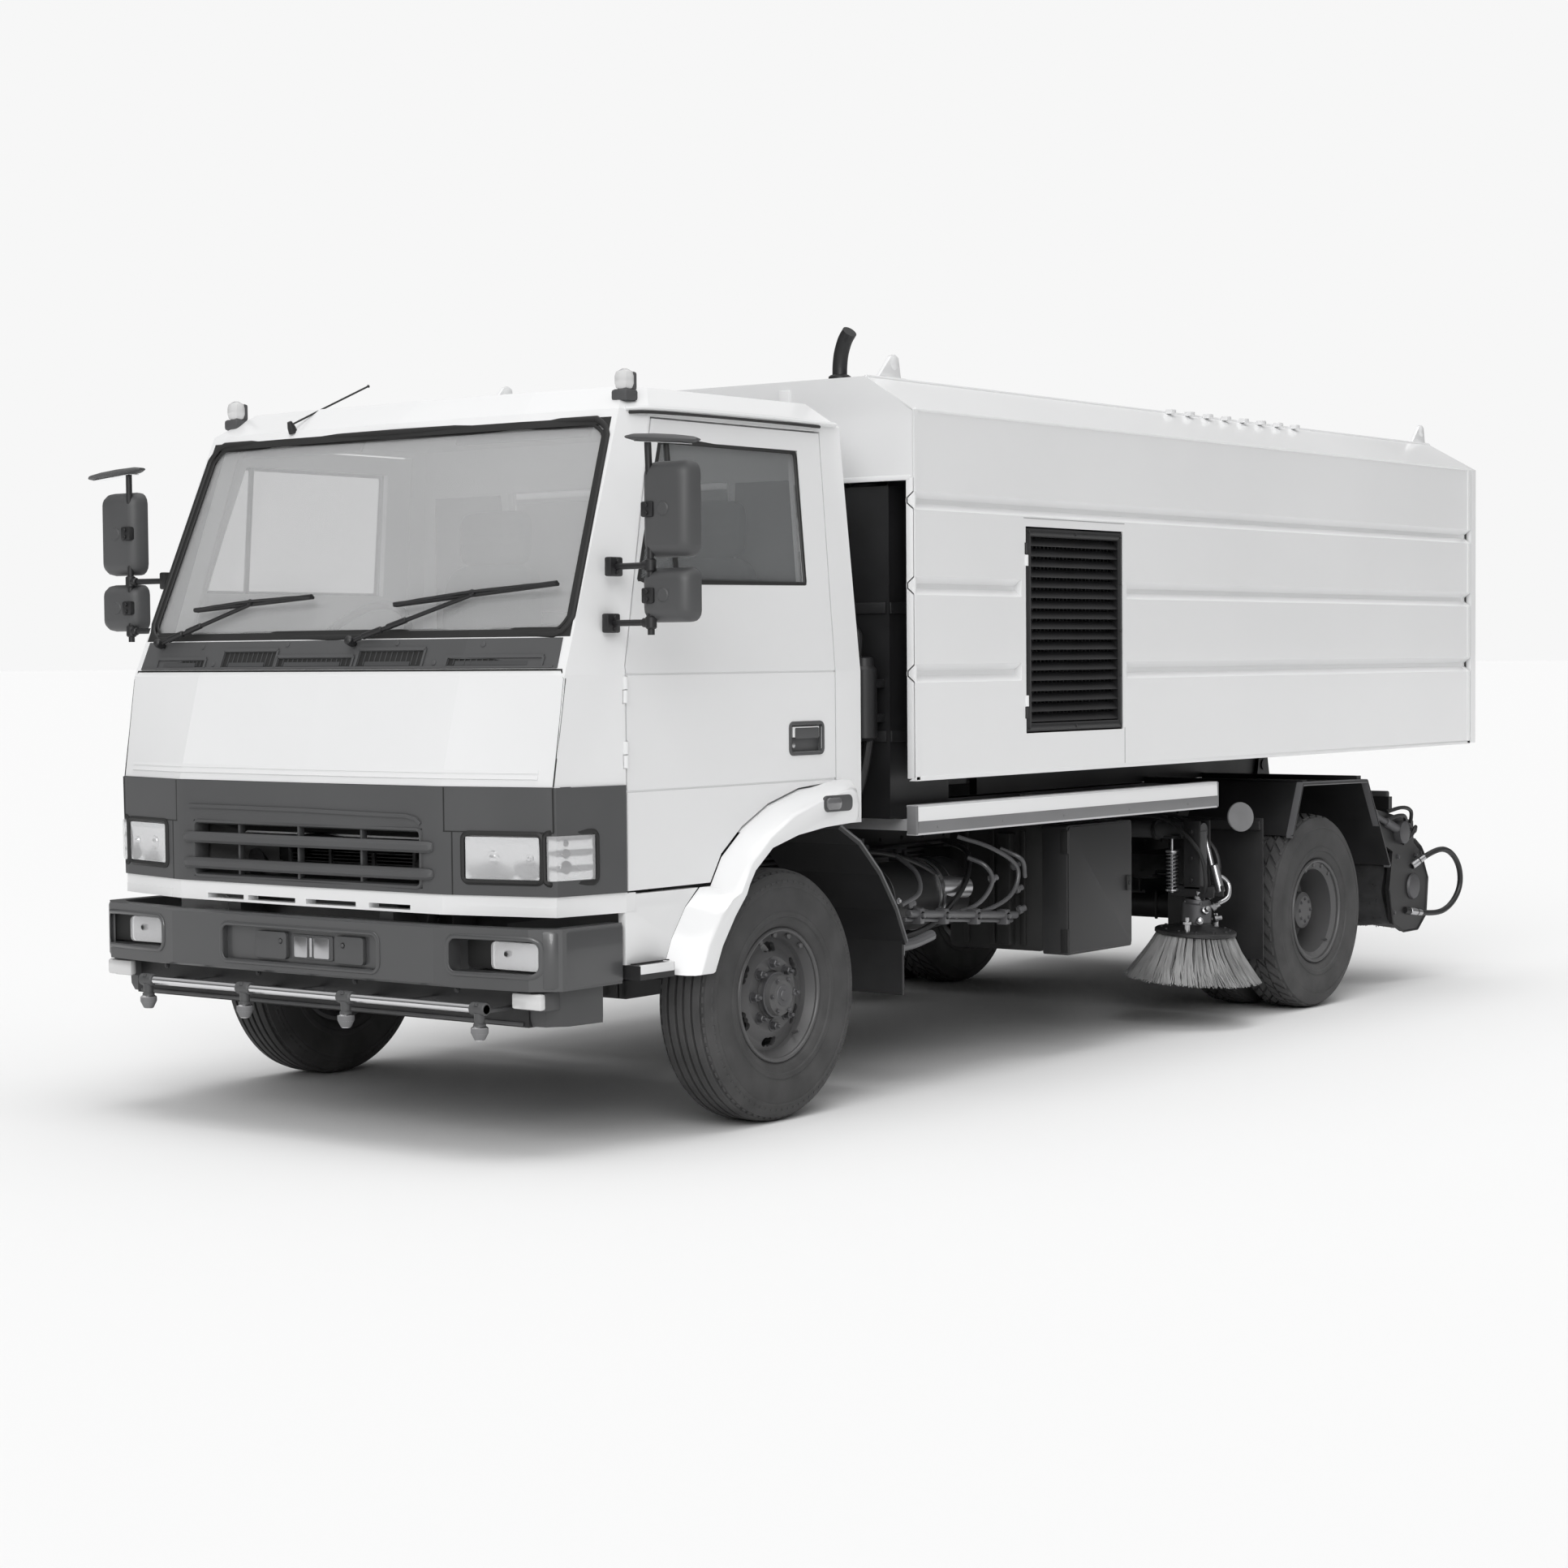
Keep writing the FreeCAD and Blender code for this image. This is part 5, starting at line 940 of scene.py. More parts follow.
@dataclass
class WheelHardware:
    """Nuts, studs, hub bolts and rim edge of one wheel."""

    side: str
    front_disc: float = 1.0755
    front_cap: float = 1.1235
    rear_disc: float = 0.9245
    rear_cap: float = 1.0825
    nut_count: int = 8

    def build(self) -> None:
        """Makes the hardware of the front and the rear wheel on one side."""
        way = SIDES[self.side]
        sketch = MeshSketch()
        self._nuts(sketch, way, front(0), self.front_disc, 0.103, 0.0135)
        self._caps(sketch, way, front(0), self.front_cap, 0.058, 6)
        self._hub_ring(sketch, way, front(0), self.front_cap - 0.030, 0.072)
        sketch.lathe((way * (self.front_cap - 0.001), front(0), AXLE_HEIGHT), (way, 0, 0),
                     ((0, 0.036), (0.003, 0.034), (0.003, 0.018), (0.007, 0.016)), 24)
        sketch.piece("front_wheel_nuts_" + self.side, Finishes.iron, "front_wheel_" + self.side)
        sketch = MeshSketch()
        self._rim(sketch, way, front(0), 1.0995)
        sketch.piece("front_rim_edge_" + self.side, Finishes.wheel, "front_wheel_" + self.side)
        sketch = MeshSketch()
        self._nuts(sketch, way, rear(0), self.rear_disc, 0.120, 0.0135)
        self._caps(sketch, way, rear(0), self.rear_cap, 0.048, 8)
        self._caps(sketch, way, rear(0), 0.9425, 0.092, 10)
        sketch.piece("rear_wheel_nuts_" + self.side, Finishes.iron, "rear_wheel_" + self.side)
        sketch = MeshSketch()
        self._rim(sketch, way, rear(0), 1.1295)
        sketch.piece("rear_rim_edge_" + self.side, Finishes.wheel, "rear_wheel_" + self.side)

    def _spots(self, station: float, face: float, circle: float, count: int) -> List[Point]:
        """Points evenly round a wheel centre."""
        return [(face, station + circle * math.cos(turn), AXLE_HEIGHT + circle * math.sin(turn))
                for turn in (2 * math.pi * index / count for index in range(count))]

    def _nuts(self, sketch: MeshSketch, way: int, station: float, face: float, circle: float,
              size: float) -> None:
        """Adds wheel nuts on their studs."""
        for x, y, z in self._spots(station, face, circle, self.nut_count):
            out = (way, 0, 0)
            sketch.lathe((way * (x - 0.001), y, z), out, ((0, size * 1.5), (0.004, size * 1.45)), 18)
            sketch.lathe((way * x, y, z), out, ((0.003, size), (0.020, size), (0.023, size * 0.8)), 6)
            sketch.lathe((way * x, y, z), out, ((0.020, size * 0.5), (0.033, size * 0.5),
                                                (0.035, size * 0.4)), 12)

    def _caps(self, sketch: MeshSketch, way: int, station: float, face: float, circle: float,
              count: int) -> None:
        """Adds a ring of small hub bolts."""
        for x, y, z in self._spots(station, face, circle, count):
            sketch.bolt((way * x, y, z), (way, 0, 0), 0.0055, 0.006)

    def _hub_ring(self, sketch: MeshSketch, way: int, station: float, face: float,
                  radius: float) -> None:
        """Adds a raised ring round the hub."""
        sketch.lathe((way * face, station, AXLE_HEIGHT), (way, 0, 0),
                     ((-0.008, radius), (-0.006, radius + 0.004), (0.004, radius + 0.004),
                      (0.006, radius)), 36)

    def _rim(self, sketch: MeshSketch, way: int, station: float, face: float) -> None:
        """Adds the rolled edge of the rim and the valve."""
        centre = (way * face, station, AXLE_HEIGHT)
        profile = [(0.004 + 0.008 * math.cos(turn), 0.216 + 0.008 * math.sin(turn))
                   for turn in (2 * math.pi * step / 10 for step in range(11))]
        sketch.lathe(centre, (way, 0, 0), profile, 72, capped=False)
        foot = (way * (face - 0.030), station + 0.120, AXLE_HEIGHT - 0.140)
        sketch.rod(foot, (way * (face + 0.004), station + 0.112, AXLE_HEIGHT - 0.131), 0.0045, 10)
        for index in range(4):
            turn = math.radians(50 + 22 * index)
            spot = (way * (face - 0.010), station + 0.200 * math.cos(turn),
                    AXLE_HEIGHT + 0.200 * math.sin(turn))
            sketch.rod(spot, (spot[0] + way * 0.014, spot[1], spot[2]), 0.010, 10)


# ------------------------------------------------------------------ cab front


def unroll(reach: float) -> float:
    """x on the cab front for a distance measured along its skin, round the corner.

    Args:
        reach: distance from the centre line along the skin.

    Returns:
        The matching x.
    """
    corner = 0.988
    return reach if reach <= corner else min(1.043, corner + (reach - corner) / 4.885)


@dataclass
class FrontLamps:
    """Headlamps, indicators, fog lamps and tail lamps with their reflectors and lenses."""

    # inner and outer distance along the skin of headlamp and indicator, lower and upper z
    head: Tuple[float, float, float, float] = (0.688, 0.936, 0.855, 0.985)
    signal: Tuple[float, float, float, float] = (0.963, 1.130, 0.852, 0.990)
    fog: Tuple[float, float, float, float] = (0.690, 0.980, 0.577, 0.668)
    fog_face: float = front(-1.046)
    tail: float = rear(1.116)

    def build(self) -> None:
        """Makes the reflectors, the bezels and the lenses."""
        mirrors, shells, bezels, bulbs = MeshSketch(), MeshSketch(), MeshSketch(), MeshSketch()
        self._headlamp(mirrors, shells)
        self._signal(mirrors, shells, bulbs)
        for low, high, foot, top in (self.head, self.signal):
            self._frame(bezels, rounded((low - 0.011, foot - 0.011), (high + 0.011, top + 0.011),
                                        0.020))
        for sketch in (mirrors, shells, bezels, bulbs):
            sketch.mirrored()
        for shift in (0.0, -self.fog[0] - self.fog[1]):
            self._fog(mirrors, shells, bezels, shift)
        mirrors.piece("lamp_reflectors", Finishes.reflector, "chassis", 20.0, ("lamps",))
        bulbs.piece("signal_bulbs", Finishes.amber, "chassis", 20.0)
        shells.piece("lamp_lenses", Finishes.lens, "chassis", 20.0)
        bezels.piece("lamp_bezels", Finishes.seal, "chassis", 20.0)
        self._tail()

    def _spot(self, reach: float, z: float, height: float) -> Vector:
        """Point over the cab skin at one distance along it."""
        x = unroll(reach)
        return CAB.face(x, z) + CAB.out(x, z) * height

    def _patch(self, sketch: MeshSketch, limits: Tuple[float, float, float, float],
               height: Callable[[float, float], float], columns: int = 18, rows: int = 12) -> None:
        """Lays a curved sheet over the cab front.

        Args:
            sketch: mesh that takes the sheet.
            limits: inner and outer reach, lower and upper z.
            height: distance over the cab from two shares between 0 and 1.
            columns: divisions across.
            rows: divisions upwards.
        """
        grid = []
        for row in range(rows + 1):
            v = row / rows
            z = limits[2] + (limits[3] - limits[2]) * v
            grid.append([tuple(self._spot(limits[0] + (limits[1] - limits[0]) * column / columns, z,
                                          height(column / columns, v)))
                         for column in range(columns + 1)])
        sketch.skin(grid, closed=False)

    def _headlamp(self, mirrors: MeshSketch, shells: MeshSketch) -> None:
        """Adds one headlamp: a broad bowl, a smaller one and a clear lens."""
        def bowl(u: float, v: float) -> float:
            broad = math.hypot((u - 0.36) * 1.9, (v - 0.5) * 1.1)
            small = math.hypot((u - 0.86) * 3.0, (v - 0.5) * 1.5)
            return 0.0010 + 0.0078 * min(1.0, 1.5 * min(broad, small) ** 1.4)

        def lens(u: float, v: float) -> float:
            edge = min(u, 1 - u, v, 1 - v)
            return 0.0102 + 0.0028 * min(1.0, edge * 8) ** 0.5
        self._patch(mirrors, self.head, bowl, 34, 22)
        self._patch(shells, self.head, lens)
        x0, x1, z0, z1 = self.head
        for share, size in ((0.36, 1.0), (0.86, 0.62)):
            reach, z = x0 + (x1 - x0) * share, (z0 + z1) / 2
            mirrors.lathe(tuple(self._spot(reach, z, 0.0)), tuple(CAB.out(reach, z)),
                          ((0.001, 0.024 * size), (0.0055, 0.020 * size), (0.0050, 0.013 * size),
                           (0.0082, 0.009 * size), (0.0092, 0.004 * size)), 20)

    def _frame(self, bezels: MeshSketch, outline: Sequence[Tuple[float, float]]) -> None:
        """Adds a raised frame that follows an outline on the cab skin."""
        rings = []
        count = len(outline)
        for index, (reach, z) in enumerate(outline):
            ahead = (Vector(outline[(index + 1) % count]) - Vector(outline[index - 1])).normalized()
            aside = Vector((-ahead.y, ahead.x)) * 0.0075
            inner, outer = (reach + aside.x, z + aside.y), (reach - aside.x, z - aside.y)
            rings.append([tuple(self._spot(*outer, 0.004)), tuple(self._spot(*outer, 0.0085)),
                          tuple(self._spot(reach, z, 0.0140)), tuple(self._spot(*inner, 0.0125)),
                          tuple(self._spot(*inner, 0.004))])
        rings.append(rings[0])
        bezels.skin(rings, capped=False)

    def _signal(self, mirrors: MeshSketch, shells: MeshSketch, bulbs: MeshSketch) -> None:
        """Adds one indicator that wraps round the corner, with two bulbs one over the other."""
        x0, _, z0, z1 = self.signal

        def ribbed(u: float, v: float) -> float:
            return 0.0040 + 0.0040 * abs(math.sin(9.0 * v)) * min(1.0, min(u, 1 - u) * 10)

        def lens(u: float, v: float) -> float:
            return 0.0102 + 0.0026 * min(1.0, min(u, 1 - u, v, 1 - v) * 8) ** 0.5
        self._patch(mirrors, self.signal, ribbed, 14, 18)
        self._patch(shells, self.signal, lens, 14, 10)
        for z, size in ((z0 + 0.040, 0.022), (z0 + 0.082, 0.016), (z1 - 0.022, 0.011)):
            reach = x0 + 0.058
            bulbs.lathe(tuple(self._spot(reach, z, 0.0)), tuple(CAB.out(unroll(reach), z)),
                        ((0.002, size), (0.0075, size), (0.0085, size * 0.7), (0.0098, size * 0.4)), 20)

    def _fog(self, mirrors: MeshSketch, shells: MeshSketch, bezels: MeshSketch, shift: float) -> None:
        """Adds one fog lamp in the left part of its bumper recess.

        Args:
            mirrors: mesh of the reflectors.
            shells: mesh of the lenses.
            bezels: mesh of the dark parts.
            shift: distance across from the lamp of the left side.
        """
        x0, x1, z0, z1 = self.fog[0] + shift, self.fog[1] + shift, self.fog[2], self.fog[3]
        face = self.fog_face
        split = x0 + 0.096
        rings = []
        for depth, inset in ((0.034, 0.030), (0.030, 0.018), (0.018, 0.004), (0.012, 0.0)):
            rings.append([(x, face + depth, z) for x,
                          z in rounded((split + inset, z0 + 0.003 + inset * 0.6),
                                       (x1 - inset, z1 - 0.003 - inset * 0.6), 0.014)])
        mirrors.skin(rings)
        shells.prism(rounded((split, z0 + 0.003), (x1, z1 - 0.003), 0.016), "y",
                     (face + 0.002, face + 0.006), 0.0015)
        bezels.lathe((split + 0.062, face + 0.012, (z0 + z1) / 2 + 0.006), (0, -1, 0),
                     ((0, 0.010), (0.008, 0.010), (0.011, 0.006)), 16)
        # The black plate deep in the rest of the recess is painted shade for the open hole through the
        # bumper.
        bezels.prism(rounded((x0 - 0.020, z0), (split - 0.006, z1), 0.012), "y",
                     (face + 0.022, face + 0.034), 0.002)

    def _tail(self) -> None:
        """Adds the three-chamber tail lamps on the rear bar."""
        bodies, shells = MeshSketch(), MeshSketch()
        bodies.prism(rounded((0.610, 0.786), (0.930, 0.880), 0.012), "y",
                     (self.tail, self.tail + 0.028), 0.003)
        for low, high in ((0.618, 0.712), (0.718, 0.830), (0.836, 0.922)):
            shells.prism(rounded((low, 0.794), (high, 0.872), 0.010), "y", (self.tail + 0.026,
                                                                           self.tail + 0.039), 0.004)
        bodies.mirrored().piece("tail_lamp_bodies", Finishes.plastic, "chassis",
                                replaces=("marker_lamps",))
        shells.mirrored().piece("tail_lamp_lenses", Finishes.amber, "chassis")


@dataclass
class GrillePanel:
    """Dark band of the cab front with its lamp openings, two bold slats and thin posts."""

    proud: float = 0.006
    # distances along the skin and heights at which the band is divided
    reaches: Tuple[float, ...] = (0.0, 0.525, 0.688, 0.936, 0.963, 0.9875, 0.9885, 1.130, 1.256)
    levels: Tuple[float, ...] = (0.803, 0.818, 0.852, 0.990, 1.006, 1.1375)
    # first and last division across, first and last division up, of each opening
    openings: Tuple[Tuple[int, int, int, int], ...] = ((0, 1, 1, 4), (2, 3, 2, 3), (4, 7, 2, 3))

    def build(self) -> None:
        """Makes the band, the slats and the air duct behind them."""
        sketch = MeshSketch()
        for column in range(len(self.reaches) - 1):
            for row in range(len(self.levels) - 1):
                if not any(a <= column < b and c <= row < d for a, b, c, d in self.openings):
                    self._cell(sketch, column, row)
        sketch.mirrored()
        self._mouth(sketch)
        for z in (0.9485, 0.8635):
            self._slat(sketch, z)
        for x in (-0.310, -0.025, 0.255):
            spot = CAB.face(x, 0.91)
            sketch.block((x - 0.005, spot.y + 0.002, 0.812), (x + 0.005, spot.y + 0.026, 1.012), 0.002)
        sketch.piece("grille_panel", Finishes.plastic, "chassis", 30.0, ("grille",))
        self._duct()

    def _cell(self, sketch: MeshSketch, column: int, row: int) -> None:
        """Adds one field of the band."""
        steps = 4 if column < 4 else 1
        low, high = self.reaches[column], self.reaches[column + 1]
        rings = []
        for step in range(steps + 1):
            x = unroll(low + (high - low) * step / steps)
            ring = []
            for z, height in ((self.levels[row], 0.0), (self.levels[row], self.proud),
                              (self.levels[row + 1], self.proud), (self.levels[row + 1], 0.0)):
                ring.append(tuple(CAB.face(x, z) + CAB.out(min(x, 1.040), z) * height))
            rings.append(ring)
        sketch.skin(rings)

    def _mouth(self, sketch: MeshSketch) -> None:
        """Adds the rolled rim of the air opening."""
        outline = rounded((-0.520, 0.822), (0.520, 1.002), 0.016, 3)
        count = len(outline)
        rings = []
        for index, (x, z) in enumerate(outline):
            ahead = (Vector(outline[(index + 1) % count]) - Vector(outline[index - 1])).normalized()
            aside = Vector((-ahead.y, ahead.x)) * 0.008
            ring = []
            for share, height in ((-1.0, 0.004), (-0.6, 0.011), (0.4, 0.011), (1.0, 0.002),
                                  (1.0, -0.048), (0.3, -0.048)):
                spot = CAB.face(x + aside.x * share, z + aside.y * share)
                ring.append((spot.x, spot.y - height, spot.z))
            rings.append(ring)
        rings.append(rings[0])
        sketch.skin(rings, capped=False)

    def _slat(self, sketch: MeshSketch, z: float) -> None:
        """Adds one bold slat with rounded ends that stands proud of the band."""
        rings = []
        rows = ((-0.574, 0.35, 0.007), (-0.570, 0.70, 0.014), (-0.558, 0.95, 0.021),
                (-0.530, 1.0, 0.025), (-0.28, 1.0, 0.026), (0.0, 1.0, 0.026), (0.28, 1.0, 0.026),
                (0.530, 1.0, 0.025), (0.558, 0.95, 0.021), (0.570, 0.70, 0.014), (0.574, 0.35, 0.007))
        for x, tall, proud in rows:
            face = CAB.face(x, z).y
            half = 0.018 * tall
            rings.append([(x, face + 0.012, z - half * 0.7), (x, face - proud * 0.6, z - half),
                          (x, face - proud, z - half * 0.5), (x, face - proud, z + half * 0.4),
                          (x, face - proud * 0.6, z + half), (x, face + 0.012, z + half)])
        sketch.skin(rings)

    def _duct(self) -> None:
        """Adds the dark duct from the opening to the radiator, and a black sheet behind the radiator
        that is painted shade.
        """
        sketch = MeshSketch()
        ends = ((front(-1.030), (-0.553, 0.806), (0.553, 1.016)), (front(-0.872), (-0.330, 0.620),
                                                                   (0.330, 0.936)))
        rings = [[(x, y, z) for x, z in rounded(low, high, 0.020)] for y, low, high in ends]
        inner = [[(x * 0.99, y, z) for x, z in rounded((low[0], low[1] + 0.004),
                                                       (high[0], high[1] - 0.004), 0.018)] for y, low,
                 high in reversed(ends)]
        sketch.skin([*rings, *inner, rings[0]], capped=False)
        # The black sheet behind the radiator is painted shade: it stands for the dark engine bay seen
        # through the grille.
        sketch.block((-0.440, front(-0.850), 0.600), (0.440, front(-0.842), 0.965), 0.002)
        sketch.piece("grille_duct", Finishes.seal, "chassis")


@dataclass
class FrontTrim:
    """Seams, swage, grille surround, cowl and screen details of the cab front."""

    band_top: float = 1.138
    band_seam: float = 1.000
    band_foot: float = 0.803
    band_proud: float = 0.006

    def build(self) -> None:
        """Makes the seams, the ribs and the trim."""
        self._seams()
        self._swages()
        self._cowl()
        self._screen()
        self._panel_lines()
        self._behind_grille()

    def _seams(self) -> None:
        """Dark gaps between the mouldings of the band."""
        sketch = MeshSketch()
        top = self.band_proud + 0.0006
        lift = 0.0014
        gaps = [((0.613, self.band_top - 0.002), (0.613, self.band_seam)),
                ((0.640, self.band_seam), (0.640, self.band_foot)),
                ((0.984, self.band_top - 0.002), (0.984, self.band_seam))]
        for line in gaps:
            for way in (-1, 1):
                CAB.strip(sketch, [(way * x, z) for x, z in line], 0.0045, top, lift)
        level = [(x, self.band_seam) for x in (-0.984, -0.8, -0.64, -0.61)]
        for way in (-1, 1):
            CAB.strip(sketch, [(way * x, z) for x, z in level], 0.004, top, lift)
        CAB.strip(sketch, [(x, self.band_top - 0.001) for x in (-1.0, -0.984, -0.6, 0, 0.6, 0.984,
                                                                1.0)], 0.004, 0.0035, 0.003)
        sketch.piece("band_seams", Finishes.seal, "chassis")

    def _swages(self) -> None:
        """Long raised ridge over the grille and the bead round its mouth."""
        sketch = MeshSketch()
        ridge = ((-0.545, 1.052), (-0.30, 1.052), (0.0, 1.051), (0.30, 1.046), (0.46, 1.044),
                 (0.500, 1.036), (0.520, 1.020))
        CAB.strip(sketch, ridge, 0.012, self.band_proud + 0.005, 0.006)
        sketch.piece("grille_surround", Finishes.plastic, "chassis")

    def _behind_grille(self) -> None:
        """Radiator mesh, hoses and a horn seen through the grille."""
        sketch = MeshSketch()
        face = front(-0.852)
        for index in range(30):
            z = 0.60 + 0.0115 * index
            sketch.block((-0.29, face - 0.004, z), (0.29, face, z + 0.004), 0.001)
        for x in (-0.29, -0.10, 0.10, 0.284):
            sketch.block((x - 0.004, face - 0.012, 0.592), (x + 0.010, face + 0.002, 0.938), 0.002)
        sketch.piece("radiator_fins", Finishes.grey, "chassis")
        sketch = MeshSketch()
        sketch.tube(((-0.22, front(-0.86), 0.90), (-0.20, front(-0.93), 0.93),
                     (-0.05, front(-0.95), 0.95), (0.10, front(-0.93), 0.93),
                     (0.20, front(-0.86), 0.92)), 0.018, 12)
        for x in (-0.38, 0.40):
            sketch.lathe((x, front(-0.90), 0.86), (0, -1, 0), ((-0.02, 0.020), (0.0, 0.026),
                                                               (0.025, 0.045), (0.030, 0.046),
                                                               (0.034, 0.030), (0.030, 0.010)), 24)
            sketch.rod((x, front(-0.88), 0.86), (x * 0.85, front(-0.82), 0.86), 0.012)
        sketch.piece("horns_and_hose", Finishes.black, "chassis")

    def _cowl(self) -> None:
        """Mesh behind the cowl vents, their raised rims, the clips between them, and a black sheet in
        the vents that is painted shade.
        """
        rims, mesh = MeshSketch(), MeshSketch()
        rows = ((-0.854, -0.587, 1.533), (-0.494, -0.240, 1.560), (-0.222, 0.120, 1.538),
                (0.150, 0.426, 1.559), (0.539, 0.893, 1.533))
        for low, high, top in rows:
            for x, z0, z1 in ((low - 0.006, 1.508, top + 0.004), (high + 0.006, 1.508, top + 0.004)):
                CAB.strip(rims, [(x, z0), (x, z1)], 0.009, 0.0085, 0.006)
            line = [(low - 0.006, 0), ((low + high) / 2, 0), (high + 0.006, 0)]
            CAB.strip(rims, [(x, top + 0.005) for x, _ in line], 0.010, 0.0085, 0.006)
            count = int((high - low) / 0.022)
            for index in range(1, count):
                x = low + (high - low) * index / count
                CAB.strip(mesh, [(x, 1.514), (x, top - 0.002)], 0.004, 0.0032, 0.002)
        for x, z in ((-0.62, 1.578), (-0.54, 1.52), (0.48, 1.52), (0.30, 1.583), (-0.20, 1.583),
                     (0.66, 1.577)):
            place, out = CAB.face(x, z), CAB.out(x, z)
            rims.lathe(tuple(place + out * 0.003), tuple(out), ((0, 0.010), (0.003, 0.009),
                                                                (0.004, 0.005)), 14)
        CAB.strip(rims, [(x, 1.5055) for x in (-0.94, -0.6, 0, 0.6, 0.94)], 0.006, 0.0075, 0.004)
        rims.piece("cowl_ribs", Finishes.plastic, "chassis")
        # The black sheet under the mesh in each vent is painted shade for the dark space behind the
        # vents.
        well = MeshSketch()
        for low, high, top in rows:
            middle = (1.510 + top) / 2
            CAB.strip(well, [(low + (high - low) * share, middle)
                             for share in (-0.02, 0.25, 0.5, 0.75, 1.02)], top - 1.506, 0.0020, 0.0015)
            CAB.strip(mesh, [(low + 0.03, 1.518), ((low + high) / 2, 1.518), (high - 0.05, 1.518)],
                      0.014, 0.0045, 0.003)
        mesh.piece("cowl_mesh", Finishes.grey, "chassis")
        well.piece("cowl_vent_painted_shade", Finishes.seal, "chassis")

    def _screen(self) -> None:
        """Rounded bead of rubber round the windscreen, and a thinner one inside it."""
        sketch = MeshSketch()
        corners = ((-0.968, 1.606), (0.968, 1.606), (0.912, 2.288), (-0.912, 2.288))
        line = []
        for index in range(len(corners)):
            before, here, after = (Vector(corners[(index + turn) % 4]) for turn in (-1, 0, 1))
            come, leave = (here - before).normalized(), (after - here).normalized()
            for share in (1.0, 0.55, 0.25, 0.0):
                line.append(tuple(here - come * 0.055 * share
                                  + leave * 0.055 * (1 - share) * (1 - share)))
            line.append(tuple(here + leave * 0.055))
            line.append(tuple(here + (after - here) * 0.5))
        for radius, lift, inset in ((0.010, 0.001, 0.0), (0.006, -0.004, 0.020)):
            rings = []
            count = len(line)
            for index, (x, z) in enumerate(line):
                ahead = (Vector(line[(index + 1) % count]) - Vector(line[index - 1])).normalized()
                aside = Vector((-ahead.y, ahead.x))
                x, z = x + aside.x * inset, z + aside.y * inset
                spot, out = CAB.face(x, z), CAB.out(x, z)
                across = (CAB.face(x + aside.x * 0.01, z + aside.y * 0.01) - spot).normalized()
                rings.append([tuple(spot + across * radius * math.cos(turn)
                                    + out * (lift + radius * 0.7 * math.sin(turn)))
                              for turn in (2 * math.pi * step / 8 for step in range(8))])
            rings.append(rings[0])
            sketch.skin(rings, capped=False)
        sketch.piece("windscreen_beads", Finishes.seal, "chassis")

    def _panel_lines(self) -> None:
        """Shut lines of the front panel and its lower flange."""
        sketch = MeshSketch()
        for way in (-1, 1):
            line = [(way * x, z) for x, z in ((0.984, 1.140), (0.986, 1.30), (0.987, 1.470),
                                              (0.972, 1.497))]
            CAB.strip(sketch, line, 0.005, 0.0012, 0.0016)
        CAB.strip(sketch, [(x, 1.4975) for x in (-0.975, -0.6, 0, 0.6, 0.975)], 0.005, 0.0012, 0.0016)
        sketch.piece("front_shut_lines", Finishes.seal, "chassis")
        sketch = MeshSketch()
        for z, width, proud in ((1.168, 0.012, 0.004), (1.185, 0.010, 0.002)):
            CAB.strip(sketch, [(x, z) for x in (-0.93, -0.6, 0, 0.6, 0.93)], width, proud, 0.004)
        for way in (-1, 1):
            CAB.strip(sketch, [(way * x, 0.7550) for x in (0.66, 0.80, 0.90, 0.986)], 0.0300, 0.0025,
                      0.005)
        sketch.piece("front_panel_swage", Finishes.white, "chassis")


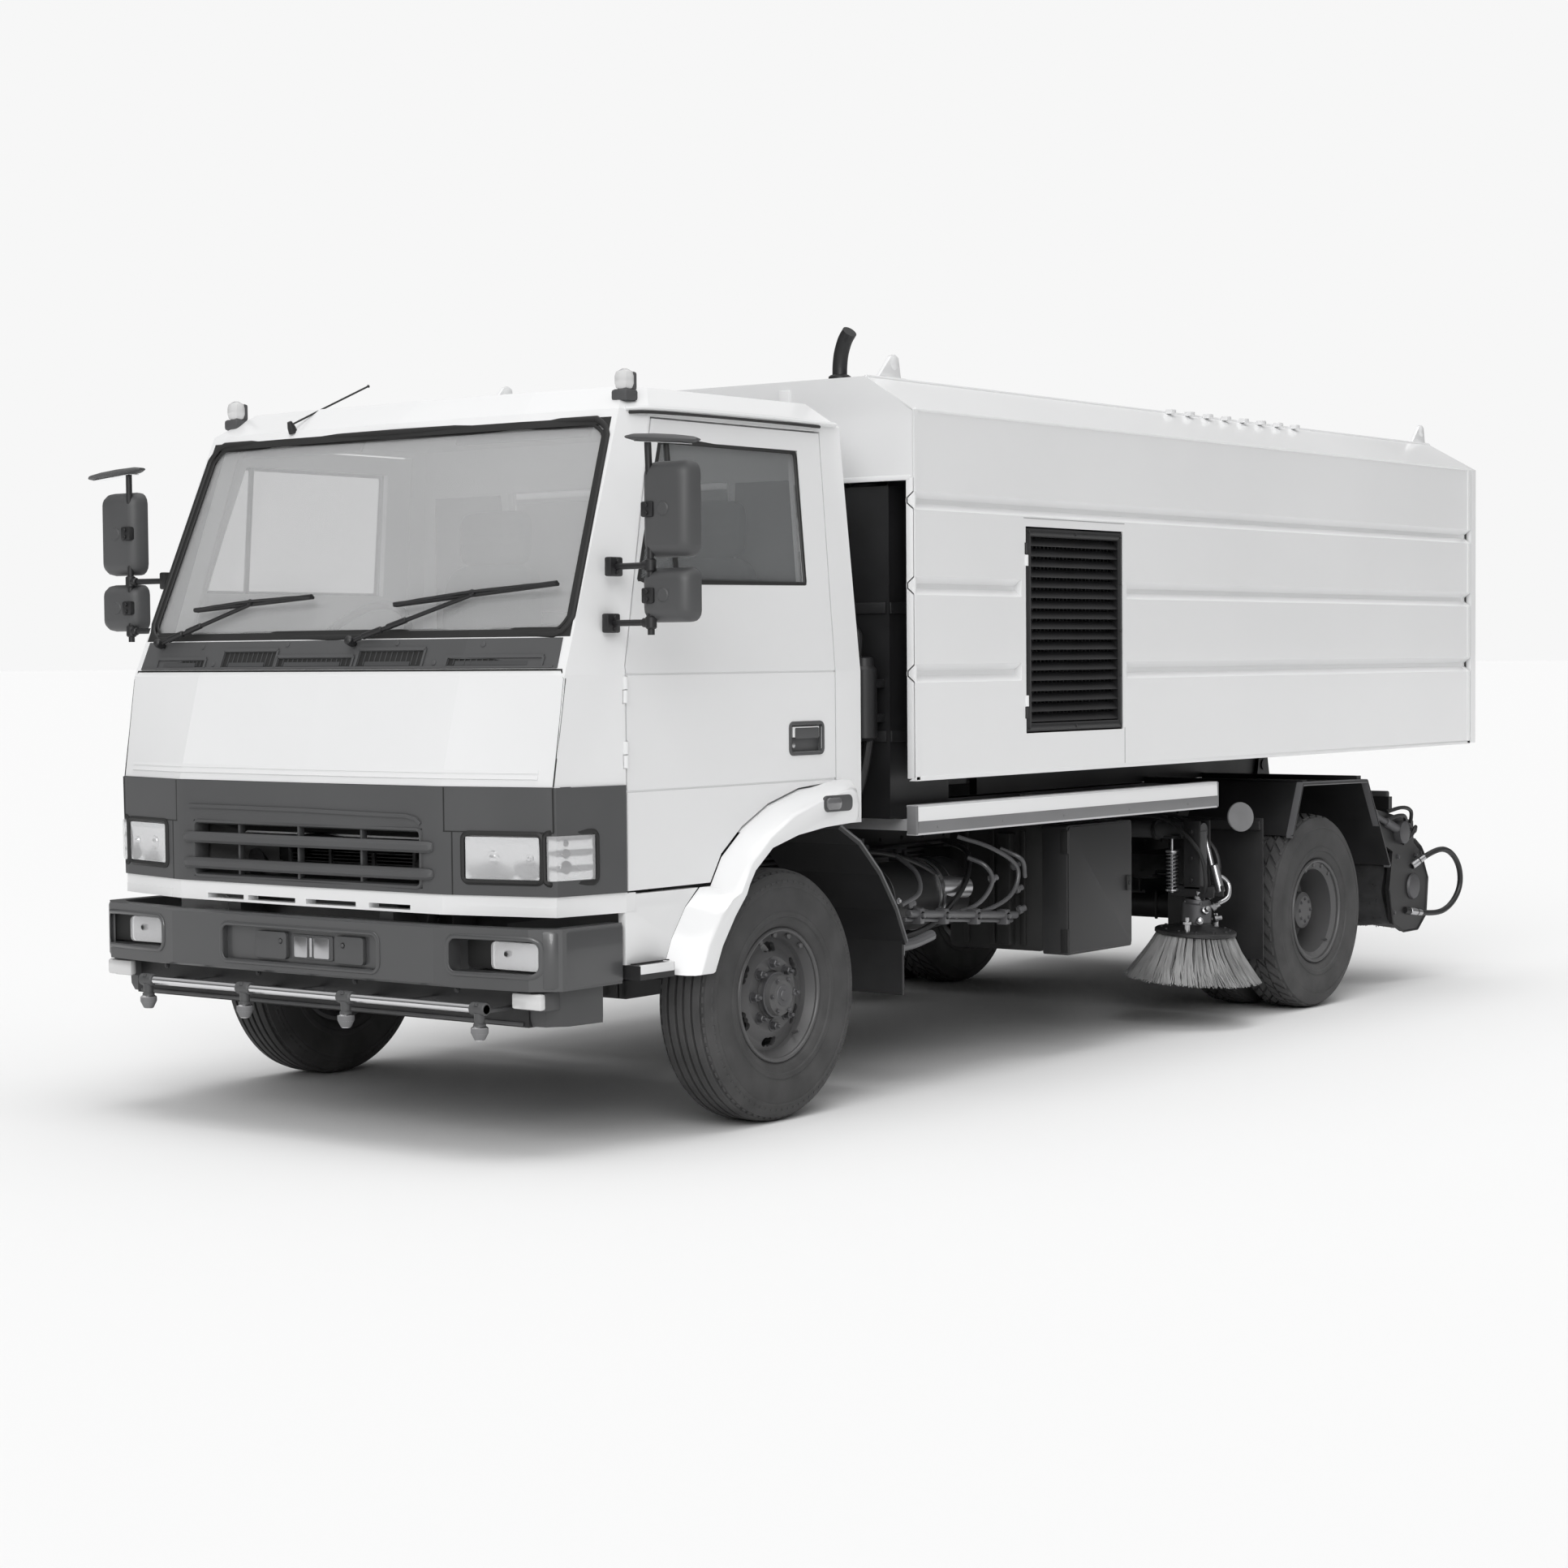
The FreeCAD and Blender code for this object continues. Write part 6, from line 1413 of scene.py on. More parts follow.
@dataclass
class SidePanels:
    """Wheel flares that end in a rounded tail, and the panels round the steps."""

    # outer and lip edge of the flare as (y, z), at the cab side, half way out and at its outer face
    root: Tuple[Tuple[float, float], ...] = ((-0.530, 0.530), (-0.480, 0.640), (-0.410, 0.735),
                                             (-0.335, 0.794), (-0.280, 0.794), (-0.222, 0.884),
                                             (-0.112, 0.967), (0.028, 1.035), (0.199, 1.080),
                                             (0.359, 1.105), (0.440, 1.112), (0.500, 1.108),
                                             (0.514, 1.050), (0.500, 0.985), (0.440, 0.985),
                                             (0.357, 0.982), (0.207, 0.978), (0.050, 0.960),
                                             (-0.101, 0.922), (-0.205, 0.862), (-0.245, 0.806),
                                             (-0.275, 0.778), (-0.325, 0.740), (-0.398, 0.650),
                                             (-0.446, 0.530))
    face: Tuple[Tuple[float, float], ...] = ((-0.468, 0.530), (-0.425, 0.620), (-0.365, 0.710),
                                             (-0.310, 0.756), (-0.262, 0.775), (-0.206, 0.862),
                                             (-0.104, 0.942), (0.030, 1.010), (0.200, 1.058),
                                             (0.300, 1.078), (0.350, 1.082), (0.378, 1.070),
                                             (0.388, 1.030), (0.384, 0.990), (0.370, 0.974),
                                             (0.340, 0.972), (0.207, 0.966), (0.050, 0.950),
                                             (-0.100, 0.912), (-0.192, 0.842), (-0.222, 0.800),
                                             (-0.240, 0.765), (-0.300, 0.700), (-0.366, 0.610),
                                             (-0.405, 0.530))
    half: float = 1.043
    reach: float = 1.157

    def build(self) -> None:
        """Makes both flares and both step surrounds."""
        sketch = MeshSketch()
        centre = (0.0, 0.90)
        rings = []
        for share, swell in ((0.0, 0.0), (0.30, 0.0), (0.60, 0.004), (0.85, 0.004), (0.97, 0.001),
                             (1.0, -0.006)):
            ring = []
            for (y0, z0), (y1, z1) in zip(self.root, self.face):
                y, z = y0 + (y1 - y0) * share, z0 + (z1 - z0) * share
                away = Vector((y - centre[0], z - centre[1])).normalized() * swell
                ring.append((self.half + (self.reach - self.half) * share,
                             front(y + away.x), z + away.y))
            rings.append(ring)
        sketch.skin(rings)
        outline = ((-0.705, 0.575), (-0.705, 0.740), (-0.655, 0.740), (-0.655, 0.794), (-0.342, 0.794),
                   (-0.410, 0.739), (-0.480, 0.644), (-0.510, 0.575))
        sketch.prism([(front(y), z) for y, z in outline], "x", (self.half - 0.030, self.half), 0.001)
        sketch.mirrored().piece("wheel_flares", Finishes.white, "chassis", 40.0, ("side_panels",))


@dataclass
class BumperTrim:
    """Plate bracket, recess rims, corner markers and steps at the front."""

    nose: float = front(-1.105)

    def build(self) -> None:
        """Makes the bumper details."""
        self._plate_bracket()
        self._recess_rims()
        self._apron()
        self._markers()
        self._steps()

    def _plate_bracket(self) -> None:
        """Blank number plate carrier in its recess."""
        sketch = MeshSketch()
        face = self.nose + 0.020
        for x0, x1 in ((-0.205, -0.060), (0.160, 0.290)):
            sketch.prism(rounded((x0, 0.566), (x1, 0.654), 0.012), "y", (face - 0.016, face + 0.002),
                         0.003)
        sketch.prism(rounded((-0.045, 0.570), (0.145, 0.650), 0.008), "y",
                     (face - 0.006, face + 0.002), 0.002)
        for x in (-0.085, 0.200):
            sketch.bolt((x, face - 0.014, 0.625), (0, -1, 0), 0.007, 0.005)
        sketch.piece("plate_carrier", Finishes.plastic, "chassis")
        sketch = MeshSketch()
        for x0, x1 in ((-0.030, 0.030), (0.060, 0.130)):
            sketch.prism(rounded((x0, 0.576), (x1, 0.644), 0.006), "y", (face - 0.009, face - 0.004),
                         0.001)
        sketch.rod((0.045, face - 0.005, 0.578), (0.045, face - 0.005, 0.642), 0.006)
        sketch.piece("plate_inserts", Finishes.steel, "chassis")

    def _recess_rims(self) -> None:
        """Raised lips round the recesses and the bumper's swage lines."""
        sketch = MeshSketch()
        self._lip(sketch, rounded((-0.362, 0.548), (0.362, 0.672), 0.030), lambda x: self.nose, 0.007)
        for way in (-1, 1):
            outline = rounded((0.652, 0.564), (0.992, 0.680), 0.032)
            self._lip(sketch, [(way * x, z) for x, z in outline], self._line, 0.008)
        for z in (0.7035, 0.5265):
            sketch.rod((-0.60, self.nose + 0.016, z), (0.60, self.nose + 0.016, z), 0.005, 10)
        self._corners(sketch)
        sketch.piece("bumper_lips", Finishes.bumper, "chassis")

    def _corners(self, sketch: MeshSketch) -> None:
        """Rounds the corners of the bumper with a shell that hugs it."""
        plan = ((0.995, -1.0385), (1.006, -1.0325), (1.018, -1.0235), (1.029, -1.0105), (1.037, -0.994),
                (1.0418, -0.972), (1.0440, -0.940), (1.0445, -0.860), (1.0440, -0.722))
        for way in (-1, 1):
            rings = []
            for z, pull in ((0.5215, 0.010), (0.526, 0.004), (0.534, 0.0), (0.696, 0.0), (0.704, 0.004),
                            (0.7085, 0.010)):
                outer = [(way * (x - pull * 0.8), front(y + pull * 0.3), z) for x, y in plan]
                inner = [(way * (x - 0.016), front(y + 0.010), z) for x, y in reversed(plan)]
                rings.append(outer + inner)
            sketch.skin(rings)

    def _line(self, x: float) -> float:
        """y of the bumper face at one distance from the centre line."""
        reach = abs(x)
        rows = ((0.600, -1.105), (0.960, -1.065), (1.040, -1.000))
        if reach <= rows[0][0]:
            return self.nose
        for (x0, y0), (x1, y1) in zip(rows, rows[1:]):
            if reach <= x1:
                return front(y0 + (y1 - y0) * (reach - x0) / (x1 - x0))
        return front(rows[-1][1])

    def _lip(self, sketch: MeshSketch, outline: Sequence[Tuple[float, float]],
             face: Callable[[float], float], width: float) -> None:
        """Adds a rounded lip along an outline on the bumper face."""
        rings = []
        count = len(outline)
        for index, (x, z) in enumerate(outline):
            ahead = (Vector(outline[(index + 1) % count]) - Vector(outline[index - 1])).normalized()
            aside = Vector((-ahead.y, ahead.x))
            ring = []
            for step in range(8):
                turn = 2 * math.pi * step / 8
                place = x + aside.x * width * math.cos(turn)
                ring.append((place, face(place) - 0.001 + 0.004 * math.sin(turn),
                             z + aside.y * width * math.cos(turn)))
            rings.append(ring)
        rings.append(rings[0])
        sketch.skin(rings, capped=False)

    def _apron(self) -> None:
        """Swept side returns of the lower apron."""
        sketch = MeshSketch()
        for way in (-1, 1):
            outline = ((0.885, front(-1.000)), (0.960, front(-0.985)), (1.005, front(-0.930)),
                       (1.020, front(-0.790)), (0.995, front(-0.790)), (0.975, front(-0.915)),
                       (0.940, front(-0.960)), (0.885, front(-0.965)))
            rings = []
            for z, pull in ((0.402, 0.012), (0.425, 0.004), (0.519, 0.0)):
                rings.append([(way * (x - pull), y + pull, z) for x, y in outline])
            sketch.skin(rings)
        for x in (-0.75, -0.30, 0.15, 0.60):
            sketch.bolt((x, front(-1.001), 0.500), (0, -1, 0), 0.007, 0.005)
        sketch.block((-0.880, front(-1.006), 0.404), (0.880, front(-0.998), 0.416), 0.003)
        sketch.piece("apron_returns", Finishes.grey, "chassis")

    def _markers(self) -> None:
        """Clear marker lamps at the ends of the apron and the pipe of the spray bar."""
        bodies, lenses, joints = MeshSketch(), MeshSketch(), MeshSketch()
        for way in (-1, 1):
            low, high = sorted((way * 0.875, way * 0.995))
            bodies.block((low + 0.006, front(-1.030), 0.458), (high - 0.006, front(-0.955), 0.516),
                         0.005)
            lenses.block((low, front(-1.052), 0.462), (high, front(-1.026), 0.513), 0.008)
        bodies.piece("corner_marker_bodies", Finishes.plastic, "chassis")
        lenses.piece("corner_marker_lenses", Finishes.frosted, "chassis")
        bar = front(-1.135)
        for x in (-0.69, -0.22, 0.245, 0.82):
            joints.lathe((x - 0.030, bar, 0.467), (1, 0, 0), ((0, 0.017), (0.003, 0.020),
                                                              (0.057, 0.020), (0.060, 0.017)), 18)
            joints.lathe((x, bar, 0.455), (0, 0, -1), ((0, 0.018), (0.030, 0.016), (0.034, 0.020),
                                                       (0.042, 0.020)), 14)
            joints.block((x - 0.016, bar + 0.014, 0.452), (x + 0.016, front(-0.998), 0.462), 0.003)
            joints.bolt((x, bar - 0.014, 0.480), (0, 0, 1), 0.006, 0.006)
        joints.piece("spray_joints", Finishes.plastic, "chassis")
        tips = MeshSketch()
        for x in (-0.69, -0.22, 0.245, 0.82):
            tips.lathe((x, bar, 0.3705), (0, 0, 1), ((0, 0.006), (0.002, 0.0165), (0.024, 0.0275),
                                                     (0.038, 0.0275), (0.047, 0.015)), 20)
        tips.piece("spray_tips", Finishes.rubber, "chassis")

    def _steps(self) -> None:
        """Ribbed treads on the steps below the doors."""
        sketch = MeshSketch()
        for way in (-1, 1):
            for index in range(9):
                x = 0.775 + index * 0.034
                low, high = sorted((way * x, way * (x + 0.010)))
                sketch.block((low, front(-0.690), 0.5745), (high, front(-0.508), 0.5785), 0.0015)
        sketch.piece("step_treads", Finishes.seal, "chassis")
        sketch = MeshSketch()
        sketch.block((1.092, front(-0.703), 0.548), (1.102, front(-0.538), 0.577), 0.003)
        sketch.block((0.980, front(-0.542), 0.548), (1.100, front(-0.534), 0.577), 0.003)
        sketch.mirrored().piece("step_edges", Finishes.white, "chassis")


# ------------------------------------------------------------------ cab sides and inside


@dataclass
class Wiper:
    """Rubber, frame and hub cap of one wiper."""

    side: str
    pivot: Tuple[float, float]
    lean: Tuple[float, float]
    heel: Tuple[float, float]
    tip: Tuple[float, float]
    height: float = 1.592

    def _spot(self, x: float, z: float, lift: float = 0.0) -> Point:
        """Point over the plane that the wiper sweeps."""
        out = Vector((self.lean[0], -1.0, self.lean[1])).normalized()
        y = front(self.pivot[1] + self.lean[0] * (x - self.pivot[0]) + self.lean[1] * (z - self.height))
        return tuple(Vector((x, y, z)) + out * lift)

    def build(self) -> None:
        """Makes the dressing that rides on the wiper."""
        sketch = MeshSketch()
        heel, tip = Vector(self.heel), Vector(self.tip)
        grip = (heel + tip) / 2
        for start, end, lift in ((0.18, 0.82, 0.010), (0.05, 0.38, 0.004), (0.62, 0.95, 0.004)):
            points = []
            for share in (0.0, 0.5, 1.0):
                spot = heel.lerp(tip, start + (end - start) * share)
                points.append(self._spot(spot.x, spot.y, lift + 0.008 * (1 - abs(2 * share - 1))))
            sketch.tube(points, 0.0045, 8)
        spot = self._spot(grip.x, grip.y, 0.004)
        out = (self.lean[0], -1.0, self.lean[1])
        sketch.lathe(spot, out, ((-0.004, 0.010), (0.010, 0.011), (0.013, 0.007)), 14)
        base = Vector((self.pivot[0], self.height))
        for share, radius in ((0.10, 0.011), (0.30, 0.010)):
            near = base.lerp(grip, share)
            far = base.lerp(grip, share + 0.16)
            sketch.rod(self._spot(near.x, near.y, 0.001), self._spot(far.x, far.y, 0.001), radius, 10)
        sketch.lathe(self._spot(base.x, base.y, 0.011), out, ((0, 0.0155), (0.004, 0.015),
                                                              (0.009, 0.010), (0.011, 0.004)), 18)
        sketch.piece("wiper_frame_" + self.side, Finishes.black, "wiper_" + self.side)
        rubber = MeshSketch()
        rings = []
        for share in (0.0, 0.25, 0.5, 0.75, 1.0):
            spot = heel.lerp(tip, share)
            low = [self._spot(spot.x, spot.y - 0.004, lift) for lift in (-0.013, -0.004)]
            high = [self._spot(spot.x, spot.y + 0.004, lift) for lift in (-0.004, -0.013)]
            rings.append(low + high)
        rubber.skin(rings)
        rubber.piece("wiper_rubber_" + self.side, Finishes.seal, "wiper_" + self.side)


@dataclass
class DoorTrim:
    """Window seals, handle, lock and inner lining of one door."""

    side: str
    skin: float = 1.043

    def build(self) -> None:
        """Makes the door details on one side."""
        way = SIDES[self.side]
        self._window(way)
        self._handle(way)
        self._inside(way)

    def _surface(self, z: float) -> float:
        """Distance of the door skin from the centre line."""
        rows = ((1.481, 1.043, 1.043), (2.318, 0.970, 0.980), (2.400, 0.872, 0.882))
        if z <= rows[0][0]:
            return self.skin
        for first, second in zip(rows, rows[1:]):
            if z <= second[0]:
                share = (z - first[0]) / (second[0] - first[0])
                return first[1] + (second[1] - first[1]) * share
        return rows[-1][1]

    def _window(self, way: int) -> None:
        """Rubber round the side window and its divider."""
        sketch = MeshSketch()
        line = ((front(-0.594), 1.778), (front(-0.560), 1.772), (front(0.275), 1.772),
                (front(0.285), 1.784), (front(0.285), 2.205), (front(0.272), 2.224),
                (front(-0.415), 2.225), (front(-0.440), 2.213))
        rings = []
        count = len(line)
        fine = []
        for index in range(count):
            first, second = Vector(line[index]), Vector(line[(index + 1) % count])
            pieces = max(1, int((second - first).length / 0.08))
            fine += [first.lerp(second, step / pieces) for step in range(pieces)]
        for index, (y, z) in enumerate(fine):
            ahead = (fine[(index + 1) % len(fine)] - fine[index - 1]).normalized()
            aside = Vector((-ahead.y, ahead.x))
            x = self._surface(z)
            ring = []
            for step in range(8):
                turn = 2 * math.pi * step / 8
                ring.append((way * (x - 0.003 + 0.006 * math.sin(turn)),
                             y + aside.x * 0.011 * math.cos(turn),
                             z + aside.y * 0.011 * math.cos(turn)))
            rings.append(ring)
        rings.append(rings[0])
        sketch.skin(rings, capped=False)
        x0, x1 = self._surface(1.775), self._surface(2.222)
        sketch.rod((way * (x0 - 0.018), front(-0.385), 1.770), (way * (x1 - 0.018), front(-0.385),
                                                                2.224), 0.010)
        sketch.piece("window_rubber_" + self.side, Finishes.seal, "door_" + self.side)

    def _handle(self, way: int) -> None:
        """Dark cup liner, flap edge and keyhole."""
        sketch = MeshSketch()
        x = self.skin
        outline = rounded((front(0.153), 1.206), (front(0.339), 1.310), 0.016)
        rings = []
        for index, (y, z) in enumerate(outline):
            ahead = (Vector(outline[(index + 1) % len(outline)])
                     - Vector(outline[index - 1])).normalized()
            aside = Vector((-ahead.y, ahead.x))
            rings.append([(way * (x - 0.001), y - aside.x * 0.006, z - aside.y * 0.006),
                          (way * (x + 0.004), y - aside.x * 0.004, z - aside.y * 0.004),
                          (way * (x + 0.004), y + aside.x * 0.006, z + aside.y * 0.006),
                          (way * (x - 0.013), y + aside.x * 0.009, z + aside.y * 0.009)])
        rings.append(rings[0])
        sketch.skin(rings, capped=False)
        low, high = sorted((way * (x - 0.0155), way * (x - 0.0135)))
        sketch.block((low, front(0.162), 1.215), (high, front(0.330), 1.301), 0.0005)
        low, high = sorted((way * (x - 0.012), way * (x + 0.0015)))
        sketch.block((low, front(0.184), 1.256), (high, front(0.318), 1.294), 0.005)
        sketch.piece("door_handle_" + self.side, Finishes.plastic, "door_" + self.side)
        lock = MeshSketch()
        lock.lathe((way * (x - 0.013), front(0.178), 1.236), (way, 0, 0), ((0, 0.009), (0.010, 0.009),
                                                                             (0.011, 0.005)), 18)
        lock.piece("door_lock_" + self.side, Finishes.steel, "door_" + self.side)

    def _inside(self, way: int) -> None:
        """Inner trim panel, pull and window winder."""
        sketch = MeshSketch()
        inner = self.skin - 0.046
        low, high = sorted((way * (inner - 0.010), way * (inner + 0.004)))
        sketch.block((low, front(-0.560), 1.120), (high, front(0.330), 1.700), 0.006)
        low, high = sorted((way * (inner - 0.045), way * (inner - 0.008)))
        sketch.block((low, front(-0.120), 1.430), (high, front(0.180), 1.470), 0.014)
        sketch.rod((way * (inner - 0.004), front(-0.300), 1.330),
                   (way * (inner - 0.034), front(-0.300), 1.330), 0.016)
        sketch.rod((way * (inner - 0.030), front(-0.300), 1.330),
                   (way * (inner - 0.034), front(-0.215), 1.300), 0.008)
        sketch.piece("door_lining_" + self.side, Finishes.plastic, "door_" + self.side)


@dataclass
class Mirrors:
    """Mirror heads with glass on a tube arm, and the look-down mirror over the door."""

    post: Tuple[float, float] = (1.195, front(-0.750))

    def build(self) -> None:
        """Makes the housings, arms and glasses of both sides."""
        housings, arms, glass = MeshSketch(), MeshSketch(), MeshSketch()
        heads = ((1.160, 1.352, 1.838, 2.132, 0.038), (1.156, 1.352, 1.640, 1.806, 0.034))
        for x0, x1, z0, z1, corner in heads:
            self._head(housings, glass, x0, x1, z0, z1, corner)
        self._look_down(housings, glass)
        x, y = self.post
        arms.tube(((x, y, 1.602), (x, y, 1.80), (x, y, 2.00), (x - 0.004, y - 0.004, 2.205)), 0.011, 14)
        for z, foot in ((1.815, -0.725), (1.640, -0.740)):
            arms.tube(((1.020 if z > 1.7 else 1.034, front(foot), z), (1.100, front(foot - 0.006), z),
                       (x, y, z)), 0.010, 12)
            arms.rod((x, y, z - 0.020), (x, y, z + 0.020), 0.018)
            arms.rod((x - 0.032, y, z), (x - 0.006, y, z), 0.0145)
            arms.block((1.012, front(foot) - 0.030, z - 0.030), (1.040, front(foot) + 0.030,
                                                                 z + 0.030), 0.006)
            arms.bolt((1.040, front(foot), z + 0.018), (1, 0, 0), 0.006, 0.005)
            arms.bolt((1.040, front(foot), z - 0.018), (1, 0, 0), 0.006, 0.005)
        for z in (1.985, 1.722):
            arms.block((x - 0.022, y - 0.022, z - 0.024), (x + 0.026, y + 0.006, z + 0.024), 0.006)
            arms.bolt((x + 0.002, y - 0.021, z + 0.012), (0, -1, 0), 0.007, 0.006)
            arms.bolt((x + 0.002, y - 0.021, z - 0.012), (0, -1, 0), 0.007, 0.006)
        housings.mirrored().piece("mirror_housings", Finishes.plastic, "chassis", 40.0, ("mirrors",))
        arms.mirrored().piece("mirror_arms", Finishes.black, "chassis")
        glass.mirrored().piece("mirror_faces", Finishes.mirror_glass, "chassis", 20.0)

    def _head(self, housings: MeshSketch, glass: MeshSketch, x0: float, x1: float, z0: float, z1: float,
              corner: float) -> None:
        """Adds one dished housing with its glass facing back."""
        rings = []
        for y, pull in ((-0.764, 0.040), (-0.762, 0.028), (-0.752, 0.014), (-0.735, 0.004),
                        (-0.712, 0.0), (-0.696, 0.001), (-0.692, 0.005), (-0.700, 0.009)):
            outline = rounded((x0 + pull, z0 + pull), (x1 - pull, z1 - pull),
                              max(0.010, corner - pull * 0.5))
            rings.append([(x, front(y), z) for x, z in outline])
        housings.skin(rings)
        outline = rounded((x0 + 0.009, z0 + 0.009), (x1 - 0.009, z1 - 0.009), corner - 0.008)
        glass.prism(outline, "y", (front(-0.702), front(-0.696)), 0.001)
        housings.rod(((x0 + x1) / 2, front(-0.752), (z0 + z1) / 2), ((x0 + x1) / 2, front(-0.768),
                                                                      (z0 + z1) / 2), 0.022)

    def _look_down(self, housings: MeshSketch, glass: MeshSketch) -> None:
        """Adds the shallow mirror that looks down at the kerb."""
        rings = []
        for share, swell in ((0.0, 0.35), (0.12, 0.8), (0.4, 1.0), (0.7, 0.95), (0.92, 0.7),
                             (1.0, 0.3)):
            x = 1.114 + (1.392 - 1.114) * share
            z = 2.209 - 0.022 * share
            ring = []
            for step in range(14):
                turn = 2 * math.pi * step / 14
                ring.append((x, front(-0.758) + 0.041 * swell * math.cos(turn),
                             z + 0.014 * swell * math.sin(turn)))
            rings.append(ring)
        housings.skin(rings)
        glass.prism(((1.160, 2.1915), (1.350, 2.176), (1.350, 2.179), (1.160, 2.1945)), "y",
                    (front(-0.782), front(-0.734)), 0.001)


@dataclass
class Interior:
    """Seats, steering wheel, dashboard and the back wall of the cab."""

    floor: float = 1.000

    def build(self) -> None:
        """Makes everything seen through the glass."""
        for side in SIDES:
            self._seat(side)
        self._dash()
        self._wheel()

    def _cushion(self, name: str, low: Point, high: Point, lean: float, replaces: Sequence[str],
                 channels: int) -> None:
        """Makes one crowned cushion with sewn channels.

        Args:
            name: name of the piece.
            low: lowest corner.
            high: highest corner.
            lean: backward lean of its upper end, as a share of its height.
            replaces: nodes that it stands for.
            channels: number of seams across its face.
        """
        sketch = MeshSketch()
        size = Vector(high) - Vector(low)
        middle = (Vector(low) + Vector(high)) / 2
        bmesh.ops.create_cube(sketch.mesh, size=1.0)
        bmesh.ops.subdivide_edges(sketch.mesh, edges=sketch.mesh.edges[:], cuts=15, use_grid_fill=True)
        for vert in sketch.mesh.verts:
            u, v, w = vert.co.x * 2, vert.co.y * 2, vert.co.z * 2
            flat = 5.0
            norm = (abs(u) ** flat + abs(v) ** flat + abs(w) ** flat) ** (1 / flat)
            u, v, w = u / norm, v / norm, w / norm
            wide, tall = (u, w) if size.z > size.y else (u, v)
            crown = 1.0 - 0.16 * max(abs(wide), abs(tall)) ** 3
            seam = 1.0
            for index in range(channels):
                place = -0.7 + 1.4 * (index + 0.5) / channels
                seam -= 0.10 * math.exp(-((tall - place) / 0.035) ** 2)
            for place in (-0.62, 0.62):
                seam -= 0.09 * math.exp(-((wide - place) / 0.03) ** 2)
            if size.z > size.y:
                v *= crown * seam
            else:
                w *= crown * seam
            x = middle.x + u * size.x / 2
            z = middle.z + w * size.z / 2
            vert.co = (x, middle.y + v * size.y / 2 + lean * (z - low[2]), z)
        sketch.piece(name, Finishes.fabric, "chassis", 60.0, replaces)

    def _seat(self, side: str) -> None:
        """Makes the base, back, head rest and frame of one seat."""
        way = SIDES[side]
        x0, x1 = sorted((way * 0.262, way * 0.738))
        nodes = ("seats",) if way > 0 else ()
        self._cushion("seat_cushion_" + side, (x0, front(-0.115), 1.235), (x1, front(0.325), 1.405),
                      0.0, nodes, 3)
        self._cushion("seat_backrest_" + side, (x0 + 0.010, front(0.292), 1.350),
                      (x1 - 0.010, front(0.395), 1.880), 0.085, (), 4)
        self._cushion("head_rest_" + side, (x0 + 0.075, front(0.352), 1.875),
                      (x1 - 0.075, front(0.432), 2.078), 0.05, (), 1)
        sketch = MeshSketch()
        sketch.block((x0 + 0.060, front(-0.080), 1.000), (x1 - 0.060, front(0.280), 1.060), 0.010)
        sketch.block((x0 + 0.020, front(-0.100), 1.195), (x1 - 0.020, front(0.320), 1.245), 0.012)
        for y in (-0.03, 0.23):
            for x in (x0 + 0.09, x1 - 0.09):
                sketch.rod((x, front(y), 1.050), (x, front(y), 1.205), 0.018)
        for z in (1.08, 1.12, 1.16):
            sketch.block((x0 + 0.080, front(-0.050), z), (x1 - 0.080, front(0.260), z + 0.014), 0.006)
        sketch.piece("seat_frame_" + side, Finishes.black, "chassis")

    def _dash(self) -> None:
        """Instrument hood, vents, grab handle, dial rims, centre console lever, back wall lining and
        sun visors.
        """
        sketch = MeshSketch()
        sketch.prism(((front(-0.790), 1.505), (front(-0.600), 1.470), (front(-0.560), 1.530),
                      (front(-0.640), 1.590), (front(-0.760), 1.560)), "x", (-0.700, -0.300), 0.012)
        sketch.prism(((front(-0.640), 1.495), (front(-0.560), 1.395), (front(-0.548), 1.400),
                      (front(-0.630), 1.505)), "x", (-0.900, 0.900), 0.003)
        for x in (-0.80, -0.12, 0.12, 0.80):
            for index in range(5):
                z = 1.425 + 0.012 * index
                sketch.block((x - 0.060, front(-0.600 - 0.009 * index), z),
                             (x + 0.060, front(-0.588 - 0.009 * index), z + 0.004), 0.001)
        sketch.tube(((0.30, front(-0.62), 1.47), (0.32, front(-0.56), 1.51), (0.50, front(-0.55), 1.52),
                     (0.68, front(-0.56), 1.51), (0.70, front(-0.62), 1.47)), 0.012)
        sketch.tube(((0.02, front(-0.45), 1.002), (0.02, front(-0.43), 1.15),
                     (0.03, front(-0.38), 1.32)), 0.011)
        sketch.lathe((0.03, front(-0.380), 1.310), (0, 0.2, 1), ((0, 0.012), (0.010, 0.024),
                                                                 (0.040, 0.026), (0.056, 0.014)), 18)
        sketch.piece("dash_details", Finishes.plastic, "chassis")
        dials = MeshSketch()
        for x in (-0.60, -0.50, -0.40):
            dials.lathe((x, front(-0.595), 1.520), (0, 1, 0.35), ((0, 0.040), (0.006, 0.040),
                                                                  (0.008, 0.036)), 28)
        dials.piece("dial_rims", Finishes.steel, "chassis")
        wall = MeshSketch()
        for x0, x1 in ((-0.90, -0.55), (0.55, 0.90)):
            wall.block((x0, front(0.490), 1.120), (x1, front(0.516), 2.150), 0.010)
        wall.block((-0.50, front(0.490), 1.120), (0.50, front(0.516), 1.660), 0.010)
        wall.piece("back_wall_lining", Finishes.lining, "chassis")
        visor = MeshSketch()
        for x0, x1 in ((-0.80, -0.22), (0.22, 0.80)):
            visor.block((x0, front(-0.555), 2.230), (x1, front(-0.540), 2.335), 0.006,
                        Matrix.Rotation(math.radians(-28), 4, "X"))
        visor.piece("sun_visors", Finishes.lining, "chassis")

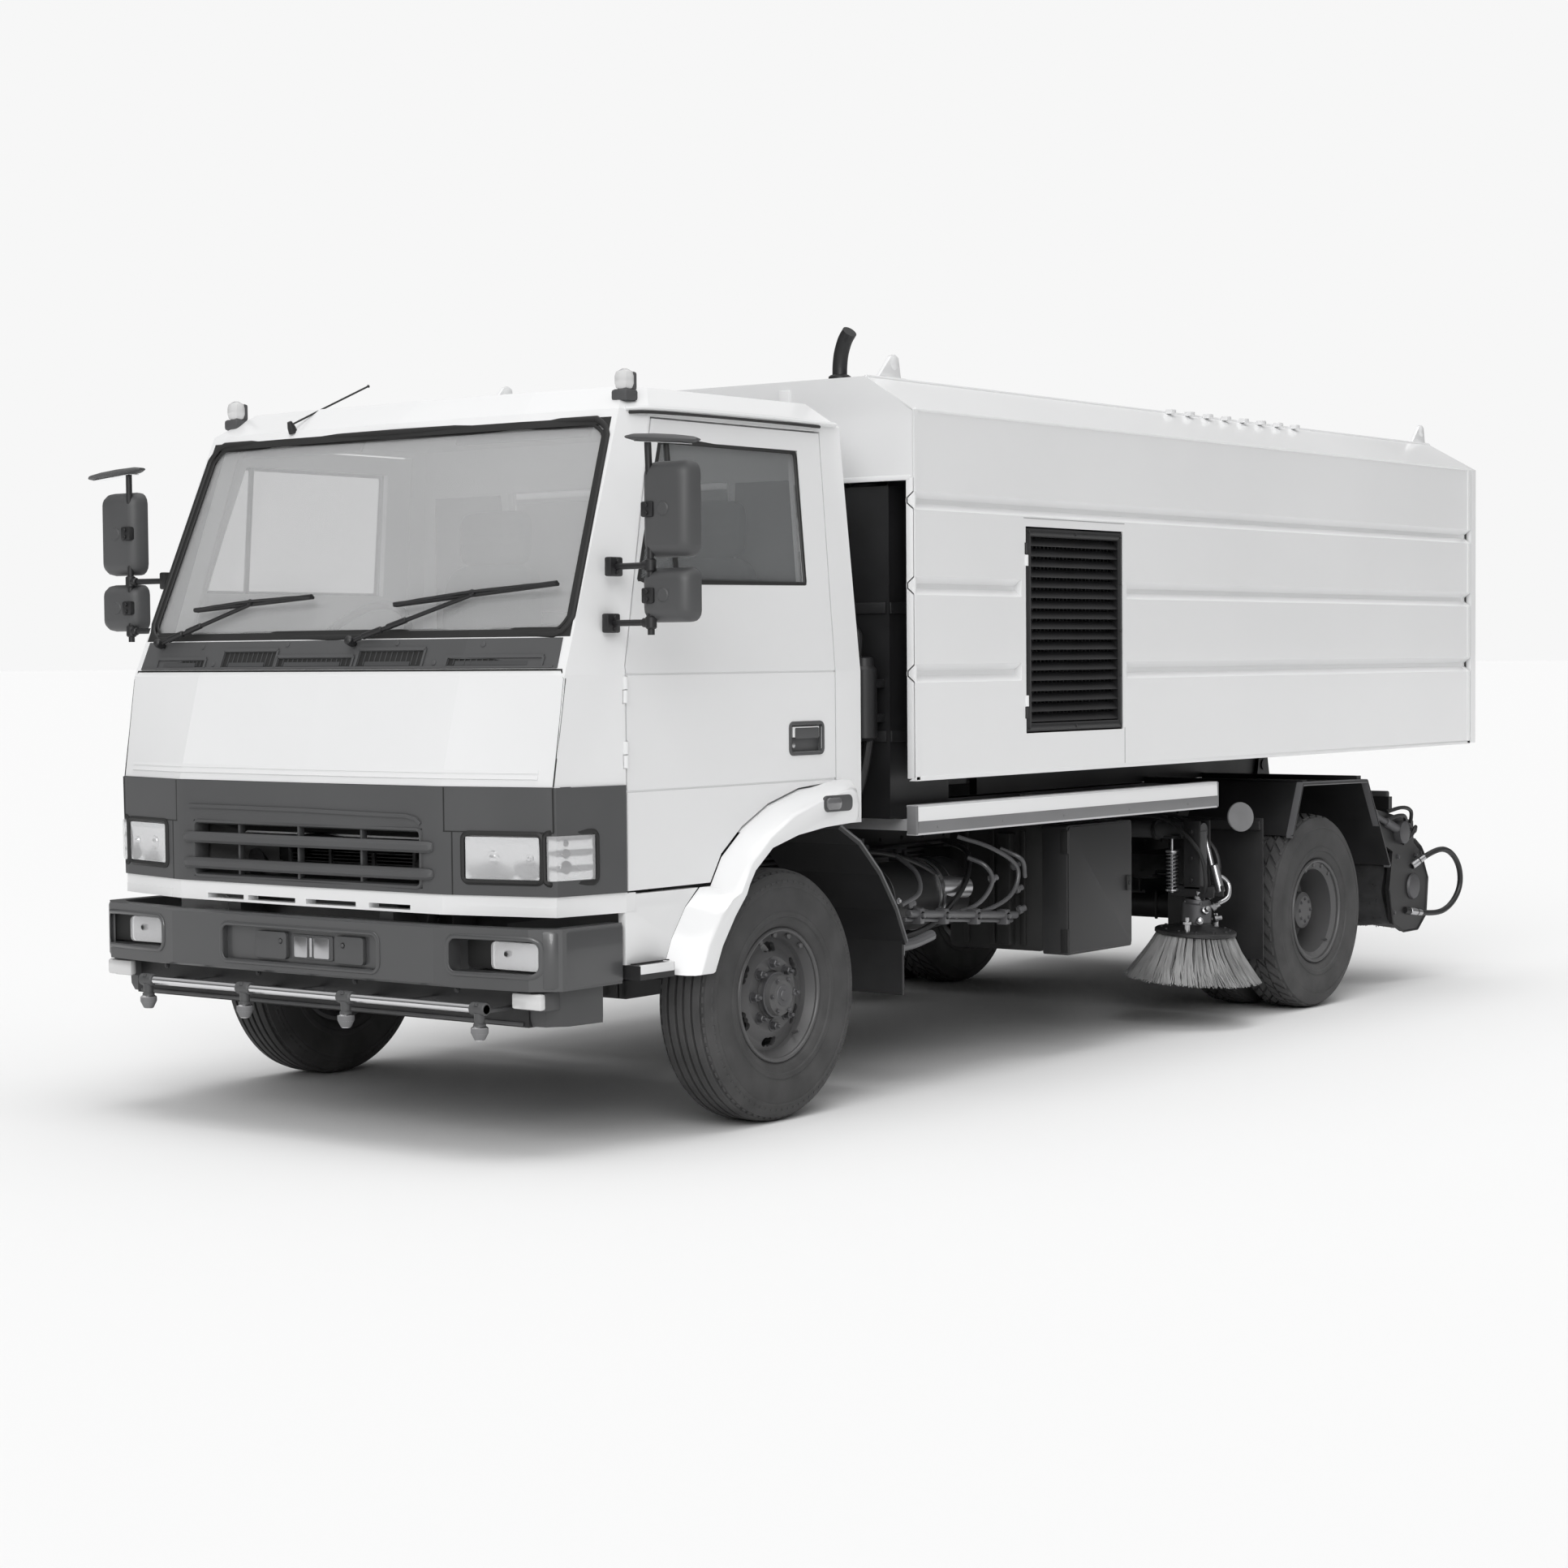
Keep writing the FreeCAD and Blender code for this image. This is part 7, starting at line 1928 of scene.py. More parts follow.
    def _wheel(self) -> None:
        """Steering wheel hub, spokes and column stalks."""
        sketch = MeshSketch()
        centre, tilt = Vector((-0.500, front(-0.330), 1.560)), math.radians(50)
        axis = Vector((0, -math.sin(tilt), math.cos(tilt)))
        up = Vector((0, math.cos(tilt), math.sin(tilt)))
        sketch.lathe(tuple(centre - axis * 0.030), tuple(axis), ((0, 0.050), (0.010, 0.068),
                                                                 (0.026, 0.066), (0.034, 0.050),
                                                                 (0.036, 0.02)), 30)
        for turn in (25, 155, 270):
            angle = math.radians(turn)
            ray = Vector((1, 0, 0)) * math.cos(angle) + up * math.sin(angle)
            sketch.tube((tuple(centre - axis * 0.012 + ray * 0.05),
                         tuple(centre - axis * 0.010 + ray * 0.13), tuple(centre + ray * 0.212)), 0.012)
        for way in (-1, 1):
            sketch.tube((tuple(centre - axis * 0.10),
                         tuple(centre - axis * 0.09 + Vector((way * 0.10, 0, 0.01))),
                         tuple(centre - axis * 0.07 + Vector((way * 0.17, 0, 0.02)))), 0.006)
        sketch.piece("steering_spokes", Finishes.plastic, "chassis")


@dataclass
class RoofTrim:
    """Roof markers, aerial, rain gutters and flare indicators of the cab."""

    def build(self) -> None:
        """Makes the fittings of the cab roof and the wheel arches."""
        self._markers()
        self._aerial()
        self._gutters()
        self._flare_lamps()

    def _markers(self) -> None:
        """Clear roof marker lamps on their feet."""
        feet, lenses = MeshSketch(), MeshSketch()
        for way in (-1, 1):
            low, high = sorted((way * 0.864, way * 0.930))
            feet.block((low, front(-0.542), 2.346), (high, front(-0.480), 2.384), 0.010)
            lenses.block((low + 0.002, front(-0.538), 2.378), (high - 0.002, front(-0.484), 2.449),
                         0.024)
            feet.block((low + 0.006, front(-0.500), 2.380), (high - 0.006, front(-0.478), 2.440), 0.008)
        feet.piece("roof_marker_feet", Finishes.plastic, "chassis")
        lenses.piece("roof_marker_lenses", Finishes.frosted, "chassis")

    def _aerial(self) -> None:
        """Whip aerial on the windscreen header."""
        sketch = MeshSketch()
        sketch.lathe((-0.50, front(-0.620), 2.322), (0, -0.5, 1), ((-0.01, 0.016), (0.010, 0.014),
                                                                   (0.030, 0.008)), 16)
        sketch.tube(((-0.50, front(-0.622), 2.340), (-0.50, front(-0.50), 2.392),
                     (-0.50, front(-0.25), 2.497)), 0.0035, 8)
        sketch.lathe((-0.50, front(-0.252), 2.496), (0, 1, 0.4), ((-0.004, 0.003), (0, 0.006),
                                                                  (0.004, 0.003)), 10)
        sketch.piece("aerial", Finishes.black, "chassis")

    def _gutters(self) -> None:
        """Rain gutters over the doors and the seam round the roof."""
        sketch = MeshSketch()
        for way in (-1, 1):
            line = ((way * 0.940, front(-0.560), 2.318), (way * 0.976, front(-0.470), 2.322),
                    (way * 0.984, front(-0.200), 2.326), (way * 0.986, front(0.150), 2.327),
                    (way * 0.986, front(0.500), 2.324))
            sketch.tube(line, 0.008, 8)
        sketch.piece("roof_gutters", Finishes.white, "chassis")
        sketch = MeshSketch()
        for way in (-1, 1):
            line = ((way * 0.952, front(-0.555), 2.306), (way * 0.982, front(-0.470), 2.309),
                    (way * 0.988, front(-0.200), 2.312), (way * 0.990, front(0.150), 2.313),
                    (way * 0.990, front(0.405), 2.312))
            sketch.tube(line, 0.005, 8)
        sketch.piece("door_top_seals", Finishes.seal, "chassis")

    def _flare_lamps(self) -> None:
        """Side indicators on the rear ends of the front wheel flares."""
        bodies, lenses = MeshSketch(), MeshSketch()
        for way in (-1, 1):
            low, high = sorted((way * 1.150, way * 1.160))
            bodies.prism(rounded((front(0.187), 1.013), (front(0.348), 1.068), 0.020), "x",
                         (low, high), 0.002)
            low, high = sorted((way * 1.158, way * 1.168))
            lenses.prism(rounded((front(0.196), 1.020), (front(0.276), 1.061), 0.016), "x",
                         (low, high), 0.003)
        bodies.piece("side_marker_bodies", Finishes.plastic, "chassis")
        lenses.piece("side_marker_lenses", Finishes.amber, "chassis")


# ------------------------------------------------------------------ body


@dataclass
class BodyTrim:
    """Seams, fasteners, roof bits and latches of the tipping body."""

    half: float = 1.157
    start: float = front(0.728)
    end: float = rear(1.5365)
    bottom: float = 1.100
    shoulder: float = 2.383
    roof: float = 2.510
    roof_half: float = 0.950
    louvre: Tuple[float, float] = (front(1.450), front(2.130))
    louvre_z: Tuple[float, float] = (1.250, 1.995)

    def build(self) -> None:
        """Makes every detail of the body."""
        self._sheet_edges()
        self._seams()
        self._roof()
        self._front()
        for side in SIDES:
            self._louvres(side)
        self._gate()

    def _side_line(self, out: float) -> List[Tuple[float, float]]:
        """Side profile of the body with its grooves as (x, z), moved outwards."""
        line = [(self.half + out, self.bottom)]
        for level in (1.470, 1.775, 2.070):
            line += [(self.half + out, level - 0.032), (self.half - 0.030 + out, level - 0.008),
                     (self.half - 0.030 + out, level + 0.008), (self.half + out, level + 0.032)]
        line.append((self.half + out, self.shoulder))
        return line

    def _band(self, sketch: MeshSketch, y: Tuple[float, float], proud: float) -> None:
        """Adds a narrow band over the side profile, between two stations."""
        line = self._side_line(0.0)
        rings = []
        for place in y:
            inner = [(x - 0.004, place, z) for x, z in line]
            outer = [(x + proud, place, z) for x, z in reversed(line)]
            rings.append(inner + outer)
        sketch.skin(rings)

    def _sheet_edges(self) -> None:
        """Folded edges at the front corner, the foot and the rear of the body sides."""
        sketch = MeshSketch()
        self._band(sketch, (self.start - 0.002, self.start + 0.022), 0.003)
        self._band(sketch, (self.end - 0.030, self.end - 0.004), 0.003)
        sketch.prism(((self.half - 0.030, self.bottom - 0.004),
                      (self.half + 0.003, self.bottom - 0.004),
                      (self.half + 0.003, self.bottom + 0.012),
                      (self.half - 0.004, self.bottom + 0.012)), "y", (self.start, self.end), 0.0015)
        for x, z in ((self.half - 0.002, self.shoulder), (self.roof_half, self.roof)):
            sketch.rod((x, self.start + 0.004, z), (x, self.end - 0.004, z), 0.006, 10)
        sketch.mirrored().piece("body_edges", Finishes.white, "hopper", 30.0)

    def _seams(self) -> None:
        """Fine shadow lines where the side sheets meet."""
        sketch = MeshSketch()
        y, top = front(2.150), 2.030
        inner, outer = self.half - 0.001, self.half + 0.0008
        sketch.block((inner, y - 0.0015, self.bottom + 0.012), (outer, y + 0.0015, 1.250), 0.0)
        sketch.block((inner, self.louvre[0] - 0.020, top), (outer, y, top + 0.003), 0.0)
        sketch.block((inner, self.start + 0.022, 2.140), (outer, self.start + 0.025, 2.190), 0.0)
        sketch.mirrored().piece("body_seams", Finishes.seam, "hopper")

    def _roof(self) -> None:
        """Hatch, clips along the roof edge, lug feet and the bent stack."""
        sketch = MeshSketch()
        for index in range(8):
            y = front(2.84 + 0.155 * index)
            sketch.block((0.955, y - 0.020, self.roof - 0.006), (0.985, y + 0.020, self.roof + 0.012),
                         0.003)
        sketch.block((-0.60, front(2.30), self.roof - 0.002), (0.60, front(3.50), self.roof + 0.022),
                     0.008)
        sketch.block((-0.66, front(2.24), self.roof - 0.004), (0.66, front(3.56), self.roof + 0.006),
                     0.003)
        for y in (front(2.245), front(4.2), front(4.9)):
            sketch.block((-0.90, y, self.roof - 0.002), (0.90, y + 0.030, self.roof + 0.006), 0.003)
        sketch.piece("roof_hatch", Finishes.white, "hopper", 30.0)
        sketch = MeshSketch()
        for way in (-1, 1):
            for station in (front(0.930), rear(1.480)):
                low, high = sorted((way * 0.905, way * 0.948))
                sketch.block((low, station - 0.060, self.roof - 0.001), (high, station + 0.060,
                                                                         self.roof + 0.008), 0.003)
                fin = ((station - 0.105, self.roof), (station - 0.060, self.roof + 0.040),
                       (station - 0.020, self.roof + 0.084), (station + 0.008, self.roof + 0.092),
                       (station + 0.030, self.roof + 0.080), (station + 0.046, self.roof))
                low, high = sorted((way * 0.919, way * 0.934))
                sketch.prism(fin, "x", (low, high), 0.002)
                for y in (-0.045, 0.045):
                    sketch.bolt((way * 0.912, station + y, self.roof + 0.007), (0, 0, 1), 0.006, 0.006)
                sketch.lathe((way * 0.917, station + 0.004, self.roof + 0.060), (way, 0, 0),
                             ((0, 0.020), (0.002, 0.024), (0.017, 0.024), (0.019, 0.020)), 20)
        sketch.piece("lug_feet", Finishes.white, "hopper")
        sketch = MeshSketch()
        base = (0.790, front(0.800), self.roof)
        sketch.lathe(base, (0, 0, 1), ((-0.002, 0.040), (0.012, 0.040), (0.018, 0.032)), 28)
        sketch.tube(smooth_line([Vector(point) for point in (
            (0.790, front(0.800), 2.515), (0.791, front(0.800), 2.560), (0.800, front(0.797), 2.605),
            (0.820, front(0.792), 2.648), (0.845, front(0.786), 2.676))]), 0.0265, 24)
        sketch.piece("air_stack", Finishes.black, "hopper", replaces=("roof_fittings",))
        sketch = MeshSketch()
        for y in (front(2.46), front(3.34)):
            sketch.block((-0.70, y - 0.035, self.roof + 0.004), (-0.58, y + 0.035, self.roof + 0.030),
                         0.004)
            sketch.rod((-0.665, y - 0.050, self.roof + 0.026), (-0.665, y + 0.050, self.roof + 0.026),
                       0.009)
        sketch.piece("hatch_hinges", Finishes.steel, "hopper")

    def _front(self) -> None:
        """Ribs on the front sheet, and its folded side edges."""
        sketch = MeshSketch()
        y = self.start
        sketch.block((-1.140, y - 0.003, 2.140), (1.140, y + 0.010, 2.158), 0.003)
        for x in (-0.60, 0.0, 0.60):
            sketch.block((x - 0.025, y - 0.006, 2.170), (x + 0.025, y + 0.002, 2.480), 0.004)
        for way in (-1, 1):
            low, high = sorted((way * 1.122, way * 1.158))
            sketch.block((low, y - 0.002, 1.104), (high, y + 0.010, 2.150), 0.003)
        sketch.piece("front_sheet_ribs", Finishes.white, "hopper")

    def _louvres(self, side: str) -> None:
        """Frame bead, corner and edge screws, and the mesh behind the louvres of one engine door."""
        way = SIDES[side]
        sketch = MeshSketch()
        y0, y1 = self.louvre
        z0, z1 = self.louvre_z
        outline = rounded((y0 + 0.015, z0 + 0.015), (y1 - 0.015, z1 - 0.015), 0.006)
        rings = []
        for index, (y, z) in enumerate(outline):
            ahead = (Vector(outline[(index + 1) % len(outline)])
                     - Vector(outline[index - 1])).normalized()
            aside = Vector((-ahead.y, ahead.x))
            ring = []
            for step in range(8):
                turn = 2 * math.pi * step / 8
                ring.append((way * (self.half - 0.001 + 0.004 * math.sin(turn)),
                             y + aside.x * 0.012 * math.cos(turn),
                             z + aside.y * 0.012 * math.cos(turn)))
            rings.append(ring)
        rings.append(rings[0])
        sketch.skin(rings, capped=False)
        for y in (y0 + 0.015, (y0 + y1) / 2, y1 - 0.015):
            for z in (z0 + 0.015, z1 - 0.015):
                sketch.bolt((way * (self.half + 0.001), y, z), (way, 0, 0), 0.0055, 0.004)
        for z in (1.45, 1.62, 1.80):
            sketch.bolt((way * (self.half + 0.001), y1 - 0.015, z), (way, 0, 0), 0.0055, 0.004)
        sketch.piece("louvre_bead_" + side, Finishes.black, "engine_door_" + side)
        back = MeshSketch()
        low, high = sorted((way * (self.half - 0.031), way * (self.half - 0.029)))
        for index in range(24):
            y = y0 + 0.032 + (y1 - y0 - 0.064) * index / 23
            back.block((low, y - 0.0015, z0 + 0.030), (high, y + 0.0015, z1 - 0.030), 0.0)
        back.piece("louvre_mesh_" + side, Finishes.black, "engine_door_" + side)

    def _gate(self) -> None:
        """Frame ribs, latches, plate, handles and seal of the tailgate."""
        face = rear(1.600)
        sketch = MeshSketch()
        for x in (-1.085, -0.370, 0.370, 1.085):
            low, high = x - 0.016, x + 0.016
            sketch.block((low, face - 0.004, 1.140), (high, face + 0.004, 2.370), 0.003)
        for z in (1.140, 1.750, 2.360):
            sketch.block((-1.120, face - 0.004, z - 0.014), (1.120, face + 0.004, z + 0.014), 0.003)
        sketch.piece("gate_ribs", Finishes.white, "tailgate")
        sketch = MeshSketch()
        for x in (-0.95, 0.95):
            sketch.block((x - 0.045, face - 0.003, 1.118), (x + 0.045, face + 0.008, 1.156), 0.004)
            sketch.rod((x, face - 0.002, 1.135), (x, face + 0.014, 1.135), 0.015)
            sketch.tube(((x, face + 0.010, 1.135), (x + 0.03, face + 0.012, 1.128),
                         (x + 0.09, face + 0.012, 1.115)), 0.007)
        sketch.rod((-0.22, face - 0.002, 1.44), (-0.22, face + 0.012, 1.44), 0.010)
        sketch.piece("gate_latches", Finishes.steel, "tailgate")
        sketch = MeshSketch()
        for way in (-1, 1):
            sketch.rod((way * 1.128, face - 0.060, 1.110), (way * 1.128, face - 0.060, 2.370), 0.008)
        sketch.rod((-1.128, face - 0.060, 1.110), (1.128, face - 0.060, 1.110), 0.008)
        sketch.piece("gate_seal", Finishes.seal, "tailgate")
        sketch = MeshSketch()
        bar = rear(1.116)
        for way in (-1, 1):
            for x0, x1 in ((0.618, 0.718), (0.722, 0.822), (0.826, 0.922)):
                low, high = sorted((way * x0, way * x1))
                sketch.block((low, bar + 0.036, 0.794), (high, bar + 0.045, 0.872), 0.004)
        sketch.piece("tail_lenses", Finishes.frosted, "chassis")
        sketch = MeshSketch()
        for way in (-1, 1):
            low, high = sorted((way * 0.606, way * 0.934))
            sketch.block((low, bar - 0.002, 0.782), (high, bar + 0.032, 0.884), 0.008)
        sketch.block((-0.26, bar + 0.000, 0.790), (0.26, bar + 0.006, 0.878), 0.004)
        sketch.piece("tail_housings", Finishes.plastic, "chassis")


# ------------------------------------------------------------------ chassis


@dataclass
class ChassisTrim:
    """Bolts, clips, straps, pipes and covers along the frame."""

    rail: float = 0.380
    box: Tuple[float, float] = (front(1.820), front(2.300))

    def build(self) -> None:
        """Makes every detail of the chassis."""
        self._side_rail()
        self._tool_box()
        self._springs()
        self._tanks()
        self._frame()
        self._pipes()
        self._behind_cab()
        self._guards()

    def _side_rail(self) -> None:
        """Top and bottom lips, end caps and bolts of the silver side guard."""
        y0, y1 = front(0.728), front(2.884)
        rows = (("guard_upper", Finishes.white, ((1.150, 0.955), (1.1600, 0.955), (1.1585, 1.000),
                                                 (1.1560, 1.008), (1.150, 1.008))),
                ("guard_lower", Finishes.rail_shade, ((1.150, 0.911), (1.1560, 0.911), (1.1585, 0.918),
                                                      (1.1600, 0.955), (1.150, 0.955))))
        for name, finish, outline in rows:
            sketch = MeshSketch()
            sketch.prism(outline, "y", (y0 + 0.012, y1 - 0.004), 0.001)
            sketch.mirrored().piece(name, finish, "chassis", 30.0)
        sketch = MeshSketch()
        for y in (y0, y1 - 0.003):
            sketch.block((1.118, y - 0.002, 0.909), (1.159, y + 0.012, 1.010), 0.003)
        for y in (0.86, 1.28, 1.70, 2.18, 2.64):
            sketch.bolt((1.158, front(y), 0.932), (1, 0, 0), 0.0045, 0.003)
        sketch.mirrored().piece("guard_ends", Finishes.rail_shade, "chassis")

    def _tool_box(self) -> None:
        """Lid, hinges, latch and brackets of the tool box, and a black plate with ribs across its front
        that is painted shade.
        """
        sketch = MeshSketch()
        y0, y1 = self.box
        inner, face = 0.988, 1.100
        sketch.prism(rounded((y0, 0.391), (y1, 0.884), 0.010), "x", (inner, face - 0.004), 0.003)
        sketch.prism(rounded((y0 + 0.008, 0.399), (y1 - 0.006, 0.878), 0.012), "x",
                     (face - 0.006, face + 0.001), 0.002)
        sketch.piece("tool_box_case", Finishes.case, "chassis", 30.0, ("tool_box",))
        sketch = MeshSketch()
        for z in (0.445, 0.822):
            sketch.block((face - 0.030, y0 - 0.006, z - 0.045), (face + 0.003, y0 + 0.001, z + 0.045),
                         0.003)
            sketch.rod((face + 0.001, y0 - 0.001, z - 0.045), (face + 0.001, y0 - 0.001, z + 0.045),
                       0.006)
        sketch.block((face, y1 - 0.050, 0.610), (face + 0.009, y1 - 0.020, 0.670), 0.003)
        sketch.rod((face + 0.006, y1 - 0.035, 0.640), (face + 0.013, y1 - 0.035, 0.640), 0.009)
        for spot in (0.060, 0.360):
            sketch.block((0.378, y0 + spot, 0.700), (inner + 0.004, y0 + spot + 0.060, 0.780), 0.004)
            sketch.block((inner - 0.010, y0 + spot - 0.020, 0.560), (inner + 0.002, y0 + spot + 0.080,
                                                                     0.860), 0.003)
        sketch.block((0.800, y0 - 0.030, 0.420), (0.860, y0 + 0.030, 0.850), 0.006)
        # The black plate with ribs across the front of the box is painted shade: it stands for the box
        # front in deep shadow.
        sketch.prism(rounded((0.560, 0.400), (0.990, 0.876), 0.020), "y", (y0 + 0.006, y0 + 0.020),
                     0.003)
        for x in (0.640, 0.760, 0.900):
            sketch.block((x - 0.012, y0 - 0.004, 0.420), (x + 0.012, y0 + 0.008, 0.860), 0.003)
        sketch.piece("tool_box_brackets", Finishes.seal, "chassis")

    def _springs(self) -> None:
        """Clamp bolts, rebound clips and shackle pins of the leaf springs, and the dampers."""
        sketch = MeshSketch()
        rows = ((front(0), 0.430, 0.485, 0.372), (rear(0), 0.484, 0.539, 0.352))
        for station, seat, top, foot in rows:
            for y in (-0.062, 0.062):
                for x in (0.381, 0.459):
                    sketch.rod((x, station + y, foot), (x, station + y, top + 0.030), 0.007, 10)
                sketch.tube(((0.381, station + y, top + 0.012), (0.385, station + y, top + 0.022),
                             (0.420, station + y, top + 0.024), (0.455, station + y, top + 0.022),
                             (0.459, station + y, top + 0.012)), 0.007, 8)
            sketch.block((0.372, station - 0.085, top - 0.002), (0.468, station + 0.085, top + 0.012),
                         0.004)
            for way in (-1, 1):
                y = station + way * 0.640
                eye = 0.553 if station < 0 else 0.593
                sketch.rod((0.374, y, eye), (0.470, y, eye), 0.013)
                sketch.bolt((0.455, y, eye), (1, 0, 0), 0.012, 0.010)
                clip = station + way * 0.330
                sketch.block((0.380, clip - 0.012, seat + 0.010), (0.460, clip + 0.012, seat + 0.070),
                             0.004)
        sketch.mirrored().piece("spring_clamps", Finishes.black, "chassis")
        sketch = MeshSketch()
        for station, low, high in ((front(0.07), 0.455, 0.800), (rear(-0.10), 0.470, 0.800)):
            sketch.rod((0.520, station, low), (0.430, station + 0.10, (low + high) / 2 + 0.02), 0.020)
            sketch.rod((0.485, station + 0.045, (low + high) / 2 - 0.05),
                       (0.405, station + 0.14, high), 0.027)
        sketch.mirrored().piece("dampers", Finishes.grey, "chassis")

    def _tanks(self) -> None:
        """Straps, caps and drain plugs of the fuel tank and the air tank."""
        sketch = MeshSketch()
        outline = ((-0.963, 0.477), (-0.518, 0.477), (-0.477, 0.518), (-0.477, 0.802), (-0.518, 0.843),
                   (-0.963, 0.843), (-1.003, 0.802), (-1.003, 0.518))
        for y in (front(1.44), front(2.00)):
            sketch.prism(outline, "y", (y - 0.020, y + 0.020), 0.002)
        for y in (front(1.08), front(1.46)):
            sketch.lathe((0.700, y - 0.018, 0.640), (0, 1, 0), ((0, 0.131), (0.002, 0.134),
                                                                (0.034, 0.134), (0.036, 0.131)), 40)
        sketch.lathe((0.700, front(0.960), 0.640), (0, -1, 0), ((-0.002, 0.118), (0.010, 0.105),
                                                                (0.018, 0.070), (0.020, 0.02)), 36)
        sketch.lathe((0.700, front(1.560), 0.640), (0, 1, 0), ((-0.002, 0.118), (0.010, 0.105),
                                                               (0.018, 0.070), (0.020, 0.02)), 36)
        sketch.piece("tank_straps", Finishes.black, "chassis", 30.0)
        sketch = MeshSketch()
        sketch.lathe((-0.960, front(1.70), 0.815), (-0.7, 0, 0.7), ((0, 0.050), (0.012, 0.050),
                                                                    (0.016, 0.056), (0.034, 0.056),
                                                                    (0.040, 0.045)), 28)
        for y in (front(1.08), front(1.46)):
            sketch.bolt((0.834, y, 0.640), (1, 0, 0), 0.008, 0.010)
        sketch.rod((0.700, front(1.10), 0.512), (0.700, front(1.10), 0.490), 0.012)
        for y in (1.355, 1.385):
            sketch.lathe((0.700, front(y), 0.640), (0, 1, 0), ((0, 0.128), (0.002, 0.1355),
                                                               (0.010, 0.1355), (0.012, 0.128)), 40)
        sketch.lathe((0.790, front(1.39), 0.668), (0.25, 1.0, -0.05), ((0, 0.034), (0.004, 0.046),
                                                                       (0.150, 0.040), (0.165, 0.024)),
                     28)
        sketch.piece("tank_caps", Finishes.steel, "chassis")
        sketch = MeshSketch()
        loops = (((0.86, front(1.50), 0.775), (0.92, front(1.525), 0.745), (0.94, front(1.545), 0.690),
                  (0.93, front(1.495), 0.622), (0.90, front(1.42), 0.585), (0.84, front(1.30), 0.575)),
                 ((0.80, front(1.52), 0.850), (0.90, front(1.60), 0.806), (0.95, front(1.70), 0.730),
                  (0.95, front(1.66), 0.630), (0.93, front(1.50), 0.578), (0.93, front(1.25), 0.580),
                  (0.92, front(1.00), 0.632)),
                 ((0.93, front(0.96), 0.637), (0.94, front(1.06), 0.676), (0.90, front(1.10), 0.745),
                  (0.80, front(1.12), 0.800)),
                 ((0.90, front(1.66), 0.800), (0.97, front(1.70), 0.760), (0.96, front(1.74), 0.690)))
        for loop in loops:
            sketch.tube(smooth_line([Vector(point) for point in loop]), 0.0085, 10)
        sketch.rod((0.945, front(0.985), 0.606), (0.945, front(1.700), 0.548), 0.014)
        sketch.rod((0.925, front(0.985), 0.585), (0.925, front(1.700), 0.527), 0.009)
        for y, z in ((1.05, 0.596), (1.21, 0.583), (1.42, 0.566), (1.62, 0.550)):
            sketch.block((0.915, front(y) - 0.014, z - 0.032), (0.962, front(y) + 0.014, z + 0.026),
                         0.005)
            sketch.bolt((0.960, front(y), z), (1, 0, 0), 0.010, 0.012)
        for y, z in ((1.545, 0.690), (1.70, 0.730), (1.00, 0.632), (1.30, 0.575), (1.72, 0.640),
                     (1.74, 0.560)):
            sketch.lathe((0.925, front(y), z), (0.3, 0.6, 0.2), ((0, 0.010), (0.004, 0.017),
                                                                 (0.018, 0.017), (0.022, 0.012),
                                                                 (0.036, 0.012)), 8)
        sketch.piece("air_lines", Finishes.line, "chassis")

    def _frame(self) -> None:
        """Rows of bolts on the frame rails and brackets for the axles."""
        sketch = MeshSketch()
        spots = [front(-0.85 + 0.145 * index) for index in range(39)]
        for y in spots:
            if abs(y - front(-0.64)) < 0.09 or abs(y - front(0.64)) < 0.05:
                continue
            for z in (0.700, 0.820):
                sketch.bolt((self.rail, y, z), (1, 0, 0), 0.0075, 0.006)
        for y in (rear(0.958), rear(0.930)):
            sketch.bolt((self.rail, y, 0.93), (1, 0, 0), 0.011, 0.010)
        sketch.mirrored().piece("rail_bolts", Finishes.black, "chassis")
        sketch = MeshSketch()
        for y in (front(0.95), front(2.2), front(3.4), front(4.2)):
            sketch.block((self.rail - 0.002, y - 0.045, 0.800), (self.rail + 0.008, y + 0.045, 0.930),
                         0.003)
            for z in (0.825, 0.905):
                for way in (-0.028, 0.028):
                    sketch.bolt((self.rail + 0.007, y + way, z), (1, 0, 0), 0.008, 0.007)
        sketch.mirrored().piece("body_brackets", Finishes.black, "chassis")

    def _pipes(self) -> None:
        """Brake pipes, hydraulic lines and the exhaust under the frame."""
        sketch = MeshSketch()
        for z, radius in ((0.775, 0.008), (0.795, 0.008), (0.757, 0.006)):
            sketch.tube(((0.393, front(0.55), z), (0.396, front(1.5), z - 0.004),
                         (0.393, front(2.6), z), (0.393, front(2.85), z + 0.006)), radius, 8)
        runs = (((0.50, front(0.93), 0.700), (0.60, front(1.02), 0.800), (0.72, front(1.18), 0.800),
                 (0.80, front(1.36), 0.720), (0.74, front(1.62), 0.560), (0.62, front(1.70), 0.520)),
                ((0.44, front(1.10), 0.560), (0.62, front(1.16), 0.480), (0.80, front(1.30), 0.520),
                 (0.86, front(1.46), 0.660), (0.78, front(1.62), 0.780), (0.60, front(1.72), 0.820)),
                ((0.42, front(2.38), 0.760), (0.60, front(2.44), 0.700), (0.72, front(2.56), 0.560),
                 (0.62, front(2.62), 0.470)),
                ((0.42, front(2.46), 0.800), (0.66, front(2.52), 0.760), (0.80, front(2.60), 0.660),
                 (0.76, front(2.64), 0.540)))
        for run in runs:
            sketch.tube(run, 0.011, 10)
        sketch.piece("service_pipes", Finishes.hose, "chassis")
        sketch = MeshSketch()
        for y, z in ((front(1.24), 0.800), (front(1.52), 0.742)):
            sketch.block((0.50, y - 0.030, z - 0.040), (0.575, y + 0.030, z + 0.030), 0.010)
            for x in (0.515, 0.558):
                sketch.rod((x, y, z + 0.028), (x, y, z + 0.052), 0.010)
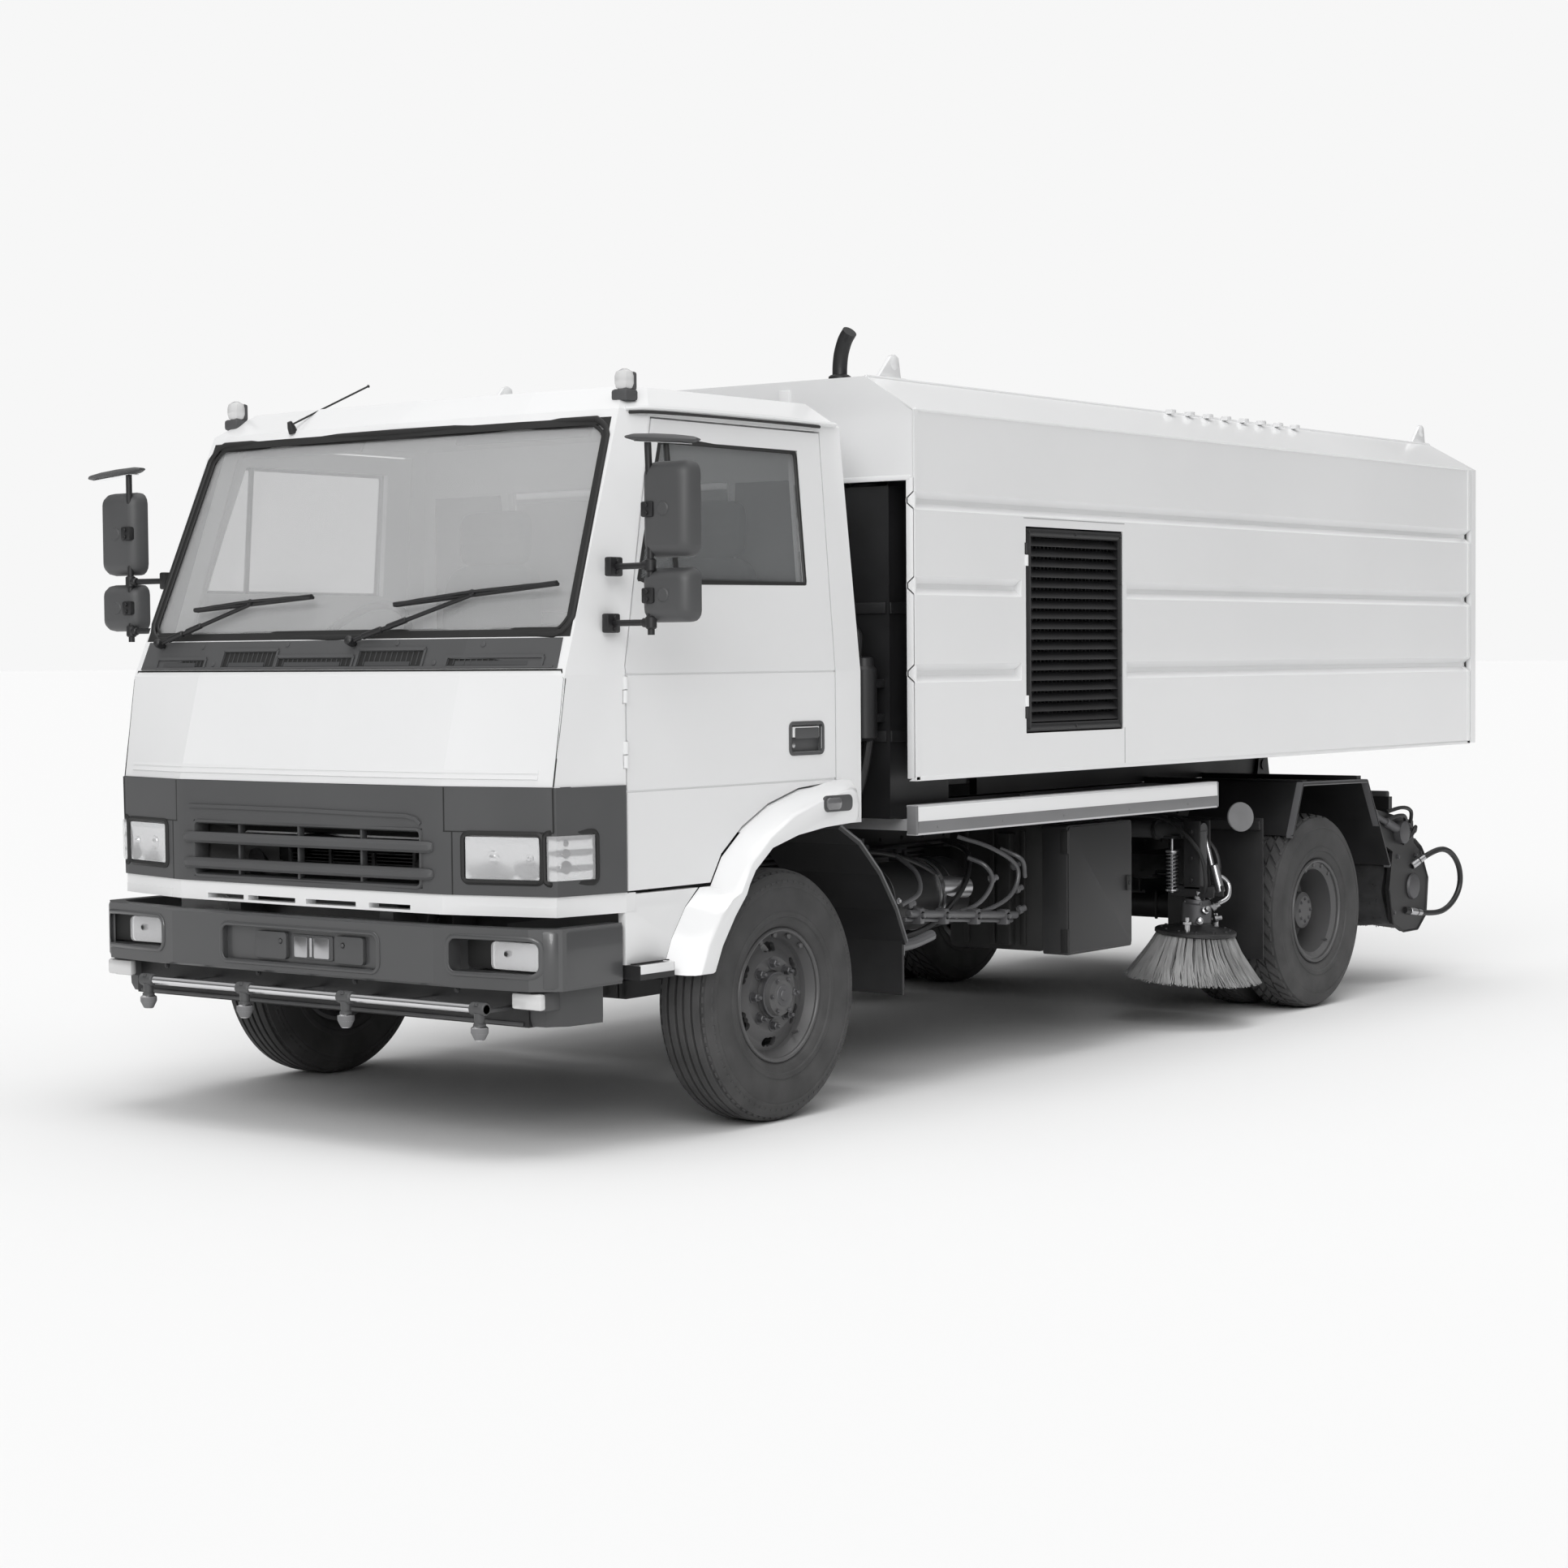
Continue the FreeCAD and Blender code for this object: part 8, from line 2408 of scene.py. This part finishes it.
        sketch.block((0.395, front(1.18), 0.780), (0.515, front(1.60), 0.800), 0.004)
        sketch.piece("valve_blocks", Finishes.iron, "chassis")
        sketch = MeshSketch()
        sketch.tube(((-0.18, front(0.30), 0.600), (-0.30, front(0.60), 0.540),
                     (-0.34, front(1.00), 0.520), (-0.34, front(1.25), 0.520)), 0.038, 14)
        sketch.lathe((-0.34, front(1.25), 0.520), (0, 1, 0), ((0, 0.04), (0.03, 0.105), (0.70, 0.105),
                                                              (0.73, 0.04)), 30)
        sketch.tube(((-0.34, front(1.98), 0.520), (-0.36, front(2.20), 0.560),
                     (-0.30, front(2.55), 0.600)), 0.036, 14)
        for y in (front(1.35), front(1.85)):
            sketch.block((-0.372, y - 0.015, 0.610), (-0.348, y + 0.015, 0.672), 0.003)
        sketch.piece("exhaust", Finishes.iron, "chassis")

    def _behind_cab(self) -> None:
        """Filler, straps, hoses and an air filter between the cab and the body."""
        sketch = MeshSketch()
        face = front(0.753)
        sketch.lathe((0.86, front(0.87), 2.124), (0, 0, 1), ((0, 0.062), (0.016, 0.062), (0.020, 0.070),
                                                             (0.046, 0.070), (0.054, 0.050)), 28)
        for x in (-0.70, -0.25, 0.25, 0.70):
            sketch.block((x - 0.030, face - 0.006, 0.970), (x + 0.030, face + 0.004, 2.115), 0.003)
        for z in (1.25, 1.70):
            sketch.block((-1.020, face - 0.010, z - 0.020), (1.020, face + 0.002, z + 0.020), 0.004)
            sketch.block((1.026, face + 0.004, z - 0.020), (1.036, front(1.115), z + 0.020), 0.003)
        sketch.piece("tank_bands", Finishes.black, "chassis", 30.0)
        sketch = MeshSketch()
        for x, z in ((0.96, 1.30), (0.90, 1.52)):
            sketch.tube(((x - 0.06, front(0.60), 0.95), (x, front(0.66), 1.06),
                         (x + 0.03, front(0.70), z), (x, front(0.735), z + 0.10),
                         (x - 0.08, front(0.75), z + 0.14)), 0.016, 10)
        sketch.lathe((0.980, front(0.668), 1.235), (0, 0, 1), ((0, 0.020), (0.012, 0.046),
                                                               (0.250, 0.046), (0.262, 0.036),
                                                               (0.290, 0.034), (0.294, 0.022)), 28)
        sketch.block((0.93, front(0.700), 1.300), (1.010, front(0.755), 1.330), 0.004)
        sketch.block((0.93, front(0.700), 1.420), (1.010, front(0.755), 1.450), 0.004)
        sketch.piece("filter_and_hoses", Finishes.black, "chassis")

    def _guards(self) -> None:
        """Rolled edges of the mudguards and bolts on the flaps."""
        sketch = MeshSketch()
        front_line = ((0.330, 0.958), (0.445, 0.898), (0.564, 0.788), (0.660, 0.658), (0.723, 0.534))
        rear_line = ((-0.265, 0.756), (-0.168, 0.974), (0.446, 0.964), (0.676, 0.574))
        for y, z in ((0.712, 0.53), (0.712, 0.44)):
            for x in (0.80, 1.06):
                sketch.bolt((x, front(y) + 0.005, z), (0, 1, 0), 0.007, 0.004)
        sketch.mirrored().piece("guard_edges", Finishes.black, "chassis")
        sketch = MeshSketch()
        rings = []
        for y, z in front_line:
            rings.append([(1.070, front(y) - 0.006, z - 0.004), (1.119, front(y) - 0.004, z - 0.003),
                          (1.121, front(y) + 0.004, z + 0.004), (1.117, front(y) + 0.009, z + 0.007),
                          (1.070, front(y) + 0.006, z + 0.005)])
        sketch.skin(rings)
        sketch.block((0.985, front(0.735), 0.474), (1.060, front(0.800), 0.540), 0.008)
        sketch.tube(((1.030, front(0.780), 0.507), (1.025, front(0.90), 0.512),
                     (1.020, front(1.02), 0.530)), 0.020, 10)
        rings = []
        for y, z in rear_line:
            rings.append([(x, rear(y) + shift * 0.4, z - 0.004 + drop) for x, shift, drop in (
                (1.130, 0.0, -0.006), (1.160, 0.0, -0.006), (1.162, 0.010, 0.004), (1.160, 0.0, 0.010),
                (1.130, 0.0, 0.010))])
        sketch.skin(rings)
        sketch.mirrored().piece("guard_beads", Finishes.line, "chassis")
        self._rear_flaps()

    def _rear_flaps(self) -> None:
        """Flaps in front of the rear wheels, each on a beam that comes out from the frame rail."""
        flaps = MeshSketch()
        flaps.block((0.672, rear(-0.470), 0.245), (1.128, rear(-0.462), 0.840), 0.003)
        flaps.block((0.376, rear(-0.486), 0.790), (1.120, rear(-0.466), 0.830), 0.004)
        flaps.mirrored().piece("rear_wheel_flaps", Finishes.black, "chassis")
        sketch = MeshSketch()
        for x in (0.67, 1.09):
            sketch.bolt((x, rear(0.62), 0.668), (0, 0.85, 0.5), 0.007, 0.005)
        sketch.mirrored().piece("guard_screws", Finishes.steel, "chassis")
        sketch = MeshSketch()
        sketch.lathe((1.100, rear(-0.62), 0.852), (0.85, -0.5, 0.1), ((-0.030, 0.016), (-0.020, 0.050),
                                                                      (0.004, 0.062), (0.010, 0.060),
                                                                      (0.014, 0.030)), 28)
        sketch.rod((1.090, rear(-0.614), 0.852), (1.070, rear(-0.58), 0.905), 0.010)
        sketch.piece("work_lamp", Finishes.rubber, "chassis")


# ------------------------------------------------------------------ brooms


@dataclass
class GutterBroom:
    """Disc broom of one side: bristle tufts, plate and motor."""

    side: str
    centre: Tuple[float, float] = (0.990, front(3.000))
    height: float = 0.372
    lean: float = 4.0
    tufts: int = 60
    strands: int = 16

    def build(self) -> None:
        """Makes the broom and the dressing of its arm."""
        way = SIDES[self.side]
        spin = "gutter_broom_" + self.side
        tilt = math.radians(self.lean) * way
        frame = Matrix.Translation((way * self.centre[0], self.centre[1],
                                    self.height)) @ Matrix.Rotation(tilt, 4, "Y")
        chance = random.Random(11 + way)
        bristles, plate, motor = MeshSketch(), MeshSketch(), MeshSketch()
        for row, (inner, outer, spread) in enumerate(((0.148, 0.158, 0.0), (0.118, 0.126, -0.045))):
            for index in range(self.tufts):
                turn = 2 * math.pi * (index + 0.5 * row) / self.tufts
                clump = chance.uniform(-0.10, 0.16), chance.uniform(0.93, 1.01)
                for _ in range(self.strands // (row + 1)):
                    self._strand(bristles, frame, chance, turn + clump[0] * 0.2, (inner + outer) / 2,
                                 (0.281 + spread) * clump[1])
        profile = ((0.002, 0.03), (0.002, 0.160), (0.006, 0.168), (0.018, 0.168), (0.022, 0.163),
                   (0.026, 0.120), (0.036, 0.075), (0.046, 0.062), (0.060, 0.060))
        self._turned(plate, frame, profile, 48)
        for index in range(12):
            turn = 2 * math.pi * index / 12
            spot = frame @ Vector((0.140 * math.cos(turn), 0.140 * math.sin(turn), 0.022))
            plate.bolt(tuple(spot), tuple(frame.to_3x3() @ Vector((0, 0, 1))), 0.0065, 0.007)
        self._turned(motor, frame, ((0.050, 0.040), (0.056, 0.061), (0.128, 0.061), (0.134, 0.052),
                                    (0.148, 0.050)), 28)
        for index in range(4):
            turn = math.pi / 4 + math.pi * index / 2
            spot = frame @ Vector((0.050 * math.cos(turn), 0.050 * math.sin(turn), 0.130))
            motor.bolt(tuple(spot), tuple(frame.to_3x3() @ Vector((0, 0, 1))), 0.007, 0.009)
        self._fittings(way)
        bristles.piece("broom_bristles_" + self.side, Finishes.bristle, spin, 50.0, (spin,))
        plate.piece("broom_plate_" + self.side, Finishes.black, spin)
        motor.piece("broom_motor_" + self.side, Finishes.iron, spin)
        self._arm(way)

    def _fittings(self, way: int) -> None:
        """Adds the bright hydraulic fittings and short loops round the motor."""
        sketch = MeshSketch()
        x, y, z = way * self.centre[0], self.centre[1], self.height
        for out, back, up, aim in ((0.060, -0.040, 0.100, (1, -0.4, 0.5)),
                                   (0.060, 0.030, 0.110, (1, 0.5, 0.6)),
                                   (0.050, -0.055, 0.060, (0.6, -1, 0.3)),
                                   (0.055, 0.052, 0.062, (0.7, 1, 0.2)),
                                   (0.030, -0.030, 0.150, (0.3, -0.3, 1)),
                                   (0.035, 0.035, 0.148, (0.4, 0.4, 1))):
            sketch.lathe((x + way * out, y + back, z + up), (way * aim[0], aim[1], aim[2]),
                         ((0, 0.010), (0.003, 0.016), (0.016, 0.016), (0.019, 0.011), (0.036, 0.011),
                          (0.038, 0.007)), 8)
        sketch.tube(smooth_line([Vector(point) for point in (
            (x + way * 0.075, y + 0.045, z + 0.125), (x + way * 0.095, y + 0.100, z + 0.150),
            (x + way * 0.085, y + 0.130, z + 0.200), (x + way * 0.060, y + 0.105, z + 0.235),
            (x + way * 0.040, y + 0.080, z + 0.205))]), 0.009, 10)
        for back, up in ((-0.120, 0.020), (0.120, 0.020)):
            sketch.lathe((x + way * 0.030, y + back, z + up), (0, 0, 1),
                         ((0, 0.011), (0.030, 0.011), (0.032, 0.018), (0.042, 0.018), (0.044, 0.008),
                          (0.060, 0.008)), 8)
        sketch.piece("broom_fittings_" + self.side, Finishes.steel, "gutter_broom_" + self.side)

    def _turned(self, sketch: MeshSketch, frame: Matrix, profile: Sequence[Tuple[float, float]],
                sides: int) -> None:
        """Turns a profile about the leaning axis of the broom."""
        sketch.lathe(tuple(frame.translation), tuple(frame.to_3x3() @ Vector((0, 0, 1))), profile,
                     sides)

    def _strand(self, sketch: MeshSketch, frame: Matrix, chance: random.Random, turn: float,
                root: float, reach: float) -> None:
        """Adds one bent bristle that spreads outwards and is swept a little."""
        angle = turn + chance.uniform(-0.030, 0.030)
        sweep = chance.uniform(0.02, 0.20)
        length = chance.uniform(0.93, 1.0)
        root += chance.uniform(-0.007, 0.007)
        thick = chance.uniform(0.0013, 0.0022)
        rings = []
        for share in (0.0, 0.35, 0.7, 1.0):
            radius = root + (reach + chance.uniform(-0.003, 0.003) - root) * share ** 1.15
            here = angle + sweep * share * share
            drop = 0.002 - 0.186 * share * length
            side = Vector((-math.sin(here), math.cos(here), 0)) * thick
            out = Vector((math.cos(here), math.sin(here), 0)) * thick * 0.8
            spot = Vector((radius * math.cos(here), radius * math.sin(here), drop))
            rings.append([tuple(frame @ (spot + side)), tuple(frame @ (spot - side * 0.5 + out)),
                          tuple(frame @ (spot - side * 0.5 - out))])
        sketch.skin(rings)

    def _arm(self, way: int) -> None:
        """Springs, links and hoses of the arm that carries the broom."""
        body = "gutter_arm_" + self.side
        x0, y = self.centre
        sketch = MeshSketch()
        coil = []
        for step in range(121):
            turn = 2 * math.pi * step / 12
            z = 0.560 + 0.150 * step / 120
            coil.append((way * (x0 - 0.075 + 0.022 * math.cos(turn)),
                         y - 0.060 + 0.022 * math.sin(turn), z))
        rings = []
        for index, spot in enumerate(coil):
            here = Vector(spot)
            ahead = (Vector(coil[min(index + 1, 120)]) - Vector(coil[max(index - 1, 0)])).normalized()
            side = ahead.cross(Vector((0, 0, 1))).normalized()
            up = side.cross(ahead)
            rings.append([tuple(here + side * 0.0035 * math.cos(a) + up * 0.0035 * math.sin(a))
                          for a in (2 * math.pi * k / 6 for k in range(6))])
        sketch.skin(rings)
        for z in (0.552, 0.712):
            sketch.lathe((way * (x0 - 0.075), y - 0.060, z), (0, 0, 1), ((0, 0.024), (0.002, 0.027),
                                                                         (0.008, 0.027),
                                                                         (0.010, 0.020)), 20)
        sketch.rod((way * (x0 - 0.075), y - 0.060, 0.545), (way * (x0 - 0.075), y - 0.060, 0.770),
                   0.006)
        sketch.rod((way * (x0 + 0.075), y + 0.050, 0.560), (way * (x0 + 0.020), y + 0.040, 0.790),
                   0.012)
        sketch.rod((way * (x0 + 0.090), y + 0.052, 0.545), (way * (x0 + 0.060), y + 0.048, 0.660),
                   0.019)
        sketch.piece("arm_springs_" + self.side, Finishes.steel, body)
        sketch = MeshSketch()
        for y0 in (-0.046, 0.036):
            low, high = sorted((way * (x0 - 0.100), way * (x0 + 0.110)))
            sketch.block((low, y + y0, 0.530), (high, y + y0 + 0.010, 0.575), 0.004)
            low, high = sorted((way * (x0 - 0.030), way * (x0 + 0.048)))
            sketch.block((low, y + y0, 0.560), (high, y + y0 + 0.010, 0.845), 0.004)
        sketch.block((min(way * (x0 - 0.100), way * (x0 - 0.050)), y - 0.090, 0.770),
                     (max(way * (x0 - 0.100), way * (x0 - 0.050)), y - 0.030, 0.782), 0.003)
        for z in (0.600, 0.690, 0.800):
            for y0, out in ((-0.046, -1), (0.046, 1)):
                sketch.bolt((way * (x0 + 0.009), y + y0, z), (0, out, 0), 0.009, 0.009)
        sketch.lathe((way * 0.430, y, 0.800), (way, 0, 0), ((0.08, 0.036), (0.082, 0.040),
                                                            (0.098, 0.040), (0.100, 0.036)), 24)
        for reach in (0.62, 0.80):
            sketch.lathe((way * reach, y, 0.800), (way, 0, 0), ((0, 0.035), (0.002, 0.041),
                                                                (0.018, 0.041), (0.020, 0.035)), 24)
        sketch.piece("arm_brackets_" + self.side, Finishes.black, body)
        sketch = MeshSketch()
        for lift, aside in ((0.0, -0.030), (0.012, 0.030)):
            sketch.tube(((way * 0.56, y + aside, 0.842), (way * 0.74, y + aside * 1.3, 0.860 + lift),
                         (way * 0.90, y + aside * 2.0, 0.842), (way * (x0 + 0.055), y + aside * 2.2,
                                                                0.720),
                         (way * (x0 + 0.078), y + aside * 1.8, 0.590), (way * (x0 + 0.052), y + aside,
                                                                        0.520)), 0.0085, 8)
        sketch.piece("arm_hoses_" + self.side, Finishes.hose, body)


@dataclass
class Roller:
    """Rear roller broom with its bristles, covers and drive."""

    axis: Tuple[float, float] = (rear(1.180), 0.440)
    half: float = 0.985
    radius: float = 0.205

    def build(self) -> None:
        """Makes the broom and its frame's dressing."""
        self._bristles()
        self._covers()
        self._hose()

    def _bristles(self) -> None:
        """Spiral rows of bristles over a closed brush body."""
        y, z = self.axis
        brush, core = MeshSketch(), MeshSketch()
        columns, turns = 60, 72
        rings = []
        for column in range(columns + 1):
            x = -self.half + 0.012 + (2 * self.half - 0.024) * column / columns
            ring = []
            for step in range(turns):
                turn = 2 * math.pi * step / turns
                wave = math.sin(8 * turn + x * 14)
                radius = self.radius - 0.010 + 0.0075 * wave
                ring.append((x, y + radius * math.cos(turn), z + radius * math.sin(turn)))
            rings.append(ring)
        brush.skin(rings)
        chance = random.Random(5)
        for _ in range(5200):
            x = chance.uniform(-self.half + 0.014, self.half - 0.014)
            turn = chance.uniform(0, 2 * math.pi)
            crest = math.sin(8 * turn + x * 14)
            if crest < -0.2:
                continue
            tip = self.radius - chance.uniform(0.0, 0.006) - 0.003 * (1 - crest)
            lean = chance.uniform(-0.03, 0.03)
            thick = 0.0016
            foot = self.radius - 0.040
            base = [(x - thick, turn - 0.010), (x + thick, turn - 0.010), (x, turn + 0.012)]
            rings = [[(bx, y + foot * math.cos(bt), z + foot * math.sin(bt)) for bx, bt in base],
                     [(bx, y + tip * math.cos(bt + lean), z + tip * math.sin(bt + lean)) for bx,
                      bt in base]]
            brush.skin(rings)
        for way in (-1, 1):
            end = way * (self.half - 0.0105)
            core.lathe((end, y, z), (way, 0, 0), ((0, 0.150), (0.002, 0.156), (0.008, 0.156),
                                                  (0.010, 0.140)), 48)
            core.lathe((end, y, z), (way, 0, 0), ((0.004, 0.085), (0.010, 0.080)), 36)
            for index in range(8):
                turn = 2 * math.pi * index / 8
                core.bolt((end + way * 0.008, y + 0.115 * math.cos(turn), z + 0.115 * math.sin(turn)),
                          (way, 0, 0), 0.006, 0.002)
        brush.piece("roller_brush", Finishes.roller, "rear_roller", 40.0, ("rear_roller",))
        core.piece("roller_ends", Finishes.black, "rear_roller")

    def _covers(self) -> None:
        """Bolts, motor, lift links, cover and pipes of the roller frame."""
        y, z = self.axis
        frame = "roller_frame"
        sketch = MeshSketch()
        for way in (-1, 1):
            face = way * 1.030
            sketch.lathe((face, y, z), (way, 0, 0), ((-0.001, 0.058), (0.004, 0.060), (0.014, 0.056),
                                                     (0.020, 0.034)), 32)
            for index in range(6):
                turn = 2 * math.pi * index / 6
                sketch.bolt((face + way * 0.003, y + 0.046 * math.cos(turn),
                             z + 0.046 * math.sin(turn)), (way, 0, 0), 0.0065, 0.008)
            for spot_y, spot_z in ((y - 0.190, 0.330), (y + 0.100, 0.310), (y - 0.150, 0.585),
                                   (y + 0.040, 0.580), (y - 0.030, 0.690)):
                sketch.bolt((face, spot_y, spot_z), (way, 0, 0), 0.009, 0.009)
        sketch.piece("roller_bearings", Finishes.iron, frame)
        sketch = MeshSketch()
        ridge = ((y - 0.240, 0.440), (y - 0.200, 0.280), (y - 0.090, 0.236), (y + 0.060, 0.236),
                 (y + 0.150, 0.300), (y + 0.170, 0.470), (y + 0.090, 0.600))
        for way in (-1, 1):
            for (y0, z0), (y1, z1) in zip(ridge, ridge[1:]):
                sketch.rod((way * 1.030, y0, z0), (way * 1.030, y1, z1), 0.005, 8)
            low, high = sorted((way * 1.012, way * 1.020))
            sketch.prism(((y - 0.120, 0.470), (y + 0.060, 0.470), (y + 0.060, 0.560),
                          (y - 0.060, 0.650), (y - 0.160, 0.600)), "x", (low, high), 0.002)
        shell = []
        for turn in (150, 130, 110, 90, 70, 50, 35):
            angle = math.radians(turn)
            shell.append((y + 0.232 * math.cos(angle), z + 0.232 * math.sin(angle)))
        inner = [(y + 0.226 * math.cos(math.radians(turn)), z + 0.226 * math.sin(math.radians(turn)))
                 for turn in (35, 50, 70, 90, 110, 130, 150)]
        sketch.prism(shell + inner, "x", (-1.011, 1.011))
        for x in (-0.60, 0.0, 0.60):
            sketch.block((x - 0.012, y - 0.050, 0.668), (x + 0.012, y - 0.010, 0.705), 0.004)
        sketch.piece("roller_cover", Finishes.black, frame, 30.0)
        sketch = MeshSketch()
        sketch.lathe((1.012, y - 0.140, 0.700), (1, 0, 0), ((0, 0.040), (0.004, 0.052), (0.050, 0.052),
                                                           (0.054, 0.044)), 28)
        for way in (-1, 1):
            sketch.rod((way * 1.040, y - 0.420, 0.795), (way * 1.040, y - 0.130, 0.700), 0.014)
            sketch.rod((way * 1.040, y - 0.300, 0.756), (way * 1.040, y - 0.130, 0.700), 0.021)
            sketch.lathe((way * 1.028, y - 0.130, 0.700), (way, 0, 0), ((0, 0.026), (0.026, 0.026),
                                                                       (0.030, 0.020)), 20)
            sketch.lathe((way * 1.028, y - 0.420, 0.795), (way, 0, 0), ((0, 0.024), (0.022, 0.024),
                                                                       (0.026, 0.018)), 20)
        for index, (dy, dz) in enumerate(((-0.110, 0.720), (-0.050, 0.735), (0.000, 0.700))):
            sketch.rod((1.018, y + dy, dz), (1.050, y + dy, dz), 0.012)
        sketch.piece("roller_motor_and_links", Finishes.iron, frame)
        sketch = MeshSketch()
        for start, end, lift in (((-0.110, 0.720), (-0.300, 0.760), 0.05),
                                 ((-0.050, 0.735), (-0.280, 0.800), 0.06),
                                 ((0.000, 0.700), (-0.110, 0.645), 0.02)):
            sketch.tube(((1.046, y + start[0], start[1]), (1.062, y + start[0] - 0.03, start[1] + lift),
                         (1.058, y + (start[0] + end[0]) / 2, (start[1] + end[1]) / 2 + lift * 0.8),
                         (1.036, y + end[0], end[1])), 0.009, 8)
        sketch.piece("roller_pipes", Finishes.hose, frame)

    def _hose(self) -> None:
        """Free drive hose in one smooth line through the route of its tube."""
        route = ((1.052, 1.215, 0.560), (1.100, 1.290, 0.612), (1.120, 1.400, 0.600),
                 (1.125, 1.500, 0.520), (1.120, 1.520, 0.415), (1.100, 1.450, 0.330),
                 (1.078, 1.330, 0.300), (1.050, 1.195, 0.320))
        curve = bpy.data.curves.new("drive_hose", "CURVE")
        curve.dimensions = "3D"
        curve.bevel_depth = 0.013
        curve.bevel_resolution = 5
        curve.resolution_u = 10
        curve.use_fill_caps = True
        spline = curve.splines.new("NURBS")
        spline.points.add(len(route) - 1)
        for point, (x, y, z) in zip(spline.points, route):
            point.co = (x, rear(y), z, 1.0)
        spline.order_u = 3
        spline.use_endpoint_u = True
        hose = bpy.data.objects.new("drive_hose", curve)
        bpy.context.scene.collection.objects.link(hose)
        settle(hose, Finishes.hose, "roller_frame", 35.0, ("broom_hose",))
        for name, tip, beyond, span in (("hose_feed_collar", route[0], route[1], 0.050),
                                        ("hose_return_collar", route[-1], route[-2], 0.060)):
            start = Vector((tip[0], rear(tip[1]), tip[2]))
            ahead = (Vector((beyond[0], rear(beyond[1]), beyond[2])) - start).normalized()
            sketch = MeshSketch()
            sketch.lathe(tuple(start - ahead * span), tuple(ahead), ((0, 0.014), (0.004, 0.0175),
                                                                     (span * 0.6, 0.0175),
                                                                     (span, 0.0155),
                                                                     (span + 0.030, 0.0140)), 20)
            sketch.piece(name, Finishes.steel, "roller_frame")


def main(frame: dict) -> None:
    """Builds every part of the scene in order.

    Args:
        frame: the loaded frame.
    """
    logging.basicConfig(level=logging.INFO, format="%(name)s %(message)s")
    Studio().build()
    FrameDressing(frame["nodes"]).build(frame["record"])
    for side in SIDES:
        Tyre("front_tyre_tread_" + side, "front_tyre_" + side, "front_wheel_" + side,
             (SIDES[side] * 1.0195,), front(0), Tread.RIBS).build()
        Tyre("rear_tyre_tread_" + side, "rear_tyres_" + side, "rear_wheel_" + side,
             (SIDES[side] * 1.0445, SIDES[side] * 0.7795), rear(0), Tread.LUGS).build()
        WheelHardware(side).build()
    FrontLamps().build()
    GrillePanel().build()
    FrontTrim().build()
    SidePanels().build()
    BumperTrim().build()
    Wiper("right", (-0.853, -0.919), (-0.0588, 0.4117), (-0.715, 1.706), (-0.127, 1.742)).build()
    Wiper("left", (0.116, -0.964), (0.0593, 0.4292), (0.256, 1.709), (0.896, 1.766)).build()
    for side in SIDES:
        DoorTrim(side).build()
    Mirrors().build()
    Interior().build()
    RoofTrim().build()
    BodyTrim().build()
    ChassisTrim().build()
    for side in SIDES:
        GutterBroom(side).build()
    Roller().build()


if __name__ == "__main__":
    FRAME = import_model()
    main(FRAME)
